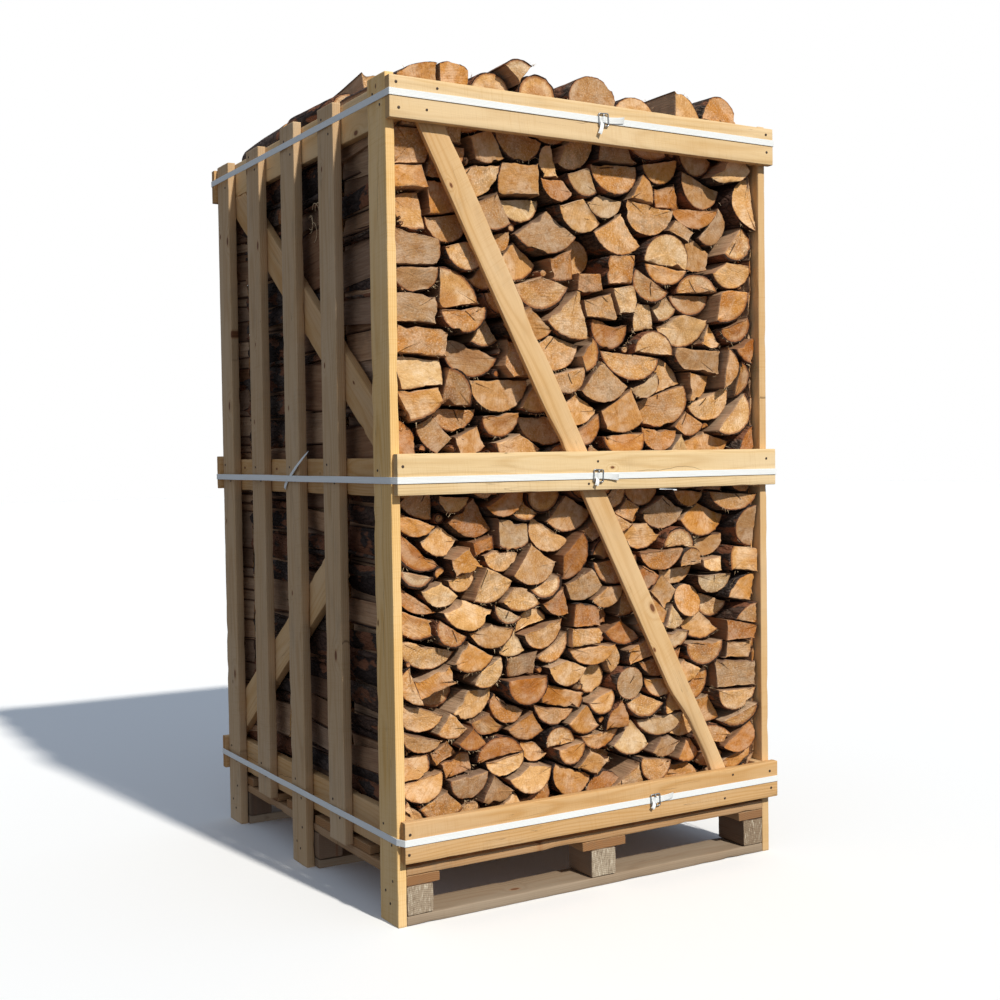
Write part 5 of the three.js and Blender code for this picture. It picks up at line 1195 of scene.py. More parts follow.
    (98.9, 0.969, 258.1, 1767.2, 8.1089, 145.4, 3.7, -145.4, 5.4),
    (59.4, 0.911, -446.2, 1713.3, 7.1343, -83.5, -7.7),
    (81.3, 0.91, -255.2, 1749.2, 7.9463, 145.9, 6.1, -145.9, 1.4),
    (76.4, 0.926, -78.7, 1763.3, 7.8522, 137.8, 3.6, -137.8, -2.2),
    (99.2, 0.935, -346.7, 1784.6, 8.0943, 144.4, -4.8, -144.4, 2.7),
    (70.1, 0.979, 439.3, 1757.2, 5.3596, -87.8, -13.9),
    (59.8, 0.935, -173.7, 1795.9, 9.2339, -94.7, 9.4),
    (61.1, 0.946, -455.4, 1774.7, -0.7482, 137.1, 4.6, -137.1, -4.3),
    (56.5, 0.92, 103, 1790.7, -0.0483, -94, -2.1),
    (59.5, 0.979, 0.5, 1787.7, 7.3792, 165.5, 1.2, -165.5, 2.4),
    (95.5, 0.919, 180.3, 1813.6, 1.4599, 126.7, 5.9, -126.7, -1.5),
    (61.6, 0.945, 328.7, 1822.6, 5.7049, -83.1, -1.2),
    (122.1, 0.901, -120, 1846.6, 7.5099, 100.5, 69.5, -98.8, 60.3, 184, -42.5),
    (75.4, 0.979, -262.3, 1830.2, 3.8732, 136.9, 1.3, -136.9, 1.1, 180, -12.7),
    (57.4, 0.959, 44.3, 1832.7, 7.7665, 153, 4.8, -153, 2.2),
    (85.7, 0.915, 113.6, 1868.4, 7.7426, 139.6, 3.9, -139.6, -3.3),
    (54.5, 0.985, 234.8, 1864.2, 9.1568, -95.3, -5.9),
    (48.3, 0.974, 400, 1833.6, 2.5997, -91.6, -0.8),
    (106, 1, -367.3, 1876.8, 0.03, 180, 0, -90, 0, 0, 68),
    (36.5, 1, -443, 1841.1, 0.3),
    (10, 1, 469, 1311.5, 0),
    (10, 1, 471.1, 1226.7, 0, 132.9, 3.6),
    (10, 1, -470, 1644.5, 0),
    (9, 1, -471, 779, 0),
    (8.5, 1, 471, 1526.5, 0),
    (8, 1, -471, 287.8, 0, 244.8, 1.7),
    (7.9, 1, 444.9, 638.7, 0, 306.1, 1.2),
    (7.6, 1, 471.5, 502, 0),
    (7.3, 1, -472.5, 510, 0),
    (7, 1, -473, 964.5, 0),
    (6.9, 1, 472.3, 1431.7, 0, 74.7, 4.2),
    (6.7, 1, 473.9, 213.5, 0, 225.9, 1.5),
    (6.6, 1, 473.4, 704, 0, 179, 3.7),
    (6.6, 1, -473, 1809, 0),
    (6.3, 1, 471.7, 159.9, 0, 311.8, 1.4),
    (16.3, 1, 288, 1119.6, 0, 211.3, 5.3),
    (6, 1, -475, 741.4, 0, 319.3, 2.4),
    (6, 1, 473.5, 1690.5, 0),
    (14.7, 1, 121, 951.5, 0),
    (14.1, 1, 175.3, 1128.6, 0, 322.1, 4.9),
    (13.5, 1, -392.2, 232.5, 0, 317.3, 2.5),
    (13.1, 1, 354.5, 1330.5, 0),
    (13, 1, -46.5, 1128, 0),
    (12.8, 1, 365, 983.5, 0),
    (12.6, 1, 389.9, 1674.8, 0, 86, 7.3),
    (12.5, 1, -390.5, 987.9, 0, 1.9, 6.6),
    (7.5, 1, -472.5, 1626.5, 0),
    (6.2, 1, -453.5, 1656.5, 0),
]
LOGS["back"] = [
    (49.4, 0.948, 377, 148.8, 6.4045, -97, -5.6),
    (54.3, 0.989, -288.1, 152.2, -0.1142, -83.5, -4.5),
    (65.6, 0.903, 194, 159.3, -0.0068, -89.6, 5.8),
    (42, 0.962, -78.9, 148.4, 0.0745, -94.3, -0.4),
    (42.7, 0.929, 35.7, 145.7, 6.3758, -95.3, -5.7),
    (65.5, 0.954, -415.5, 152.8, 6.4159, -97.6, -11.4),
    (54, 0.941, -181.1, 158.3, -0.0161, -89.1, 11.2),
    (103.3, 0.948, 96.4, 188.4, 7.9709, 139.5, -3.3, -139.5, -4.6),
    (79.7, 0.928, 443.3, 175.5, 3.9639, 135.4, 2.1, -135.4, 3.5),
    (70.1, 0.962, 294.4, 152, 7.6861, 97.3, 20.5, -90.3, 27, 189.6, -26.9),
    (87.1, 0.923, -23.3, 185.2, 5.6822, 97.9, 40.8, -101.1, 19.2, 178.2, -5.7),
    (65.5, 0.947, -349.6, 181.1, 7.8931, 127, 0.5, -127, 6.7),
    (79.4, 0.973, 336.2, 191.9, 7.255, 122.2, 2.2, -122.2, 0.9, 180, -22.6),
    (68.7, 0.967, -113.7, 184.8, 6.8042, 80.6, 24, -83.2, 30.8, 187.2, -10.5),
    (75.8, 0.916, -247.3, 193.8, 4.3347, 80.4, 44.1, -89.4, 25.8, 183.6, -21.2, -4.8, 67),
    (53.1, 0.982, 259.9, 198.7, 1.3867, 166.1, -3.6, -166.1, 0),
    (86.9, 0.966, -415.6, 212.8, 8.2325, 180, -29.8),
    (59.5, 0.95, -169.3, 215.6, 4.5661, 94, 35.4, -99.1, 24.5, 171.1, -15.8),
    (75.1, 0.998, 189.3, 230.1, -4.7472, 139.3, -1.1, -139.3, -3.6, 180, -15.7),
    (81.5, 0.924, 438, 238.1, -1.516, 89.8, 45.4, -96.9, 31.2, 178.9, -13.2, -1.4, 68.3),
    (68.7, 0.95, -302.9, 217.7, 3.7954, 129.5, -4.6, -129.5, -3.6, 180, -15.5),
    (61.5, 0.95, 28, 250.2, 3.0523, -84.5, 11.4),
    (52.6, 0.968, -81.2, 235.6, 6.5299, 152.5, 6.4, -152.5, 1.7),
    (74.6, 0.915, -226.2, 231.3, 1.4307, 83.1, 18.6, -99.9, 35.6, 170, -20.2, 0.6, 56.6),
    (94, 0.918, 366.5, 243.4, 8.3469, 122, 7.4, -122, -3.3),
    (87, 0.981, 280.4, 251, 10.6818, 80.5, 50.4, -99.4, 26, 183.9, -21.9, -14.6, 72.4),
    (41.7, 0.928, -148.6, 251.6, -0.1703, -97.5, 8.9),
    (49.7, 0.908, -441, 256.2, 6.7232, -88.9, -5.2),
    (58.8, 0.967, -311.6, 268.8, 6.2591, -90.6, 3.8),
    (67, 0.978, 118.3, 259.9, 5.2078, 126.9, 2.9, -126.9, 3.7, 180, -8.3),
    (71.4, 0.945, -224.7, 269.3, 0.0717, 78.9, 21.3, -101.5, 16.1, 181.8, -4.5, 12.5, 63.8),
    (40.2, 0.952, 438.5, 281.1, -0.0705, -83.9, -2.4),
    (80.3, 0.924, 215, 285.8, 9.1423, 91.5, 31, -83.9, 31.7, 168.8, -8.2),
    (56, 0.958, 22.2, 299.8, -0.0724, -85.5, -6.9),
    (46.1, 0.947, 315.2, 289.8, 7.9265, 161.8, -3.1, -161.8, 4.4),
    (59.3, 0.988, -172.7, 305.8, 6.1818, -91.2, -2.5),
    (47.5, 0.929, -57.4, 288, 0.2238, 157.2, 3.8, -157.2, 0.4),
    (80.8, 0.95, -392.5, 299.1, 7.4929, 95.8, 39.1, -98.5, 25.5, 174.3, -26.7),
    (86, 0.91, 147, 309, 1.0948, 95.1, 39.2, -86.1, 27.8, 186.5, -28.8),
    (121.8, 0.966, -291.8, 335.7, 7.6555, 93.5, 66.8, -93.2, 54.2, 180.2, -47),
    (92.3, 0.947, 390.7, 311.9, 1.6765, 98.1, 56, -81.9, 31.4, 189.2, -31.4, -0.9, 70.6),
    (55.7, 0.917, 265.2, 337.6, -0.1443, -83.3, 4),
    (68.9, 0.954, -23.4, 348.7, 7.9535, 153.2, 8.8, -153.2, 3.1),
    (93.3, 0.981, 82.3, 344.3, 3.7553, 126.9, 1.7, -126.9, 3.1),
    (61.1, 0.924, -119.3, 334.4, 5.4367, -84, -9.6),
    (59.3, 0.942, 377.8, 359, 0.0715, -88.9, 6.5),
    (96.5, 0.932, -402.2, 368.5, -4.8537, 96.2, 28.8, -92.9, 48.2, 192.2, -12.2),
    (82.9, 0.952, 179.2, 359.9, 7.35, 93.3, 44.2, -97.2, 25.9, 186.5, -21.2),
    (69.7, 0.972, -210.6, 369.9, 4.0789, 130.4, 2, -130.4, -4.3),
    (82.6, 1, -76.4, 390.5, 8.3502, 99, 46.7, -101.9, 24.5, 188.9, -14.4, -13.6, 61.4),
    (51.5, 0.97, 278.8, 392.8, 0.0507, -97.1, 7.4),
    (78.9, 0.927, -307, 405.8, 7.8153, 145.1, 0, -145.1, 2.3, 180, -17.6),
    (66.8, 0.927, 61.5, 404, 0.0613, -95.2, -7.4),
    (78.5, 0.972, 460.9, 345.3, 6.5371, 90.7, 37.8, -92.3, 37.7, 170.8, -26.3, -14.7, 63.4),
    (51.6, 0.983, 431.8, 401.6, 7.703, 156.1, -1.9, -156.1, -1.6),
    (80.2, 0.935, -156, 395.2, 0.0471, 87.1, 39.3, -82.1, 20.1, 179.6, -20.4),
    (54.8, 0.971, 366.5, 420.9, 2.0517, 168.9, 0.8, -168.9, -2.3),
    (84.4, 0.997, 193.6, 413.1, 7.6941, 99.8, 42.6, -87.1, 27.6, 170.9, -19.9, 3, 68.6),
    (65.4, 0.923, -228.1, 428.5, 4.1272, 144.3, 6.3, -144.3, -3.9),
    (49.2, 0.982, -85.3, 438.5, 6.5482, -90.4, 4.3),
    (101.9, 0.953, -465.6, 321.6, 4.6134, 84.4, 27.8, -84.5, 10, 191.6, -9),
    (53.6, 0.969, -428.8, 433, 6.4126, -91.1, 0.1),
    (84.6, 0.907, 262.4, 449.6, 7.7195, 180, -32.8),
    (41.6, 0.98, 126.2, 423.9, 5.2689, -84.9, 1.2),
    (50.8, 0.966, -327.5, 460.3, 0.2698, -93.3, 7.5),
    (81.9, 0.926, 446.5, 458.7, 3.9327, 135.3, -2.6, -135.3, -3),
    (71.9, 0.904, 2.5, 451.4, 7.6193, 142, 5.4, -142, 0.1),
    (78.7, 0.965, -159.5, 444.4, 8.039, 86.5, 30.9, -92.6, 24.2, 169.2, -28.9),
    (47.1, 0.932, 165, 467.7, 9.4966, -87, 4.4),
    (69.9, 0.929, 334.5, 464.4, 2.2464, 88, 35.3, -86.7, 14.9, 170.7, -7.3, -5.6, 59.9),
    (68, 0.992, -229.7, 477.8, -1.6383, 96.9, 38.6, -100.9, 28.5, 188.3, -6.6, 6, 50.9),
    (69.5, 0.963, -395.3, 492.5, -4.368, 153.8, -0.8, -153.8, 4.1),
    (83.4, 0.986, 72.4, 482.7, 1.5893, 133.4, -0.5, -133.4, -4.5),
    (54.9, 0.946, -76.9, 494.6, 6.4157, -86.8, 3.2),
    (54.5, 0.937, 263, 508.5, 0.1639, -95.5, 12.4),
    (66.8, 0.994, 376.3, 491, 3.9532, 133.7, -3.2, -133.7, 1.9),
    (86.2, 0.98, 167, 517, 7.9778, 131.5, 6.9, -131.5, 1.1, 180, -28.7),
    (79.3, 0.939, -159.7, 502.3, 0.0989, 79.8, 43.3, -84.6, 33.8, 171.9, -15.6),
    (59.7, 0.909, -312.4, 525.4, 5.6974, -86.2, 7.8),
    (74.6, 0.976, 441.9, 514.6, 7.8061, 98.2, 35.7, -89.3, 33.9, 182.7, -25.4),
    (81.7, 0.93, 3.4, 530.2, 7.8462, 144.7, -2, -144.7, 3.7),
    (96.5, 0.959, -232.7, 539.4, -1.4151, 80.7, 47.2, -78.8, 46.2, 175.6, -24.5),
    (63.3, 0.971, -454.2, 509.9, 2.739, 180, -24.2),
    (80.6, 0.918, 338.2, 554.6, 1.2679, 160.9, 3, -160.9, -3.1),
    (86.8, 0.965, 95.8, 554.9, 7.7428, 134.4, 5.7, -134.4, 1, 180, -9),
    (48.4, 0.945, -91.6, 550.7, 6.8054, -90.3, 8),
    (99.6, 0.917, 444.7, 561.2, 4.9041, 82.3, 47.7, -79.6, 45.1, 188.6, -37.1, -7.3, 74.8),
    (45.5, 0.922, 207.6, 565.7, -0.0828, -88.7, 5.3),
    (61.6, 0.986, -158.8, 560, 6.4067, 83.6, 27.4, -101.6, 16.8, 188.8, -5.9),
    (76.8, 0.928, -391.4, 561.5, -0.743, 124.8, -2.6, -124.8, -1.9, 180, -14.8),
    (77.9, 0.922, -276.9, 606.4, -0.0124, -84.8, 14.9),
    (77.5, 0.996, 1.1, 593, 7.8363, 141.7, 4.4, -141.7, 3.3, 180, -20.9),
    (44.5, 0.906, -452, 574.2, 2.2275, 164.5, 6.2, -164.5, 0),
    (66.5, 0.999, 410.7, 611.6, 3.2483, -88.7, 2.2),
    (60.2, 0.964, 158.8, 605.9, 1.6389, 156.2, 5.6, -156.2, -0.1),
    (65.6, 0.909, -126.9, 613.4, 0.1179, -96.1, 10.1),
    (56.9, 0.995, 263.9, 611.7, 3.1286, -88.2, 6.5),
    (54, 0.962, -392.5, 623.6, 3.2419, -97.9, 9.6),
    (37.3, 0.975, 81.4, 615.6, 3.1184, -88, 8.9),
    (99.2, 0.977, -33.8, 637.4, -1.3538, 87.2, 61.2, -90.7, 18.7, 170.7, -27.9, 9.8, 74.6),
    (55.8, 0.993, 419.5, 665, 6.3724, -87.7, -1.8),
    (73.7, 0.971, 121.9, 659.7, -0.1059, -83.2, -14.2),
    (61.3, 0.94, 254.2, 667.3, 0.0447, -91.5, 9.3),
    (67.2, 0.967, -195.6, 654.2, 7.7721, 136.8, 4.3, -136.8, -0.9),
    (60.4, 0.983, -382.6, 672.7, -0.158, -83.1, -5),
    (86, 0.932, -67.5, 677.3, -4.6569, 180, -35.2),
    (56.7, 0.934, 30.7, 656.2, -0.7481, 129.3, 5.8, -129.3, 0.1),
    (87.2, 0.912, -288.1, 674.3, 0.0754, 86.8, 25.2, -87.1, 17.9, 186.6, -5.2),
    (92.4, 0.966, 340.8, 679.5, -0.6097, 122.7, 5.1, -122.7, -3.2),
    (44.7, 0.915, 35.3, 702.7, -0.0081, -93.2, 10.4),
    (94, 0.965, -462.2, 650.9, 2.9345, 101.1, 50.1, -78.4, 37.3, 180.6, -35.2, 11.9, 71.9),
    (76.9, 0.901, -200.1, 711.6, 6.0705, -88.8, -5.9),
    (62.4, 0.939, 183.3, 704.1, 7.9768, 151.3, -4.2, -151.3, -2.2),
    (56.2, 0.956, -329.9, 718.4, 1.3562, 165.9, 5.7, -165.9, 0.6),
    (77.4, 0.996, 416.8, 722.7, 7.5581, 180, -25.5),
    (67.9, 0.933, -428.3, 728.2, 8.2317, 161.3, 3.3, -161.3, 2.6),
    (64.5, 0.981, 119.2, 722.2, 5.365, 143.7, -4.4, -143.7, -0.6, 180, -15.2),
    (51.4, 0.914, -56.2, 730, 6.2393, -93.8, 6.9),
    (62, 0.963, 256.5, 738.9, 2.9116, -83.7, -1.5),
    (85.9, 0.945, 22, 775.7, 1.391, 166.9, 3.9, -166.9, 7.8),
    (61.5, 0.933, -273.1, 756.3, 1.5513, 144.5, 5.8, -144.5, -0.2),
    (48.6, 0.995, -144.2, 748.8, 5.4852, -83, 3.1),
    (51.2, 0.969, 433.9, 774.3, 5.9394, -86.7, 6.2),
    (54.8, 0.953, -354.1, 784.5, 3.3034, -97.7, 14.9),
    (103.3, 0.996, 267.4, 780.9, 1.6372, 93, 63.8, -80.7, 41.1, 169.3, -40.5, -10.2, 78.8),
    (96.1, 0.959, 126.8, 780.6, -3.1333, 92.1, 47.5, -83.8, 13.3, 182.1, -18.7),
    (55.4, 0.977, 346.4, 762.1, 5.4564, 137.6, 3.8, -137.6, 0.8),
    (75.6, 0.999, -99.5, 782.6, 5.3335, 100.9, 36.4, -85.7, 14, 175.4, -15.1),
    (73.7, 0.913, -209.9, 789.4, 7.9389, 136.4, -2, -136.4, -5.7),
    (67.5, 0.912, -443.7, 796.8, 8.8372, 151.5, 1, -151.5, 1.9),
    (45.1, 0.978, 184.5, 777, 1.1995, -82.8, -9.4),
    (117.7, 0.92, 321.5, 815.1, 1.5406, 78.9, 70.4, -97.5, 37.9, 175.4, -47, -4.1, 87.8),
    (80.6, 0.912, -265.5, 825.2, 1.8908, 84.9, 43, -98.7, 25.6, 189.2, -21.6),
    (63.7, 0.932, -141.3, 817.1, 1.9175, 101.4, 26, -92.3, 23.5, 193.5, -10.3, -13.4, 52.6),
    (64.5, 0.922, 76.5, 834.5, 7.6212, 159.3, -1.4, -159.3, 1.6),
    (84.9, 0.907, -58.1, 832.1, 7.8104, 139, -4.2, -139, -4.2),
    (53.1, 0.925, 426.9, 825.2, 0.1245, -94.9, -5.5),
    (46.7, 0.934, -362.1, 836.2, 0.0005, -88.4, 9),
    (91.1, 0.942, 172.2, 835.9, 8.0829, 101.5, 44.6, -81, 43.5, 171.6, -30.6, -10.3, 77),
    (64, 0.945, -193.3, 850.4, -0.9004, 137.8, -0.4, -137.8, 0.9),
    (49.1, 0.94, 337.4, 852, 6.0953, -85, -3.4),
    (58.9, 0.995, 234.1, 862.5, 5.4238, -95.6, -7.8),
    (39.9, 0.989, -442.9, 858.5, 6.5219, -90.4, 9.9),
    (74.7, 0.935, 6.5, 875.6, 1.6021, 137.6, 2.7, -137.6, 3.4),
    (44.4, 0.908, 436.8, 868.4, 6.3401, -95.9, 2.3),
    (54.4, 0.927, -107.8, 878.1, 6.4746, -82.3, 5.3),
    (83.3, 0.911, -306.3, 879.6, 7.8144, 144, -6.7, -144, -2.9),
    (39.3, 0.96, 122.2, 877.6, 3.2971, -93.5, 6.1),
    (109.8, 0.994, 294.7, 899.3, 8.4317, 81.3, 50.9, -89.7, 42.3, 179.7, -41.4),
    (75.4, 0.984, -171.2, 914.5, -4.4071, 158.8, 2.1, -158.8, -2.6),
    (103.1, 0.93, -399.1, 921.8, 8.0894, 138.5, 0.4, -138.5, 6.1),
    (81, 0.98, 380.8, 910.5, 7.5668, 139.8, 1.8, -139.8, -3.7),
    (70.8, 0.979, 74.3, 925.8, 1.4188, 165.9, 6.3, -165.9, 2.2),
    (52.3, 0.977, -48.1, 922.7, 4.6619, 158.8, -0.4, -158.8, 5.5),
    (90.5, 0.956, 218.3, 945, -4.3076, 156.7, -3.1, -156.7, 8.6),
    (47.6, 0.942, -267.8, 926.4, 5.9352, -96.4, 8.8),
    (133.2, 0.932, 361.6, 987.2, -2.9479, 78.6, 55.3, -99.5, 32.5, 176.9, -12.1),
    (58.1, 0.967, 453.4, 919.9, 6.7432, 142.9, 3.7, -142.9, -4, 180, -16.2),
    (78.3, 0.918, -101.8, 977.6, 1.4762, 156.3, 5.2, -156.3, 6.2),
    (89.5, 0.98, -210.6, 983.4, 5.5548, 100.5, 41.8, -95.9, 40.6, 186.1, -13.2),
    (122.9, 0.936, 3.6, 996.4, 7.5354, 135.5, -6.6, -135.5, -0.5, 180, -11.3),
    (90.5, 0.901, 133.7, 980.7, 1.6555, 125.5, 1.3, -125.5, 8.5),
    (77.3, 0.982, -318.5, 998.3, 3.2398, -95.6, 6.3),
    (81.6, 0.93, -437.7, 1005.1, 5.8197, 157.2, -0.8, -157.2, -0.8),
    (76.1, 0.961, 217.4, 1025.6, 1.331, 163.9, 2.6, -163.9, -1.1),
    (53.3, 0.958, 459.9, 992.8, 7.7239, -82.5, -3.4),
    (66.3, 0.96, -146.6, 1044.1, 7.6347, 162.3, 6.7, -162.3, -2.7),
    (66.2, 0.972, 89, 1039.1, 1.4316, 153, 4.8, -153, -2.5),
    (62, 0.918, 356.6, 1056.9, 6.3314, -91.2, 5.6),
    (70.5, 0.905, -324.4, 1061, 0.1315, -97.5, 1.3),
    (79.9, 0.969, -19.5, 1087.4, 6.5226, -92.7, 9.1),
    (71.5, 0.987, 157.8, 1086.5, 7.784, 157.3, 8.3, -157.3, 0.5),
    (88.8, 0.957, -226.1, 1077.2, 7.7296, 130.6, 4.6, -130.6, -2.2),
    (88.7, 0.999, 272.7, 1080.5, 3.6905, 126.9, 4.1, -126.9, -4.8),
    (90.1, 0.979, 441.4, 1082.7, 5.8931, 130.5, 5.9, -130.5, -2.2),
    (69.7, 0.964, -419.3, 1104, 6.7016, -95.3, 2.6),
    (74.3, 0.996, -151.3, 1122.9, 5.8823, -91.9, 6),
    (91.4, 0.991, 354.1, 1120.7, -0.086, 95.8, 18.8, -79.4, 40.9, 189.1, -27.3),
    (71.6, 0.949, 77.7, 1108.6, -0.6074, 122.4, 4.3, -122.4, -2.9),
    (77.1, 0.965, -301.6, 1132, 3.1388, -93.5, -13.7),
    (82, 0.917, 243.9, 1153.1, -0.0124, -94.8, 12.8),
    (103.1, 0.963, 432.6, 1143.2, 8.1905, 101.3, 42.7, -100.1, 18.1, 178.9, -37.5, -10.6, 76.7),
    (72, 0.946, 31.3, 1170.2, 0.0747, -96.7, 11.8),
    (68.4, 0.908, -422.4, 1171, 6.4951, -82.5, -4.6),
    (65.6, 0.923, -275.3, 1187.1, -0.0492, -90.9, 12.3),
    (94.2, 0.982, -81.1, 1170.9, 7.9592, 126.7, 1.7, -126.7, 3.8),
    (80.6, 0.937, 395, 1192.9, 6.3804, -86.9, 4.4),
    (70.8, 0.967, 148.6, 1187.2, 7.052, -85.2, 0.5),
    (87.2, 0.921, -178.1, 1203.7, 6.2353, 88.5, 35.7, -83.4, 35.7, 188.2, -10.6),
    (111.2, 0.913, 299.6, 1237.8, 1.7264, 141, -3.8, -141, -6.5),
    (71.6, 0.929, -355.2, 1220.4, 1.7655, 140.5, -4.8, -140.5, -3),
    (84.4, 0.976, -28.3, 1242.2, -4.5531, 166.6, -4.4, -166.6, 1),
    (55.6, 0.937, -435.4, 1235, 6.9366, -93.8, 8),
    (83.3, 0.916, 88.5, 1234.7, 9.9427, 128.5, 1, -128.5, -1.2),
    (66, 0.945, -280.9, 1261.8, 5.9724, -87.8, 4.6),
    (61.9, 1, -158.1, 1267.8, -0.092, -89, 15.5),
    (104.4, 0.989, 189, 1274.8, -4.6597, 131.8, 3.8, -131.8, 10, 180, -31.1),
    (56.1, 0.97, 432.9, 1256.2, 5.8141, -85.7, -3.1),
    (82.8, 0.966, -383.2, 1294.7, 1.1624, 78.1, 49.3, -96.7, 38.2, 173.8, -16.7),
    (129.3, 0.988, -66.2, 1298.5, 0.2709, 79.1, 39.8, -78.8, 27.8, 193.3, -21.5),
    (59.7, 0.988, 368.5, 1298.6, 1.5841, 150, 4.7, -150, 1.1),
    (49.6, 0.986, 57.2, 1293.9, 6.1334, -90.2, 3.8),
    (78.4, 0.995, 282.1, 1312.4, -4.5608, 135.1, -0.6, -135.1, 2.4, 180, -16.8),
    (77.3, 0.993, -229.7, 1321.5, 7.9417, 145, 4.1, -145, 4.4),
    (81.9, 0.901, 121.3, 1332.2, 7.6357, 143.9, 3, -143.9, 0.6),
    (76.5, 0.934, 435.1, 1319, 7.2054, 180, -26.1),
    (75.7, 0.912, -80.7, 1344.5, 6.2611, -84.1, -5.7),
    (54.9, 0.983, -444.9, 1318.3, 7.3309, -95.3, -1),
    (90.7, 0.939, -327.5, 1347.1, 7.852, 135.5, 1.1, -135.5, 6.6),
    (83.8, 0.927, 211.2, 1350.8, 7.6429, 136.1, 4.8, -136.1, -1.3, 180, -11.3),
    (77.6, 0.975, 28.8, 1356.3, -0.8067, 133.4, 4.6, -133.4, -0.9),
    (75.7, 0.943, 340, 1365.1, 8.006, 145.4, 1.1, -145.4, 2.3),
    (77.6, 0.94, -169, 1375, 8.0671, 141.1, -3, -141.1, 5.4),
    (55.1, 0.937, 436.1, 1382.7, 5.774, -93.7, 5.6),
    (78.2, 0.968, -413.8, 1396.6, 8.1966, 167.4, -0.5, -167.4, 6.4),
    (106.7, 0.915, -255.3, 1412.7, 1.6384, 142, 3.8, -142, -4.6),
    (69.8, 0.94, 137.2, 1396.2, 6.3848, -86, -14),
    (76.8, 0.993, -82.4, 1416.5, 1.2531, 168.1, 3.7, -168.1, -1.9),
    (75.4, 0.904, 270.7, 1399.5, 7.9395, 139.5, 6.4, -139.5, -1.8),
    (67.6, 0.963, 55, 1419.6, -4.4205, 160.4, -2.8, -160.4, 0.5),
    (41.8, 0.914, 357.4, 1436.9, 2.8227),
    (75.5, 0.96, 211.1, 1448.5, 7.9011, 162.1, -1, -162.1, -4.3),
    (74.1, 0.988, 432.3, 1454.8, 7.1458, 151, 1.3, -151, 0.2),
    (67.7, 0.947, -340.1, 1447.7, 1.7109, 135.5, 3.4, -135.5, 2.2),
    (48.5, 0.982, -23.8, 1457.6, 5.6388, -94.1, 11.6),
    (92.5, 0.99, -165, 1472.8, 1.566, 140.2, 4.3, -140.2, -1.9),
    (91.8, 0.996, 122.3, 1475.9, 8.0874, 141.2, -2.5, -141.2, -3.5),
    (73.5, 0.965, -422.6, 1470.7, 6.6855, -85.9, -6.4),
    (94.6, 0.954, 297.5, 1483.3, 3.5473, 123.7, 3, -123.7, 0.3),
    (86.7, 0.998, -269.3, 1494, 7.9795, 135, -2, -135, -0.1, 180, -17.4),
    (86.4, 0.996, 30.7, 1496.1, 1.5357, 131, -4.7, -131, 3.1),
    (56.6, 0.937, -82.6, 1512.4, 7.7433, 154.3, 4.9, -154.3, 6.3),
    (55.3, 0.923, 211.7, 1511.7, 1.181, 157.8, 1.1, -157.8, 1.3),
    (53, 0.932, 432.1, 1520.5, 5.8884, -85.2, 10.5),
    (72, 0.921, -345.9, 1533.2, 7.9014, 157.2, 1.8, -157.2, -1.6),
    (52.6, 0.918, -202.9, 1533.6, 1.3822, 164.6, -0.9, -164.6, -0.5),
    (75.4, 0.92, -451.2, 1526.3, 0.2241, 82.5, 40.8, -78.8, 26.2, 167.2, -8.1),
    (87.1, 0.934, 91, 1551.4, 1.5125, 159.8, -2.6, -159.8, 4.5),
    (102.7, 0.934, 338, 1535.7, 2.9903, 88.3, 27, -84.6, 30, 173.3, -14.7),
    (100, 0.939, -25.5, 1560.4, 8.0982, 123.9, 3.7, -123.9, 6.2, 180, -24.5),
    (124.3, 0.968, 242.6, 1557.6, 1.4761, 91.7, 68.7, -97.8, 31.3, 169.6, -44.6, 2, 97.2),
    (95.9, 0.949, -137.5, 1571.2, 1.6388, 139.4, -2.8, -139.4, 0.8),
    (86.4, 0.961, -269.2, 1568.5, -4.6931, 129.7, -0.7, -129.7, 4.6, 180, -10.5),
    (73.4, 0.944, 408, 1587.6, 6.1647, -86.2, 3.3),
    (86.8, 0.98, -404.7, 1590.7, 8.0111, 154.8, -4.3, -154.8, 0.8),
    (54.5, 0.925, 236.8, 1608.9, 6.1587, -86.3, 11),
    (47, 0.951, 143.2, 1602.1, 5.6277, -89, 11.9),
    (77.5, 0.97, -8.3, 1634.1, -0.0268, -92.6, 10.6),
    (65.3, 0.99, -207.2, 1617.4, 7.8149, 150.8, 5.9, -150.8, -3.2),
    (66.9, 0.953, -303, 1631.1, 11.1776, 158.6, 1.1, -158.6, 3.8),
    (108.8, 0.904, 323.2, 1633.5, 7.669, 126.4, 8.7, -126.4, -4.1),
    (93.8, 0.979, -119.4, 1661.6, 8.1404, 137, 6.1, -137, 7),
    (66.1, 0.961, -419.2, 1658.6, 6.371, -83.3, 6),
    (79.8, 0.907, 176.7, 1666, 7.9012, 154.1, 3.8, -154.1, 5),
    (85.8, 0.995, 448.1, 1654, 8.4561, 124.5, 6.1, -124.5, 1.1),
    (53.3, 0.908, 72.4, 1660.9, 5.3401, -95.2, 2.1),
    (58.3, 0.952, -267, 1681.8, 6.0137, -85.4, 2),
    (115, 0.987, 365, 1703.5, -0.2115, 95.5, 35.6, -100.9, 16.4, 188, -10.4),
    (59.3, 0.946, -18.3, 1713.5, 3.418, -93.2, -3.2),
    (111.1, 0.909, 261.8, 1716.7, 8.2421, 123.8, 5.7, -123.8, 8.8, 180, -15),
    (86.5, 0.918, -190.6, 1708.2, 7.6859, 130.8, 6.2, -130.8, 0.8),
    (107.1, 0.961, 110.4, 1727.9, 1.5054, 139.5, -5.2, -139.5, -5.6),
    (101.4, 0.955, -349.4, 1722.3, 8.0702, 133.9, 4.1, -133.9, -2.1),
    (73.3, 0.92, -53.3, 1761, 0.0898, -82.5, 6.6),
    (63.9, 0.939, 440.9, 1752.9, 4.7556, -85.8, 8.3),
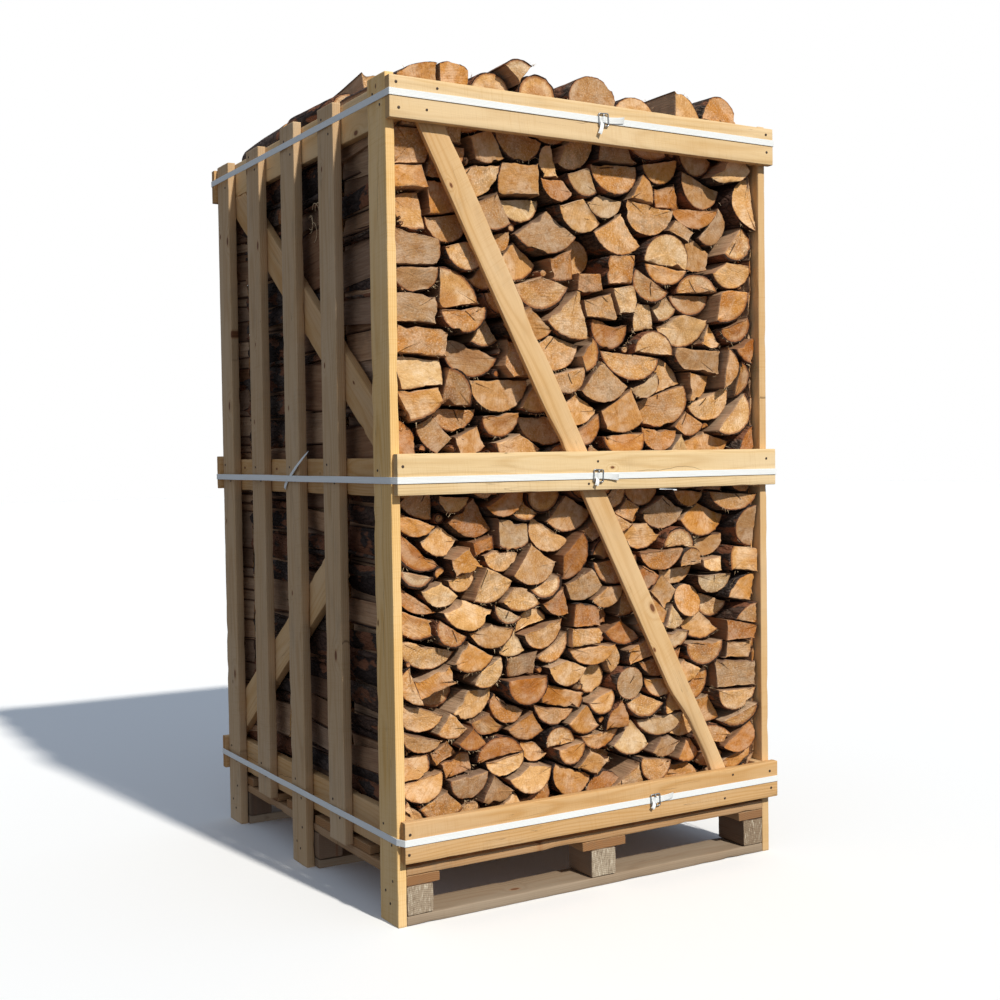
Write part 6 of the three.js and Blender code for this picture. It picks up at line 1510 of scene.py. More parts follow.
    (70.3, 0.928, -431.9, 1746.7, 7.1731, -96.6, 0),
    (48.9, 0.909, -244.3, 1753.2, 6.597, -84.9, 5.3),
    (87.5, 0.975, 191.9, 1786.7, 7.7625, 155.5, 5, -155.5, 7),
    (99, 0.981, 363.6, 1776.4, -3.2455, 89.5, 34.8, -80, 48.1, 178.2, -22.9),
    (121.8, 0.954, -150.7, 1790.8, 1.8194, 127.6, 5.7, -127.6, -5),
    (118, 0.919, 57.7, 1804.2, 1.7785, 125.8, 3.8, -125.8, 7.3, 180, -35),
    (99, 0.947, -317.8, 1796.1, 6.1105, 98.9, 47.4, -91.2, 10.5, 178.6, -15),
    (87.8, 0.944, 291, 1805.3, 3.7892, 132.3, 4.3, -132.3, -7.4),
    (80.9, 0.947, -246.7, 1815.1, -1.033, 124.2, -0.7, -124.2, 0.9),
    (46, 1, -434, 1838.5, 0.2),
    (50, 1, -335, 1856.1, 0, -90, 4),
    (18.5, 1, -461.5, 382, 0),
    (14, 1, -466, 1786.5, 0),
    (12, 1, -467.5, 891.5, 0),
    (10.7, 1, -468.6, 1042.8, 0, 108.1, 6.8),
    (10.1, 1, -447.6, 291.2, 0, 295.6, 5.9),
    (9.1, 1, -470.5, 1607.5, 0),
    (9, 1, -470.6, 935.1, 0, 100.2, 2.6),
    (8.7, 1, 472.2, 799, 0, 181.6, 4),
    (8, 1, -471.5, 1260, 0),
    (8, 1, 471.5, 600, 0),
    (8, 1, 471.5, 729, 0),
    (8, 1, 471.5, 1544.5, 0),
    (7.6, 1, 470.8, 296.4, 0, 57.7, 3.7),
    (7.5, 1, -474, 1345.2, 0, 12.8, 3.2),
    (7.5, 1, -472.5, 1561, 0),
    (7.4, 1, -472.5, 450.5, 0),
    (7.3, 1, 472, 840.5, 0),
    (7.1, 1, 472, 1472.5, 0),
    (6.9, 1, 472.5, 1705.5, 0),
    (6.7, 1, -475, 1677.3, 0, 4.2, 1.7),
    (16.6, 1, 175.5, 877.5, 0),
    (6.5, 1, 474.1, 1401.4, 0, 133, 1),
    (6.5, 1, -473.5, 597, 0),
    (6.5, 1, -473.4, 1118.8, 0, 96.3, 4.1),
    (6.4, 1, 473, 409, 0),
    (6.3, 1, -473.5, 822, 0),
    (6.2, 1, 473, 1208.5, 0),
    (6.2, 1, 473, 1601.5, 0),
    (6, 1, -472.8, 212.8, 0, 194.8, 2.6),
    (6, 1, 473.5, 676, 0),
    (6, 1, -472.4, 1181.7, 0, 215.3, 1.1),
    (15.6, 1, -120.4, 1210.3, 0, 116.3, 3.6),
    (15, 1, -370.5, 1817, 0),
    (14.7, 1, 358.3, 1490.4, 0, 352.3, 7),
    (13.9, 1, 331, 609.5, 0),
    (13, 1, -16, 397.5, 0),
    (7.1, 1, -453, 1053, 0),
    (7.1, 1, -444.6, 307.3, 0, 158.5, 2),
    (6.5, 1, -474, 1766.2, 0, 34.8, 4.4),
]


def clip(poly, tag, nx, nz, d):
    out, ot = [], []
    n = len(poly)
    for i in range(n):
        a, b = poly[i], poly[(i + 1) % n]
        da, db = a[0] * nx + a[1] * nz - d, b[0] * nx + b[1] * nz - d
        if da <= 0:
            out.append(a)
            ot.append(tag[i])
            if db > 0:
                t = da / (da - db)
                out.append((a[0] + (b[0] - a[0]) * t, a[1] + (b[1] - a[1]) * t))
                ot.append(0)
        elif db <= 0:
            t = da / (da - db)
            out.append((a[0] + (b[0] - a[0]) * t, a[1] + (b[1] - a[1]) * t))
            ot.append(tag[i])
    return out, ot


def outline(R, el, cuts, n=40):
    """A round stem cut by split planes. tag 1 is bark, 0 a split face."""
    poly = [(R * math.cos(2 * math.pi * i / n), R * el * math.sin(2 * math.pi * i / n)) for i in range(n)]
    tag = [1] * n
    for a, d in cuts:
        poly, tag = clip(poly, tag, math.cos(math.radians(a)), math.sin(math.radians(a)), d)
    P, T = [], []
    for i in range(len(poly)):
        a, b = poly[i], poly[(i + 1) % len(poly)]
        if math.hypot(a[0] - b[0], a[1] - b[1]) > 0.3:
            P.append(a)
            T.append(tag[i])
    return np.array(P), np.array(T)


def centroid(P):
    x, z = P[:, 0], P[:, 1]
    x2, z2 = np.roll(x, -1), np.roll(z, -1)
    c = x * z2 - x2 * z
    A = c.sum() / 2
    return np.array([((x + x2) * c).sum(), ((z + z2) * c).sum()]) / (6 * A)


def resample(P, T, step):
    """Points round the outline about step apart. Returns points, bark flag per segment, corner flag per point, outward normals."""
    n = len(P)
    d = np.roll(P, -1, 0) - P
    L = np.hypot(d[:, 0], d[:, 1])
    u = d / L[:, None]
    up = np.roll(u, 1, 0)
    turn = np.degrees(np.arctan2(up[:, 0] * u[:, 1] - up[:, 1] * u[:, 0], (up * u).sum(1)))
    corner = np.abs(turn) > 20
    if not corner.any():
        corner[0] = True
    idx = np.nonzero(corner)[0]
    pts, seg, cor, nor = [], [], [], []
    real = np.abs(turn) > 20
    for k, i0 in enumerate(idx):
        i1 = idx[(k + 1) % len(idx)]
        ids = [i0]
        j = i0
        while True:
            j = (j + 1) % n
            ids.append(j)
            if j == i1:
                break
        run = P[ids]
        ls = np.concatenate([[0], np.cumsum(np.hypot(*(run[1:] - run[:-1]).T))])
        m = max(2, int(round(ls[-1] / step)))
        s = np.linspace(0, ls[-1], m + 1)[:-1]
        px, pz = np.interp(s, ls, run[:, 0]), np.interp(s, ls, run[:, 1])
        mids = np.interp(s + ls[-1] / m / 2, (ls[1:] + ls[:-1]) / 2, T[ids[:-1]].astype(float)) > 0.5 if len(ids) > 2 else np.full(m, bool(T[i0]))
        for a in range(m):
            pts.append((px[a], pz[a]))
            seg.append(bool(mids[a]))
            cor.append(bool(a == 0 and real[i0]))
    pts = np.array(pts)
    seg = np.array(seg)
    t = np.roll(pts, -1, 0) - np.roll(pts, 1, 0)
    t /= np.maximum(np.hypot(t[:, 0], t[:, 1]), 1e-9)[:, None]
    nor = np.stack([t[:, 1], -t[:, 0]], 1)
    return pts, seg, np.array(cor), nor


RAIL_ZONES = ((143, 232), (926, 1011), (1728, 2200))  # the side rails, in mm


def add_log(B, rec, y_near, y_far, rng, ends, side, lod, y_min=-9.0, y_max=9.0, pitch=None, lean=0.0):
    """ends: which ends show, 'f' the -Y end, 'b' the +Y end, both or none. side: the long faces show."""
    R, el, x, z, th = rec[:5]
    cuts = [(rec[i], rec[i + 1]) for i in range(5, len(rec), 2)]
    P, T = outline(R, el, cuts)
    c = centroid(P)
    step = (6.2, 8.6, 15.0)[lod]
    pts, seg, cor, nor = resample(P, T, step)
    N = len(pts)
    seed = int(rng.integers(1, 1 << 20))
    rnd = float(rng.random())
    # stations along the log
    L = y_far - y_near
    front = [0, 0.0015, 0.006, 0.022, 0.07]
    if side:
        mid = list(np.arange(0.095 if "f" in ends else 0.02, L - (0.02 if "b" not in ends else 0.06), 0.036 if lod == 0 else 0.046))
    else:
        mid = []
    s = []
    s += front if "f" in ends else [0.0]
    s += mid
    s += [L - v for v in reversed(front)] if "b" in ends else [L]
    s = np.array(sorted(set(round(v, 5) for v in s)))
    M = len(s)
    y = y_near + s
    per = np.cumsum(np.concatenate([[0], np.hypot(*(pts[1:] - pts[:-1]).T)]))  # mm round the outline
    bark = seg | np.roll(seg, 1)
    both = seg & np.roll(seg, 1)
    # displacement in mm, outward
    S = s[None, :] * 1000
    pr = per[:, None]
    o = seed * 0.137 % 1000
    low = vnoise(pr / 34 + o, S / 95, 0.5, 1)
    fib = vnoise(pr / 8 + o, S / 150, 1.5, 2)
    fib2 = vnoise(pr / 14 + o, S / 60, 2.5, 5)
    brk = vnoise(pr / 9 + o, S / 34, 3.5, 3)
    brk2 = vnoise(pr / 22 + o, S / 60, 4.5, 4)
    cup = rng.uniform(-0.5, 1.6)
    wide = vnoise(pr / 52 + o, S / 170, 6.5, 6)
    d_split = 2.2 * low + 2.6 * wide + 0.9 * fib + 1.1 * fib2 - 2.9 - cup * 0.5
    d_bark = 1.1 * brk + 1.4 * brk2 + 1.3 * wide - 1.5
    d = np.where(bark[:, None], d_bark, d_split)
    d = np.where(cor[:, None], -2.2 + 1.5 * fib2, d)
    # bits of the rim have broken away at the sawn ends
    chip = np.maximum(0, vnoise(pr / 27 + o, 5.5, 0.2, 21) - 0.22) * min(16.0, 0.22 * R) * (rng.random() < 0.7)
    chip_b = np.maximum(0, vnoise(pr / 27 + o, 8.5, 0.2, 22) - 0.22) * min(16.0, 0.22 * R)
    reach = 26 + 30 * rng.random()
    if "f" in ends:
        d = d - chip * np.clip(1 - S / reach, 0, 1) ** 0.7
    if "b" in ends:
        d = d - chip_b * np.clip(1 - (L * 1000 - S) / reach, 0, 1) ** 0.7
    nx, nz = nor[:, 0][:, None], nor[:, 1][:, None]
    X = pts[:, 0][:, None] + nx * d
    Z = pts[:, 1][:, None] + nz * d
    # stems taper and twist a little along their length
    tw = rng.normal(0, 0.03) * (S / 330 - (0.0 if "f" in ends else 1.0))
    tp = 1 + rng.normal(0, 0.018) * (S / 330 - (0.0 if "f" in ends else 1.0))
    xr, zr = X - c[0], Z - c[1]
    xa = (xr * np.cos(tw) - zr * np.sin(tw)) * tp
    za = (xr * np.sin(tw) + zr * np.cos(tw)) * tp
    # the sawn ends are not quite square to the log
    ta, tb = np.clip(rng.normal(0, 0.13, 2), -0.24, 0.24)
    tc, td = np.clip(rng.normal(0, 0.10, 2), -0.2, 0.2)
    wf = np.clip(1 - S / 75, 0, 1)
    wb = np.clip(1 - (L * 1000 - S) / 75, 0, 1)
    sl_f, sl_b = ta * xr + tb * zr, tc * xr + td * zr
    Y = y[None, :] * 1000 + wf * (sl_f - sl_f.min() * 0.8) + wb * (sl_b - sl_b.max() * 0.8)
    if "f" in ends:
        Y = np.maximum(Y, y_min * 1000)
    if "b" in ends:
        Y = np.minimum(Y, y_max * 1000)
    # ragged rim at each sawn end
    jag = vnoise(pr / 3.1 + o, 7.7, 0, 9)
    jag_b = vnoise(pr / 3.4 + o, 9.1, 0, 11)
    inset = np.where(S < 0.5, 1.0 + 1.0 * jag, 0) if "f" in ends else 0
    inset_b = np.where(S > L * 1000 - 0.5, 1.0 + 1.0 * jag_b, 0) if "b" in ends else 0
    Y = Y - np.where(S < 0.5, 1.6 * np.maximum(0, -jag), 0) * (1 if "f" in ends else 0)
    k = inset + inset_b
    xa = xa - nx * k
    za = za - nz * k
    ct, st = math.cos(th), math.sin(th)
    yaw, pit = rng.normal(0, 0.017, 2)
    if abs(x) > 415:
        yaw = -math.copysign(abs(rng.normal(0, 0.02)), x)
        pit = rng.normal(0, 0.03)
    if pitch is not None:
        pit = pitch
    anchor = 0.0 if "f" in ends else (L if "b" in ends else L / 2)
    if "f" not in ends and "b" in ends:
        yaw = -yaw
    WX = x + xa * ct - za * st + yaw * (S - anchor * 1000)
    WZ = z + xa * st + za * ct + pit * (S - anchor * 1000)
    WX = np.clip(WX, -480.2, 480.2)
    if lean:
        # behind the corner posts the outermost logs spread out between the side rails
        far = S if "f" in ends else L * 1000 - S
        wy = np.clip(1 - far / 82, 0, 1)
        wx = np.clip((np.abs(WX) - 400) / 80, 0, 1)
        clear = np.min([np.maximum(lo_ - WZ, WZ - hi_) for lo_, hi_ in RAIL_ZONES], axis=0)
        WX = WX + np.sign(WX) * lean * wx * wy * wy * (3 - 2 * wy) * np.clip((clear - 3) / 12, 0, 1)
    V = np.stack([WX, Y, WZ], -1).reshape(-1, 3) / 1000  # N*M, index i*M+j
    A = np.stack([X, Z, np.broadcast_to(S, X.shape)], -1).reshape(-1, 3) / 1000
    i = np.arange(N)[:, None]
    j = np.arange(M - 1)[None, :]
    i2 = (i + 1) % N
    quads = np.stack([i * M + j, i2 * M + j, i2 * M + j + 1, i * M + j + 1], -1).reshape(-1, 4)
    quads = quads[:, ::-1]
    qm = np.repeat(np.where(seg, 2, 1), M - 1)
    ring = np.zeros(N * M, np.int64)
    corner = np.zeros(N * M, np.int64)
    cid = np.array([B.mark() if q else 0 for q in cor])
    corner[:] = np.repeat(cid, M)
    tris, extraV, extraA = [], [], []
    n0 = N * M
    quads2 = []
    for which, jj in (("f", 0), ("b", M - 1)):
        idx = np.arange(N) * M + jj
        rid = B.mark()
        ring[idx] = rid
        rimV, rimA = V[idx], A[idx]
        cv, ca = rimV.mean(0), rimA.mean(0)
        if which in ends:
            fac = (0.93, 0.74, 0.5, 0.24) if lod == 0 else (0.92, 0.6, 0.3)
        else:
            fac = ()
        prev = idx
        for f in fac:
            rv = cv + (rimV - cv) * f
            ra = ca + (rimA - ca) * f
            bul = (0.0026 * vnoise(ra[:, 0] * 21 + o, ra[:, 1] * 21, 3.3, 14) + 0.0012 * vnoise(ra[:, 0] * 95 + o, ra[:, 1] * 95, f, 15)) * (1 if which == "f" else -1)
            bul = bul + 0.0012 * vnoise(ra[:, 0] * 34 + o, ra[:, 1] * 34, f, 13) * (1 if which == "f" else -1)
            rv = rv.copy()
            rv[:, 1] += bul
            extraV.append(rv)
            extraA.append(ra)
            new = n0 + np.arange(N)
            n0 += N
            a, b2 = prev, np.roll(prev, -1)
            c2, d2 = np.roll(new, -1), new
            qd = np.stack([a, b2, c2, d2], -1)
            quads2.append(qd if which == "f" else qd[:, ::-1])
            prev = new
        extraV.append(cv[None])
        extraA.append(ca[None])
        ctr = n0
        n0 += 1
        td = np.stack([prev, np.roll(prev, -1), np.full(N, ctr)], -1)
        tris.append(td if which == "f" else td[:, ::-1])
    allV = np.concatenate([V] + extraV)
    allA = np.concatenate([A] + extraA)
    extra = len(allV) - N * M
    ring = np.concatenate([ring, np.zeros(extra, np.int64)])
    corner = np.concatenate([corner, np.zeros(extra, np.int64)])
    Q = np.concatenate([quads] + quads2) if quads2 else quads
    QM = np.concatenate([qm, np.zeros(len(Q) - len(quads), int)])
    TR = np.concatenate(tris)
    Bv = np.tile(np.array([[R / 1000, el, rnd]]), (len(allV), 1))
    B.add(allV, Q, TR, QM, np.zeros(len(TR), int), allA, Bv, ring, corner)


ROWS = {
    "front": (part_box("log_row_front"), "f"),
    "middle": (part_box("log_row_middle"), ""),
    "back": (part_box("log_row_back"), "b"),
}
BANDS = 4
FILL, CORNER = "fill", "corner"
END_PLACES = {"front": [], "middle": [], "back": []}
for row, ((lo, hi), ends) in ROWS.items():
    rng = np.random.default_rng({"front": 5, "middle": 6, "back": 7}[row])
    recs = list(LOGS[row])
    # thin split laths stuffed in along the walls, in the gaps between the logs there
    laths = {}
    rng2 = np.random.default_rng({"front": 15, "middle": 16, "back": 17}[row])
    for sx in (-1, 1):
        zq = lo[2] * 1000 + 32
        while zq < 1790:
            laths[len(recs)] = FILL
            recs.append([26.9, 1.0, sx * (462 + rng.uniform(-3, 3)), zq, rng.normal(0, 0.05), 0, 4.5, 180, 4.5])
            zq += rng.uniform(43, 47)
        zq = lo[2] * 1000 + 8
        while row != "middle" and zq < 1775:
            tall = float(rng2.choice([24, 30, 34, 46, 58, 72, 88])) * float(rng2.uniform(0.9, 1.1))
            tall = min(tall, 1800 - zq)  # no higher than the top rails
            laths[len(recs)] = CORNER
            recs.append([tall * 0.585, 1.0, sx * (475.0 + rng2.uniform(-0.8, 0.2)), zq + tall / 2, rng2.normal(0, 0.35 / tall), 0, 4.0, 180, 4.0])
            zq += tall
    # the logs that lie open to the sky
    tops = set()
    for xq in np.arange(-470, 471, 10):
        best, bz = None, -1
        for k, rec in enumerate(recs):
            if k not in laths and abs(rec[2] - xq) < rec[0] * 0.7 and rec[3] > bz:
                best, bz = k, rec[3]
        tops.add(best)
    zs = np.array([r[3] for r in recs])
    cut = np.quantile(zs, np.linspace(0, 1, BANDS + 1)[1:-1])
    bands = [Builder() for _ in range(BANDS)]
    for k, rec in enumerate(recs):
        band = int(np.searchsorted(cut, rec[3]))
        kind = laths.get(k)
        top = k in tops
        at_side = abs(rec[2]) > 395
        recess = float(0.0005 + 0.046 * rng.beta(1.0, 1.9)) if rec[0] > 27 else float(rng.uniform(0.02, 0.05))
        if kind == FILL:
            recess = 0.05
        elif kind == CORNER:
            recess = 0.018 if (row == "front" and rec[2] < 0) else 0.0015
        elif row == "back" and rec[2] < -380:
            recess *= 0.15
        elif row == "front" and rec[2] > 420:
            recess *= 0.35
        elif abs(rec[2]) > 400:
            recess *= 0.6
        # a few logs sit well back in the stack
        if kind is None and row != "middle" and not top and abs(rec[2]) < 400 and 27 < rec[0] < 62 and rng2.random() < 0.075:
            recess += float(rng2.uniform(0.035, 0.085))
        length = float(rng.uniform(0.322, 0.334))
        if kind == CORNER:
            length = float(rng2.uniform(0.062, 0.070))
        y0, y1 = lo[1] + 0.0015, hi[1] - 0.0015
        if row == "front":
            a = y0 + recess
            b = min(a + length, y1)
        elif row == "back":
            b = y1 - recess
            a = max(b - length, y0)
        else:
            a = y0 + float(rng.uniform(0, 0.006))
            b = min(a + length, y1)
        lean, y_lim0, y_lim1 = 0.0, y0, y1
        if kind == CORNER:
            lean = 21.0
        elif kind is None and row != "middle" and abs(rec[2]) + rec[0] > 462 and rec[0] > 27 and rec[3] < 1740:
            lean = 21.0
            # the diagonal board of this frame comes down towards the +X wall in front, the -X wall behind
            u = rec[2] if row == "front" else -rec[2]
            board = -415 + (1728 - max(rec[3] - rec[0], 150)) / 1490 * 766 + 44
            if u > 0 and u - rec[0] * 0.92 > board:
                step = 0.0175 - 0.014 * float(rng.random()) ** 1.6
                y_lim0, y_lim1 = y0 - 0.0185, y1 + 0.0185
                if row == "front":
                    a = y0 - step
                else:
                    b = y1 + step
        END_PLACES[row].append((rec, a if row == "front" else b))
        e = ends
        if top:
            e = "fb"
        lod = 0 if (row == "front" or top) else (1 if (row == "back" or at_side) else 2)
        if row == "middle" and at_side and not top:
            lod = 1
        if kind:
            lod = 2
        pitch = -0.13 if (row == "middle" and rec[3] > 1850 and -400 < rec[2] < -340) else None
        add_log(bands[band], rec, a, b, rng, e, top or at_side, lod, y_lim0, y_lim1, pitch, lean)
    for n, Bd in enumerate(bands):
        o = Bd.make(f"split_logs_{row}_{n + 1}", [M_END, M_SPLIT, M_BARK])
        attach(o, "root")
        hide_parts(f"log_row_{row}")

# ------------------------------------------------------------------ boards


def make_plank(name, node, mats, tone, rng, wane=None, knotty=1.0, outline_pts=None, rough=1.0):
    """A sawn board that fills its CAD box: rounded and knocked arrises, a little bow, saw-rough faces."""
    lo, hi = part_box(node)
    size = np.array(hi) - np.array(lo)
    mid = (np.array(hi) + np.array(lo)) / 2
    ax = int(np.argmax(size))
    th_ax = int(np.argmin(size))
    if node.startswith("pallet_block"):
        ax, th_ax = 1, 2
    w_ax = 3 - ax - th_ax
    L, W, T = size[ax], size[w_ax], size[th_ax]
    frame_axes = np.zeros((3, 3))
    frame_axes[0, ax] = 1
    frame_axes[1, w_ax] = 1
    frame_axes[2, th_ax] = 1
    plank(name, L, W, T, mid, frame_axes, mats, tone, rng, wane, rough, [node])


def plank(name, L, W, T, mid, axes, mats, tone, rng, wane, rough, nodes, limits=None, extra=()):
    """axes: rows are the directions along, across and through the board. limits: lowest and highest place across, at a place along."""
    seed = int(rng.integers(1, 1 << 20))
    o = seed * 0.31 % 997
    rnd = float(rng.random())
    r = 0.0016 if rough < 2 else 0.004  # arris radius
    hw, ht = W / 2, T / 2
    # cross-section, counter-clockwise seen along +length
    nW, nT = max(6, int(W / 0.011)), max(3, int(T / 0.006))
    sec, nrm = [], []
    for cx, cz, a0 in ((hw - r, -ht + r, -90), (hw - r, ht - r, 0), (-hw + r, ht - r, 90), (-hw + r, -ht + r, 180)):
        for k in range(3):
            a = math.radians(a0 + 45 * k)
            sec.append((cx + r * math.cos(a), cz + r * math.sin(a)))
            nrm.append((math.cos(a), math.sin(a)))
        a = math.radians(a0 + 90)
        last = sec[-1]
        cnt = nT if a0 in (-90, 90) else nW
        ex = {-90: (hw, ht - r), 0: (-hw + r, ht), 90: (-hw, -ht + r), 180: (hw - r, -ht)}[a0]
        for k in range(1, cnt):
            f = k / cnt
            sec.append((last[0] + (ex[0] - last[0]) * f, last[1] + (ex[1] - last[1]) * f))
            nrm.append((math.cos(a), math.sin(a)))
    sec, nrm = np.array(sec), np.array(nrm)
    N = len(sec)
    n_st = max(5, int(L / 0.026))
    s = np.linspace(0, L, n_st)
    s = np.unique(np.concatenate([[0, 0.0012, 0.004], s[1:-1], [L - 0.004, L - 0.0012, L], np.array(extra, float)]))
    s = s[(s >= 0) & (s <= L)]
    M = len(s)
    S = s[None, :]
    X, Z = np.repeat(sec[:, 0][:, None], M, 1), np.repeat(sec[:, 1][:, None], M, 1)
    nx, nz = nrm[:, 0][:, None], nrm[:, 1][:, None]
    per = np.arange(N)[:, None]
    # saw-rough surface, mostly inwards so that the board keeps its box
    d = rough * (0.00022 * vnoise(X * 90 + o, Z * 90, S * 55, 21) + 0.00028 * vnoise(X * 30 + o, Z * 30, S * 9, 22) - 0.0003)
    # knocked arrises
    cornery = np.minimum(np.abs(np.abs(X) - hw), np.abs(np.abs(Z) - ht)) < 0.0012
    edge = (np.abs(np.abs(X) - hw) < 0.004) & (np.abs(np.abs(Z) - ht) < 0.004)
    chip = np.maximum(0, vnoise(np.sign(X) * 5 + o, np.sign(Z) * 7, S * 38, 23) - 0.45) * 0.005 * min(rough, 1.3)
    chip = chip * np.clip((np.minimum(S, L - S) - 0.004) / 0.012, 0.12, 1)
    nick = np.where(edge, chip + 0.0003, 0) * 0.75
    X, Z = X + nx * d - np.sign(X) * nick, Z + nz * d - np.sign(Z) * nick
    # wane: where the bark side of the stem cut into an arris
    if wane:
        for (sx, sz, a, b, depth, drop) in wane:
            near = np.clip(1 - np.hypot((X - sx * hw) / drop, (Z - sz * ht) / (drop * 0.9)), 0, 1)
            along = np.clip(np.minimum((S - a) / 0.10, (b - S) / 0.10), 0, 1)
            along = along * (0.75 + 0.35 * vnoise(S * 14 + o, 0, 0, 31))
            cutd = depth * near * along
            X = X - sx * cutd
            Z = Z - sz * cutd * 0.5
    # slight bow across its length
    bow = 0.0006 * np.sin(np.pi * S / max(L, 0.1)) * rng.uniform(-1, 1)
    Z = Z + bow * 0 if T < 0.03 and L < 0.2 else Z + np.minimum(bow, 0)
    inset = np.where((S < 1e-6) | (S > L - 1e-6), 0.0007, 0)
    X, Z = X - nx * inset, Z - nz * inset
    if limits is not None:
        wl, wh = limits(s)
        X = X / hw * ((wh - wl) / 2)[None, :] + ((wh + wl) / 2)[None, :]
    Y = np.repeat(S - L / 2, N, 0)
    eo = 0.0006 * vnoise(X * 160 + o, Z * 160, 0, 24)
    Y = Y + np.where(S < 1e-6, np.abs(eo), 0) - np.where(S > L - 1e-6, np.abs(eo), 0)
    loc = np.stack([Y, X, Z], -1).reshape(-1, 3)
    det = np.linalg.det(axes)
    V = mid + loc @ axes
    A = loc.copy()
    i = np.arange(N)[:, None]
    j = np.arange(M - 1)[None, :]
    i2 = (i + 1) % N
    quads = np.stack([i * M + j, i2 * M + j, i2 * M + j + 1, i * M + j + 1], -1).reshape(-1, 4)
    B = Builder()
    ring = np.zeros(N * M, np.int64)
    n0 = N * M
    tris, q2, eV, eA = [], [], [], []
    for jj, flip in ((0, True), (M - 1, False)):
        idx = np.arange(N) * M + jj
        ring[idx] = B.mark()
        rv, ra = V[idx], A[idx]
        cv, ca = rv.mean(0), ra.mean(0)
        # the end face: a ring a little inside the rim, then a flat fan
        m = min(0.007, 0.35 * ht)
        la = (rv - cv) @ np.stack([axes[1], axes[2]]).T
        kx, kz = -la[:, 0] * m / hw, -la[:, 1] * m / ht
        pv = rv + kx[:, None] * axes[1] + kz[:, None] * axes[2]
        flat_at = np.median(rv @ axes[0])
        pv = pv + (flat_at - pv @ axes[0])[:, None] * axes[0] * (1.0 if limits is None else 0.0)
        pa2 = ra.copy()
        pa2[:, 1] += kx
        pa2[:, 2] += kz
        eV.append(pv)
        eA.append(pa2)
        new = n0 + np.arange(N)
        n0 += N
        qd = np.stack([idx, np.roll(idx, -1), np.roll(new, -1), new], -1)
        q2.append(qd[:, ::-1] if flip else qd)
        eV.append(pv.mean(0)[None])
        eA.append(pa2.mean(0)[None])
        tr = np.stack([new, np.roll(new, -1), np.full(N, n0)], -1)
        tris.append(tr[:, ::-1] if flip else tr)
        n0 += 1
    allV, allA = np.concatenate([V] + eV), np.concatenate([A] + eA)
    # (along, across, through) as rows: quads face out when the axes are right-handed
    # section runs counter-clockwise in (across, through), length is the third direction
    Q = np.concatenate([quads] + q2)
    QM = np.concatenate([np.zeros(len(quads), int), np.ones(len(Q) - len(quads), int)])
    TR = np.concatenate(tris)
    hand = np.linalg.det(np.stack([axes[1], axes[2], axes[0]]))
    if hand < 0:
        Q, TR = Q[:, ::-1], TR[:, ::-1]
    ring = np.concatenate([ring, np.zeros(len(allV) - N * M, np.int64)])
    Bv = np.tile(np.array([[tone, hw, rnd]]), (len(allV), 1))
    B.add(allV, Q, TR, QM, np.ones(len(TR), int), allA, Bv, ring, np.zeros(len(allV), np.int64))
    ob = B.make(name, mats)
    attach(ob, "root")
    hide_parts(*nodes)
    return ob


def brace(name, node, mats, tone, rng, wane, rough):
    """A diagonal board with slanted ends, on its CAD outline."""
    v = np.array([tuple(p.co) for p in NODES[node].data.vertices])
    lo, hi = v.min(0), v.max(0)
    t_ax = int(np.argmin(hi - lo))
    a_ax, b_ax = [k for k in range(3) if k != t_ax]
    P = np.unique(np.round(v[:, [a_ax, b_ax]], 5), axis=0)
    c = P.mean(0)
    # the long direction is that of the longest side of the outline
    order = np.argsort(np.arctan2(P[:, 1] - c[1], P[:, 0] - c[0]))
    P = P[order]
    E = np.roll(P, -1, 0) - P
    u = E[np.argmax(np.hypot(E[:, 0], E[:, 1]))]
    u = u / np.hypot(*u)
    if u[1] < 0:
        u = -u
    w = np.array([-u[1], u[0]])
    A, Wd = (P - c) @ u, (P - c) @ w
    s0, s1 = A.min(), A.max()
    L = s1 - s0

    def limits(s):
        low, high = np.full(len(s), 1e9), np.full(len(s), -1e9)
        for i in range(len(P)):
            a0, w0, a1, w1 = A[i], Wd[i], A[(i + 1) % len(P)], Wd[(i + 1) % len(P)]
            if abs(a1 - a0) < 1e-6:
                continue
            k = (s + s0 >= min(a0, a1) - 1e-6) & (s + s0 <= max(a0, a1) + 1e-6)
            ww = w0 + (w1 - w0) * (s + s0 - a0) / (a1 - a0)
            low = np.where(k, np.minimum(low, ww), low)
            high = np.where(k, np.maximum(high, ww), high)
        wide = high - low < 0.0006
        mid = (high + low) / 2
        return np.where(wide, mid - 0.0003, low), np.where(wide, mid + 0.0003, high)

    axes = np.zeros((3, 3))
    axes[0, [a_ax, b_ax]] = u
    axes[1, [a_ax, b_ax]] = w
    axes[2, t_ax] = 1
    mid = np.zeros(3)
    mid[[a_ax, b_ax]] = c + u * (s0 + s1) / 2
    mid[t_ax] = (lo[t_ax] + hi[t_ax]) / 2
    extra = sorted(set(float(round(x - s0, 5)) for x in A)) + list(np.linspace(0, 0.09, 9)) + list(np.linspace(L - 0.09, L, 9))
    return plank(name, L, Wd.max() - Wd.min(), hi[t_ax] - lo[t_ax], mid, axes, mats, tone, rng, wane, rough, [node], limits, extra)


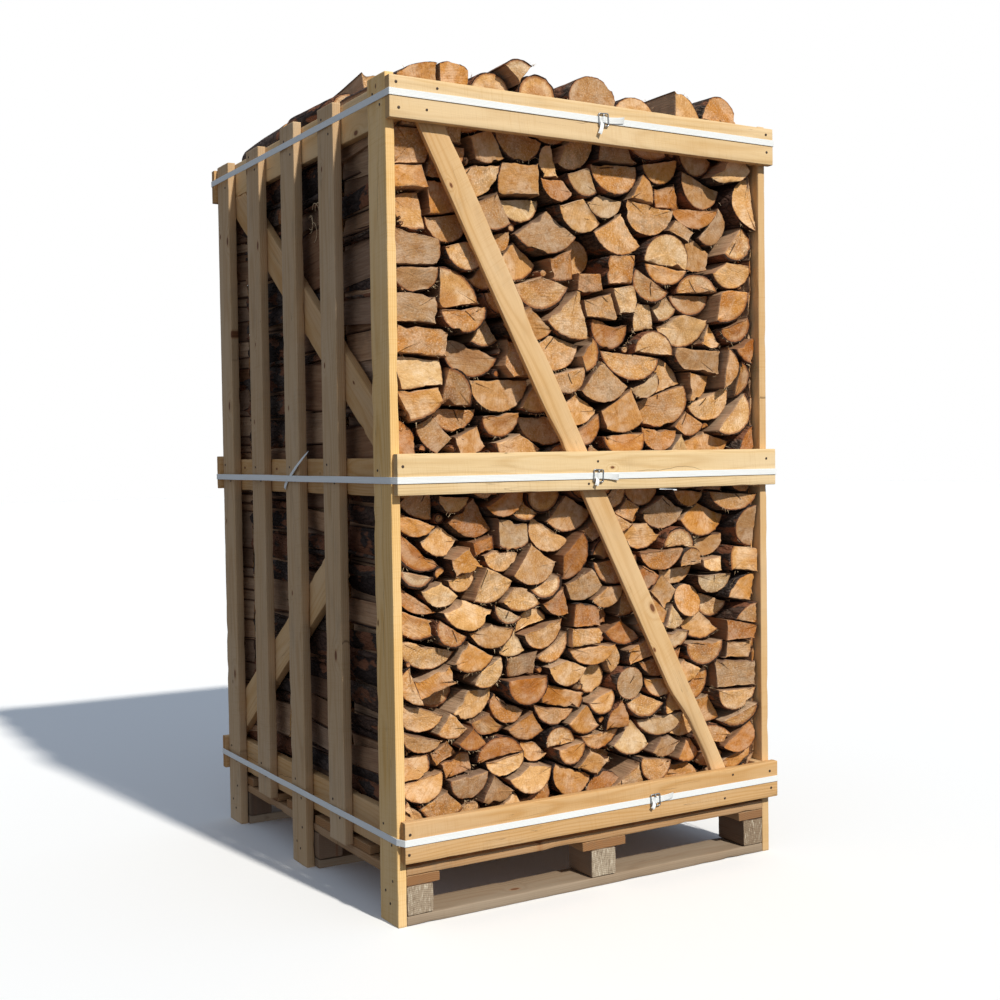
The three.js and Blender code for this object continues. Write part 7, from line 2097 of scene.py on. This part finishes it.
rng = np.random.default_rng(41)
# 0 is the lightest tone of a board's colour ramp; the front-left post's light tone is part of its painted light, and
# the slats' darker tones add to their painted shade
TONES = {
    "front_rail_top": 0.22, "front_rail_middle": 0.05, "front_rail_bottom": 0.62,
    "left_post_front": 0.12, "left_slat_front": 0.6, "left_slat_middle": 0.62, "left_slat_back": 0.66, "left_post_back": 0.6,
    "left_rail_top": 0.35,
    "right_post_front": 0.45, "front_brace": 0.48, "back_brace": 0.5,
}
WANE = {
    "left_slat_back": [(1, 1, 0.1, 1.2, 0.012, 0.02)],
    "right_slat_middle": [(-1, 1, 0.4, 1.4, 0.012, 0.02)],
}
for name in sorted(NODES):
    if name.startswith(("log_row", "strap_", "buckle_")):
        continue
    if "brace" in name:
        tone = TONES.get(name, float(rng.uniform(0.45, 0.8)))
        wn = None
        if name == "front_brace":
            wn = [(1, -1, 0.02, 0.36, 0.020, 0.034), (1, 1, 0.02, 0.36, 0.016, 0.034), (1, -1, 0.95, 1.13, 0.014, 0.026),
                  (1, 1, 0.95, 1.13, 0.010, 0.026), (-1, -1, 1.22, 1.36, 0.012, 0.022), (-1, 1, 1.22, 1.36, 0.008, 0.022)]
        brace("sawn_" + name, name, [M_PINE, M_PINE_END], tone, rng, wn, 1.2)
    elif name.startswith("pallet_block"):
        make_plank("sawn_" + name, name, [M_BLOCK, M_BLOCK_END, M_BLOCK], float(rng.uniform(0, 1)), rng, rough=2.2)
        me = bpy.data.objects["sawn_" + name].data
        mid_y = sum(v.co.y for v in me.vertices) / len(me.vertices)
        # ends that face in under the pallet, and every end of the middle blocks, take the darker side material: painted
        # shade under the pallet
        for p in me.polygons:
            if p.material_index == 1 and (abs(mid_y) < 0.1 or p.normal.y * mid_y < 0):
                p.material_index = 2
    elif name.startswith("pallet_deck"):
        make_plank("sawn_" + name, name, [M_PALLET, M_PALLET_END], float(rng.uniform(0, 0.35)), rng, rough=1.4)
    elif name.startswith("pallet_runner"):
        make_plank("sawn_" + name, name, [M_PALLET, M_PALLET_END], float(rng.uniform(0.75, 1)), rng, rough=1.8)
    elif name.startswith("pallet"):
        make_plank("sawn_" + name, name, [M_PALLET, M_PALLET_END], float(rng.uniform(0.2, 0.5)), rng, rough=1.4)
    else:
        tone = TONES.get(name, float(rng.uniform(0.15, 0.75)))
        # slats and back posts take the darker, greyer pine: painted shade
        mats = [M_PINE_SHADE, M_PINE_SHADE_END] if ("_slat_" in name or name in ("left_post_back", "right_post_back")) else [M_PINE, M_PINE_END]
        # the front-left post takes the lighter, warmer pine: painted light on its outer face
        if name == "left_post_front":
            mats = [M_PINE_LIT, M_PINE_LIT_END]
        make_plank("sawn_" + name, name, mats, tone, rng, wane=WANE.get(name))

# ------------------------------------------------------------------ straps and buckles


def sweep(B, path, wdir, tdir, section, mat, closed, attr_w=True):
    """Runs a section (across, through) along a path. wdir and tdir: directions at each point."""
    path, wdir, tdir = np.array(path, float), np.array(wdir, float), np.array(tdir, float)
    sec = np.array(section, float)
    M, N = len(path), len(sec)
    V = path[:, None, :] + sec[None, :, 0, None] * wdir[:, None, :] + sec[None, :, 1, None] * tdir[:, None, :]
    V = V.reshape(-1, 3)
    d = np.concatenate([[0], np.cumsum(np.linalg.norm(path[1:] - path[:-1], axis=1))])
    A = np.stack([np.repeat(d, N), np.tile(sec[:, 0], M), np.tile(sec[:, 1], M)], 1)
    i = np.arange(M if closed else M - 1)[:, None]
    j = np.arange(N)[None, :]
    i2, j2 = (i + 1) % M, (j + 1) % N
    Q = np.stack([i * N + j, i2 * N + j, i2 * N + j2, i * N + j2], -1).reshape(-1, 4)
    # outward when section x across then through follows the path the right way round
    t = path[1] - path[0]
    area = 0.5 * np.sum(sec[:, 0] * np.roll(sec[:, 1], -1) - np.roll(sec[:, 0], -1) * sec[:, 1])
    if np.dot(np.cross(wdir[0], tdir[0]), t) * area > 0:
        Q = Q[:, ::-1]
        flip = True
    else:
        flip = False
    tris = np.zeros((0, 3), int)
    n0 = len(V)
    if not closed:
        caps = []
        for row, f in ((0, flip), (M - 1, not flip)):
            idx = row * N + np.arange(N)
            V = np.concatenate([V, V[idx].mean(0)[None]])
            A = np.concatenate([A, A[idx].mean(0)[None]])
            tr = np.stack([idx, np.roll(idx, -1), np.full(N, n0)], -1)
            caps.append(tr[:, ::-1] if f else tr)
            n0 += 1
        tris = np.concatenate(caps)
    Z = np.zeros(len(V), np.int64)
    B.add(V, Q, tris, np.full(len(Q), mat), np.full(len(tris), mat), A, np.zeros((len(V), 3)), Z, Z)


HX, HY, BT = 0.525, 0.533, 0.022
SHORT = {"top": (0.0, 0.008), "middle": (-0.005, 0.010), "bottom": (-0.009, 0.010)}
STRAP_Z = {"top": 1.778, "middle": 0.963, "bottom": 0.188}
BUCKLE_X = {"top": 0.018, "middle": -0.007, "bottom": 0.147}


def ribbon_section(width=0.0148, thick=0.0010, cords=5):
    n = 20
    top = [(width * (k / n - 0.5), thick / 2 + 0.00016 * math.cos(2 * math.pi * cords * k / n)) for k in range(n, -1, -1)]
    bot = [(width * (k / 8 - 0.5), -thick / 2) for k in range(9)]
    return bot + top


def hull2(pts):
    pts = sorted(set(pts))

    def half(seq):
        h = []
        for p in seq:
            while len(h) > 1 and (h[-1][0] - h[-2][0]) * (p[1] - h[-2][1]) - (h[-1][1] - h[-2][1]) * (p[0] - h[-2][0]) <= 1e-9:
                h.pop()
            h.append(p)
        return h[:-1]

    return half(pts) + half(pts[::-1])


def make_straps():
    rs = np.random.default_rng(77)
    for level in ("top", "middle", "bottom"):
        short, past = SHORT[level]
        l, r, y = -HX - short, HX + past, HY + BT
        c = [(l, -y), (r, -y), (r, -HY), (HX, -HY), (HX, HY), (-l, HY), (-l, y), (-r, y), (-r, HY), (-HX, HY), (-HX, -HY), (l, -HY)]
        H = hull2(c)
        n = len(H)
        z0 = STRAP_Z[level]
        path, wd, td = [], [], []
        off = 0.00095
        o = rs.uniform(0, 100)
        for k in range(n):
            p0, p1, p2 = np.array(H[k - 1]), np.array(H[k]), np.array(H[(k + 1) % n])
            d0, d1 = (p1 - p0) / np.linalg.norm(p1 - p0), (p2 - p1) / np.linalg.norm(p2 - p1)
            n0, n1 = np.array([d0[1], -d0[0]]), np.array([d1[1], -d1[0]])
            for t in np.linspace(0, 1, 6):
                a = n0 * (1 - t) + n1 * t
                a = a / np.linalg.norm(a)
                path.append((*(p1 + a * off), z0))
                td.append((*a, 0))
                wd.append((0, 0, 1))
            Ls = np.linalg.norm(p2 - p1)
            m = int(Ls / 0.03)
            for q in range(1, m):
                f = q / m
                sag = math.sin(math.pi * f)
                p = p1 + (p2 - p1) * f
                w1 = float(vnoise(o + (p[0] + p[1] * 1.7) * 9, k * 3.1, 0.5, 51))
                w2 = float(vnoise(o + (p[0] + p[1] * 1.7) * 5, k * 1.1, 7.5, 52))
                path.append((*(p + n1 * (off + 0.00025 * (1 + w1) * sag)), z0 + 0.0011 * w2 * sag))
                tilt = 0.03 * w1 * sag
                a = np.array([*(n1 * math.cos(tilt)), math.sin(tilt)])
                td.append(tuple(a))
                wv = np.array([*(-n1 * math.sin(tilt)), math.cos(tilt)])
                wd.append(tuple(wv))
        B = Builder()
        sweep(B, path, wd, td, ribbon_section(), 0, True)
        # the doubled end beyond the buckle, lifting a little
        bx, yf = BUCKLE_X[level], -(HY + BT)
        e = {"top": (0.052, 0.0034, 0.004), "middle": (0.050, 0.0052, -0.005), "bottom": (0.046, 0.0046, 0.006)}[level]
        pts, w2, t2 = [], [], []
        for f in np.linspace(0, 1, 12):
            x = bx + 0.004 + e[0] * f
            lift = 0.0021 + e[1] * f * f
            pts.append((x, yf - lift, z0 + e[2] * f * f))
            a = math.atan(2 * e[1] * f / e[0])
            t2.append((-math.sin(a) * 1.0, -math.cos(a), 0))
            roll = 0.22 * f * f
            w2.append((0, math.sin(roll) * -1, math.cos(roll)))
        sweep(B, pts, w2, t2, ribbon_section(0.0142, 0.0009), 0, False)
        # the strap comes up over the middle bar of the buckle
        pts, w2, t2 = [], [], []
        for f in np.linspace(-1, 1, 17):
            x = bx + 0.0004 + 0.0098 * f
            lift = 0.0017 + 0.0050 * math.cos(f * math.pi / 2) ** 2
            pts.append((x, yf - lift, z0 + 0.0006 * f))
            sl = -0.0050 * math.pi / 2 * math.sin(f * math.pi) / 0.0098
            a = math.atan(sl)
            t2.append((math.sin(a), -math.cos(a), 0))
            w2.append((0, 0, 1))
        sweep(B, pts, w2, t2, ribbon_section(0.0138, 0.0009), 0, False)
        # the short cut end tucked out of the buckle, bent down and away from the board
        dn = {"top": (-0.0105, 0.030), "middle": (-0.006, 0.018), "bottom": (-0.009, 0.014)}[level]
        pts, w2, t2 = [], [], []
        for f in np.linspace(0, 1, 12):
            pts.append((bx - 0.0035 + dn[0] * f, yf - 0.0028 - 0.0062 * math.sin(f * 2.2), z0 - 0.004 - dn[1] * f))
        pts = np.array(pts)
        for q in range(len(pts)):
            t = pts[min(q + 1, len(pts) - 1)] - pts[max(q - 1, 0)]
            t = t / np.linalg.norm(t)
            n_ = np.array([-0.25 * q / 11, -1.0, 0.0])
            n_ = n_ - t * np.dot(n_, t)
            n_ /= np.linalg.norm(n_)
            w2.append(np.cross(t, n_))
            t2.append(n_)
        sweep(B, pts, w2, t2, ribbon_section(0.0088, 0.0009, 5), 0, False)
        if level == "middle":
            # a loose end on the left side stands up from the strap and its cut tip hangs below
            P = [(-0.5272, 0.040, 0.9585), (-0.5290, 0.028, 0.966), (-0.5300, 0.006, 0.978), (-0.5306, -0.022, 0.993), (-0.5312, -0.052, 1.007), (-0.5322, -0.078, 1.018), (-0.5340, -0.100, 1.0255)]
            pts, w2, t2 = [], [], []
            for q in range(len(P) * 3 - 2):
                f = q / 3
                i0 = min(int(f), len(P) - 2)
                pts.append(np.array(P[i0]) + (np.array(P[i0 + 1]) - np.array(P[i0])) * (f - i0))
            pts = np.array(pts)
            for _ in range(3):
                pts[1:-1] = (pts[:-2] + 2 * pts[1:-1] + pts[2:]) / 4
            for q in range(len(pts)):
                t = pts[min(q + 1, len(pts) - 1)] - pts[max(q - 1, 0)]
                t = t / np.linalg.norm(t)
                tw = 0.9 * q / len(pts) + 0.1
                n_ = np.array([-math.cos(tw), 0, math.sin(tw) * 0.6])
                n_ = n_ - t * np.dot(n_, t)
                n_ /= np.linalg.norm(n_)
                w2.append(np.cross(t, n_))
                t2.append(n_)
            sweep(B, pts, w2, t2, ribbon_section(0.0115, 0.0009), 0, False)
            pts = np.array([(-0.5275, 0.046, 0.960), (-0.5282, 0.052, 0.9535), (-0.5286, 0.058, 0.9455), (-0.5288, 0.063, 0.937)])
            w2, t2 = [], []
            for q in range(len(pts)):
                t = pts[min(q + 1, len(pts) - 1)] - pts[max(q - 1, 0)]
                t = t / np.linalg.norm(t)
                n_ = np.array([-1.0, 0, 0.1])
                n_ = n_ - t * np.dot(n_, t)
                n_ /= np.linalg.norm(n_)
                w2.append(np.cross(t, n_))
                t2.append(n_)
            sweep(B, pts, w2, t2, ribbon_section(0.0125, 0.0009), 0, False)
        ob = B.make("strap_ribbon_" + level, [M_STRAP])
        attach(ob, "root")
        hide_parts("strap_" + level)

        # wire buckle: a bent wire frame with a middle bar
        B = Builder()
        rw = 0.00165
        sec = [(rw * math.cos(2 * math.pi * k / 10), rw * math.sin(2 * math.pi * k / 10)) for k in range(10)]
        hw, hh, rc = 0.0128, 0.0142, 0.0036
        loop = []
        for cx, cz, a0 in ((hw - rc, hh - rc, 0), (-hw + rc, hh - rc, 90), (-hw + rc, -hh + rc, 180), (hw - rc, -hh + rc, 270)):
            for k in range(7):
                a = math.radians(a0 + 15 * k)
                loop.append((cx + rc * math.cos(a), cz + rc * math.sin(a)))
        loop = np.array(loop)
        ang = {"top": 0.05, "middle": -0.06, "bottom": 0.04}[level]
        ca, sa = math.cos(ang), math.sin(ang)
        yb = yf - 0.0034
        pts, w2, t2 = [], [], []
        for q in range(len(loop)):
            p = loop[q]
            t = loop[(q + 1) % len(loop)] - loop[q - 1]
            t = t / np.linalg.norm(t)
            nx, nz = t[1], -t[0]
            pts.append((bx + p[0] * ca - p[1] * sa, yb - 0.0006 * p[0] / hw, z0 + p[0] * sa + p[1] * ca))
            w2.append((nx * ca - nz * sa, 0, nx * sa + nz * ca))
            t2.append((0, -1, 0))
        sweep(B, pts, w2, t2, sec, 0, True)
        bars = [(0.0004, 1)]
        for x0, _ in bars:
            pts, w2, t2 = [], [], []
            for f in np.linspace(-1, 1, 9):
                pz = f * (hh - 0.0004)
                pts.append((bx + x0 * ca - pz * sa, yb - 0.0003 - 0.0010 * math.cos(f * 1.5), z0 + x0 * sa + pz * ca))
                w2.append((1, 0, 0))
                t2.append((0, -1, 0))
            sweep(B, pts, w2, t2, sec, 0, False)
        ob = B.make("wire_buckle_" + level, [M_WIRE])
        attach(ob, "root")
        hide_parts("buckle_" + level)


make_straps()

# ------------------------------------------------------------------ nail heads


def nail(B, p, normal, r, rs):
    normal = np.array(normal, float)
    tilt = rs.normal(0, 0.06, 3)
    n_ = normal + tilt - normal * np.dot(tilt, normal)
    n_ /= np.linalg.norm(n_)
    a = np.cross(n_, [0.3, 0.2, 0.9])
    a /= np.linalg.norm(a)
    b = np.cross(n_, a)
    rings = [(r * 0.94, -0.0006), (r, 0.00012), (r * 0.9, 0.0005), (r * 0.45, 0.00062)]
    K = 12
    V = []
    for rad, h in rings:
        for k in range(K):
            t = 2 * math.pi * k / K
            V.append(np.array(p) + a * rad * math.cos(t) + b * rad * math.sin(t) + n_ * h)
    V.append(np.array(p) + n_ * 0.00055)
    V.append(np.array(p) - n_ * 0.0006)
    V = np.array(V)
    Q, T = [], []
    for q in range(len(rings) - 1):
        for k in range(K):
            k2 = (k + 1) % K
            Q.append((q * K + k, q * K + k2, (q + 1) * K + k2, (q + 1) * K + k))
    m = (len(rings) - 1) * K
    for k in range(K):
        k2 = (k + 1) % K
        T.append((m + k, m + k2, len(V) - 2))
        T.append((k2, k, len(V) - 1))
    Q, T = np.array(Q), np.array(T)
    Z = np.zeros(len(V), np.int64)
    B.add(V, Q, T, np.zeros(len(Q), int), np.zeros(len(T), int), V.copy(), np.zeros((len(V), 3)), Z, Z)


rs = np.random.default_rng(90)
B = Builder()
for node, (y, ny) in {"front": (-0.5550, -1), "back": (0.5550, 1)}.items():
    for level, z0 in (("top", 1.724), ("middle", 0.930), ("bottom", 0.142)):
        for x in (-0.509, 0.512):
            for dz in (0.024, 0.068):
                nail(B, (x * -ny + rs.normal(0, 0.003), y + ny * 0.0001, z0 + dz + rs.normal(0, 0.004)), (0, ny, 0), 0.0034, rs)
        bx = {"top": -0.425, "middle": -0.02, "bottom": 0.375}[level]
        for dx, dz in ((-0.012, 0.02), (0.014, 0.071)):
            nail(B, (-ny * (bx + dx), y + ny * 0.0001, z0 + dz + rs.normal(0, 0.003)), (0, ny, 0), 0.0030, rs)
for side, sx in (("left", -1), ("right", 1)):
    for name in sorted(NODES):
        if not name.startswith((side + "_slat", side + "_post")):
            continue
        lo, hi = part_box(name)
        yc = (lo[1] + hi[1]) / 2
        for z0, h in ((1.728, 0.089), (0.926, 0.085), (0.143, 0.089)):
            for dy, dz in ((-0.018, 0.028), (0.02, 0.064)):
                nail(B, (sx * 0.5251, yc + dy + rs.normal(0, 0.003), z0 + dz + rs.normal(0, 0.004)), (sx, 0, 0), 0.0031, rs)
        if lo[2] < 0.01:
            for dy, z in ((-0.02, 0.10), (0.016, 0.062), (-0.006, 0.040)):
                nail(B, (sx * 0.5251, yc + dy, z + rs.normal(0, 0.004)), (sx, 0, 0), 0.0031, rs)
ob = B.make("nail_heads", [M_NAIL])
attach(ob, "root")

# ------------------------------------------------------------------ torn fibres at the ends of the logs, slivers and loose shavings


def spike(B, p, d, length, width, rs, bend=0.3):
    """A thin three-sided sliver, bent a little, closed at both ends."""
    d = np.array(d, float)
    d /= np.linalg.norm(d)
    a = np.cross(d, rs.normal(0, 1, 3))
    a /= np.linalg.norm(a)
    b = np.cross(d, a)
    curve = (a * rs.normal(0, 1) + b * rs.normal(0, 1)) * bend * length
    V, K = [], 3
    for f, w in ((0.0, 1.0), (0.45, 0.8), (0.8, 0.45)):
        c = np.array(p) + d * length * f + curve * f * f
        for k in range(K):
            t = 2 * math.pi * k / K
            V.append(c + (a * math.cos(t) + b * 0.5 * math.sin(t)) * width * w / 2)
    V.append(np.array(p) + d * length + curve)
    V = np.array(V)
    Q, T = [], []
    for q in range(2):
        for k in range(K):
            k2 = (k + 1) % K
            Q.append((q * K + k, q * K + k2, (q + 1) * K + k2, (q + 1) * K + k))
    for k in range(K):
        k2 = (k + 1) % K
        T.append((2 * K + k, 2 * K + k2, 3 * K))
    T.append((2, 1, 0))
    Q, T = np.array(Q), np.array(T)
    if np.dot(np.cross(a, b), d) < 0:
        Q, T = Q[:, ::-1], T[:, ::-1]
    Z = np.zeros(len(V), np.int64)
    B.add(V, Q, T, np.zeros(len(Q), int), np.zeros(len(T), int), V.copy(), np.zeros((len(V), 3)), Z, Z)


rs = np.random.default_rng(31)
for row, sign in (("front", -1), ("back", 1)):
    B = Builder()
    for (rec, y_end) in END_PLACES[row]:
        R, el, x, z, th = rec[:5]
        if R < 30 or rs.random() > 0.62:
            continue
        cuts = [(rec[i], rec[i + 1]) for i in range(5, len(rec), 2)]
        P, T = outline(R, el, cuts)
        c = centroid(P)
        ct, st = math.cos(th), math.sin(th)
        W = np.stack([x + (P[:, 0] - c[0]) * ct - (P[:, 1] - c[1]) * st, z + (P[:, 0] - c[0]) * st + (P[:, 1] - c[1]) * ct], 1) / 1000
        # one stretch of the rim, more often the lower one
        n = len(W)
        low = np.argsort(W[:, 1])
        k0 = int(low[int(rs.integers(0, max(1, n // 2)))])
        for q in range(int(rs.integers(3, 15))):
            k = (k0 + int(rs.normal(0, 2.2))) % n
            f = rs.random()
            p = W[k] * (1 - f) + W[(k + 1) % n] * f
            out = p - np.array([x, z]) / 1000
            out = out / (np.linalg.norm(out) + 1e-9)
            p = p - out * 0.0022
            ln = float(np.clip(rs.gamma(2.2, 0.0026), 0.002, 0.016))
            yy = y_end + (-sign) * rs.uniform(0.0, 0.004)
            d = np.array([out[0] + rs.normal(0, 0.5), sign * rs.uniform(0.1, 1.0), out[1] + rs.normal(0, 0.5)])
            spike(B, (p[0], yy, p[1]), d, ln, rs.uniform(0.0008, 0.0022), rs)
    ob = B.make("torn_fibres_" + row, [M_SLIVER])
    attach(ob, "root")

# white shavings that hang in the gap between two slats on the left, near the top
B = Builder()
rs = np.random.default_rng(12)
for k in range(5):
    p = np.array([-0.4835, -0.055 + 0.012 * k + rs.normal(0, 0.006), 1.598 + rs.normal(0, 0.012)])
    pts = [p]
    ang = rs.uniform(1.2, 2.2)
    for q in range(16):
        ang += 0.16 + 0.05 * k
        pts.append(pts[-1] + np.array([-0.0003 * math.sin(q * 0.5), 0.0042 * math.cos(ang), 0.0042 * math.sin(ang) - 0.0012]))
    pts = np.array(pts)
    pts[:, 0] = np.clip(pts[:, 0], -0.4995, -0.4815)
    w2, t2 = [], []
    for q in range(len(pts)):
        t = pts[min(q + 1, len(pts) - 1)] - pts[max(q - 1, 0)]
        t /= np.linalg.norm(t)
        n_ = np.array([-1.0, 0, 0])
        n_ = n_ - t * np.dot(n_, t)
        n_ /= np.linalg.norm(n_)
        w2.append(np.cross(t, n_))
        t2.append(n_)
    taper = 0.0011
    sweep(B, pts, w2, t2, [(taper * math.cos(a), 0.4 * taper * math.sin(a)) for a in np.linspace(0, 2 * math.pi, 7)[:-1]], 0, False)
ob = B.make("loose_shavings", [M_SLIVER])
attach(ob, "root")

# ------------------------------------------------------------------ camera, light, floor
cam_data = bpy.data.cameras.new("camera")
cam = bpy.data.objects.new("camera", cam_data)
bpy.context.scene.collection.objects.link(cam)
yaw, pitch, roll = math.radians(30.652), math.radians(-1.997), math.radians(-0.787)
fwd = Vector((math.sin(yaw) * math.cos(pitch), math.cos(yaw) * math.cos(pitch), math.sin(pitch)))
right = Vector((math.cos(yaw), -math.sin(yaw), 0))
up = right.cross(fwd)
r2 = right * math.cos(roll) + up * math.sin(roll)
u2 = up * math.cos(roll) - right * math.sin(roll)
m = Matrix.Identity(4)
for k in range(3):
    m[k][0], m[k][1], m[k][2] = r2[k], u2[k], -fwd[k]
m.translation = Vector((-1.7873, -3.1156, 1.0187))
cam.matrix_world = m
cam_data.sensor_width = 36.0
cam_data.sensor_fit = "HORIZONTAL"
cam_data.lens = 1349.88 / 1000 * 36.0
cam_data.clip_start, cam_data.clip_end = 0.05, 200
bpy.context.scene.camera = cam


sun = bpy.data.lights.new("key", "SUN")
sun.energy = 3.45
sun.angle = math.radians(2.2)
sun.color = (1.0, 0.965, 0.895)
sun_ob = bpy.data.objects.new("key", sun)
bpy.context.scene.collection.objects.link(sun_ob)
sun_ob.location = (0.6, -6, 6)
sun_ob.rotation_euler = Vector((-0.14, 1.0, -0.87)).to_track_quat("-Z", "Y").to_euler()

# a white studio: the camera sees plain white, and the object is lit by a soft dome, dimmer from below
world = bpy.data.worlds.new("studio")
bpy.context.scene.world = world
world.use_nodes = True
wt = world.node_tree
wt.nodes.clear()
w_out = wt.nodes.new("ShaderNodeOutputWorld")
w_mix = wt.nodes.new("ShaderNodeMixShader")
w_cam = wt.nodes.new("ShaderNodeBackground")
w_dome = wt.nodes.new("ShaderNodeBackground")
w_path = wt.nodes.new("ShaderNodeLightPath")
w_co = wt.nodes.new("ShaderNodeTexCoord")
w_xyz = wt.nodes.new("ShaderNodeSeparateXYZ")
w_ramp = wt.nodes.new("ShaderNodeValToRGB")
w_map = wt.nodes.new("ShaderNodeMapRange")
w_map.inputs["From Min"].default_value, w_map.inputs["From Max"].default_value = -1, 1
w_cam.inputs[0].default_value = (1, 1, 1, 1)
w_cam.inputs[1].default_value = 1.0
cr = w_ramp.color_ramp
cr.elements.new(0.3)
cr.elements[0].position, cr.elements[0].color = 0.13, (0.03, 0.03, 0.035, 1)
cr.elements[1].position, cr.elements[1].color = 0.34, (0.285, 0.27, 0.265, 1)
cr.elements[2].position, cr.elements[2].color = 0.62, (0.285, 0.335, 0.41, 1)
wt.links.new(w_co.outputs["Generated"], w_xyz.inputs[0])
wt.links.new(w_xyz.outputs[2], w_map.inputs["Value"])
wt.links.new(w_map.outputs[0], w_ramp.inputs[0])
wt.links.new(w_ramp.outputs[0], w_dome.inputs[0])
w_dome.inputs[1].default_value = 1.0
wt.links.new(w_path.outputs["Is Camera Ray"], w_mix.inputs[0])
wt.links.new(w_dome.outputs[0], w_mix.inputs[1])
wt.links.new(w_cam.outputs[0], w_mix.inputs[2])
wt.links.new(w_mix.outputs[0], w_out.inputs[0])

fl = bpy.data.meshes.new("floor")
fl.from_pydata([(-30, -30, 0), (30, -30, 0), (30, 30, 0), (-30, 30, 0)], [], [(0, 1, 2, 3)])
floor = bpy.data.objects.new("floor", fl)
bpy.context.scene.collection.objects.link(floor)
fg = G("floor_pale")
fl.materials.append(fg.finish((1.0, 0.995, 0.985), 1.0, None, 0.0))
floor.visible_diffuse = False
floor.visible_glossy = False

bpy.context.scene.view_settings.view_transform = "Standard"
bpy.context.scene.view_settings.look = "None"
bpy.context.scene.view_settings.exposure = 0.0
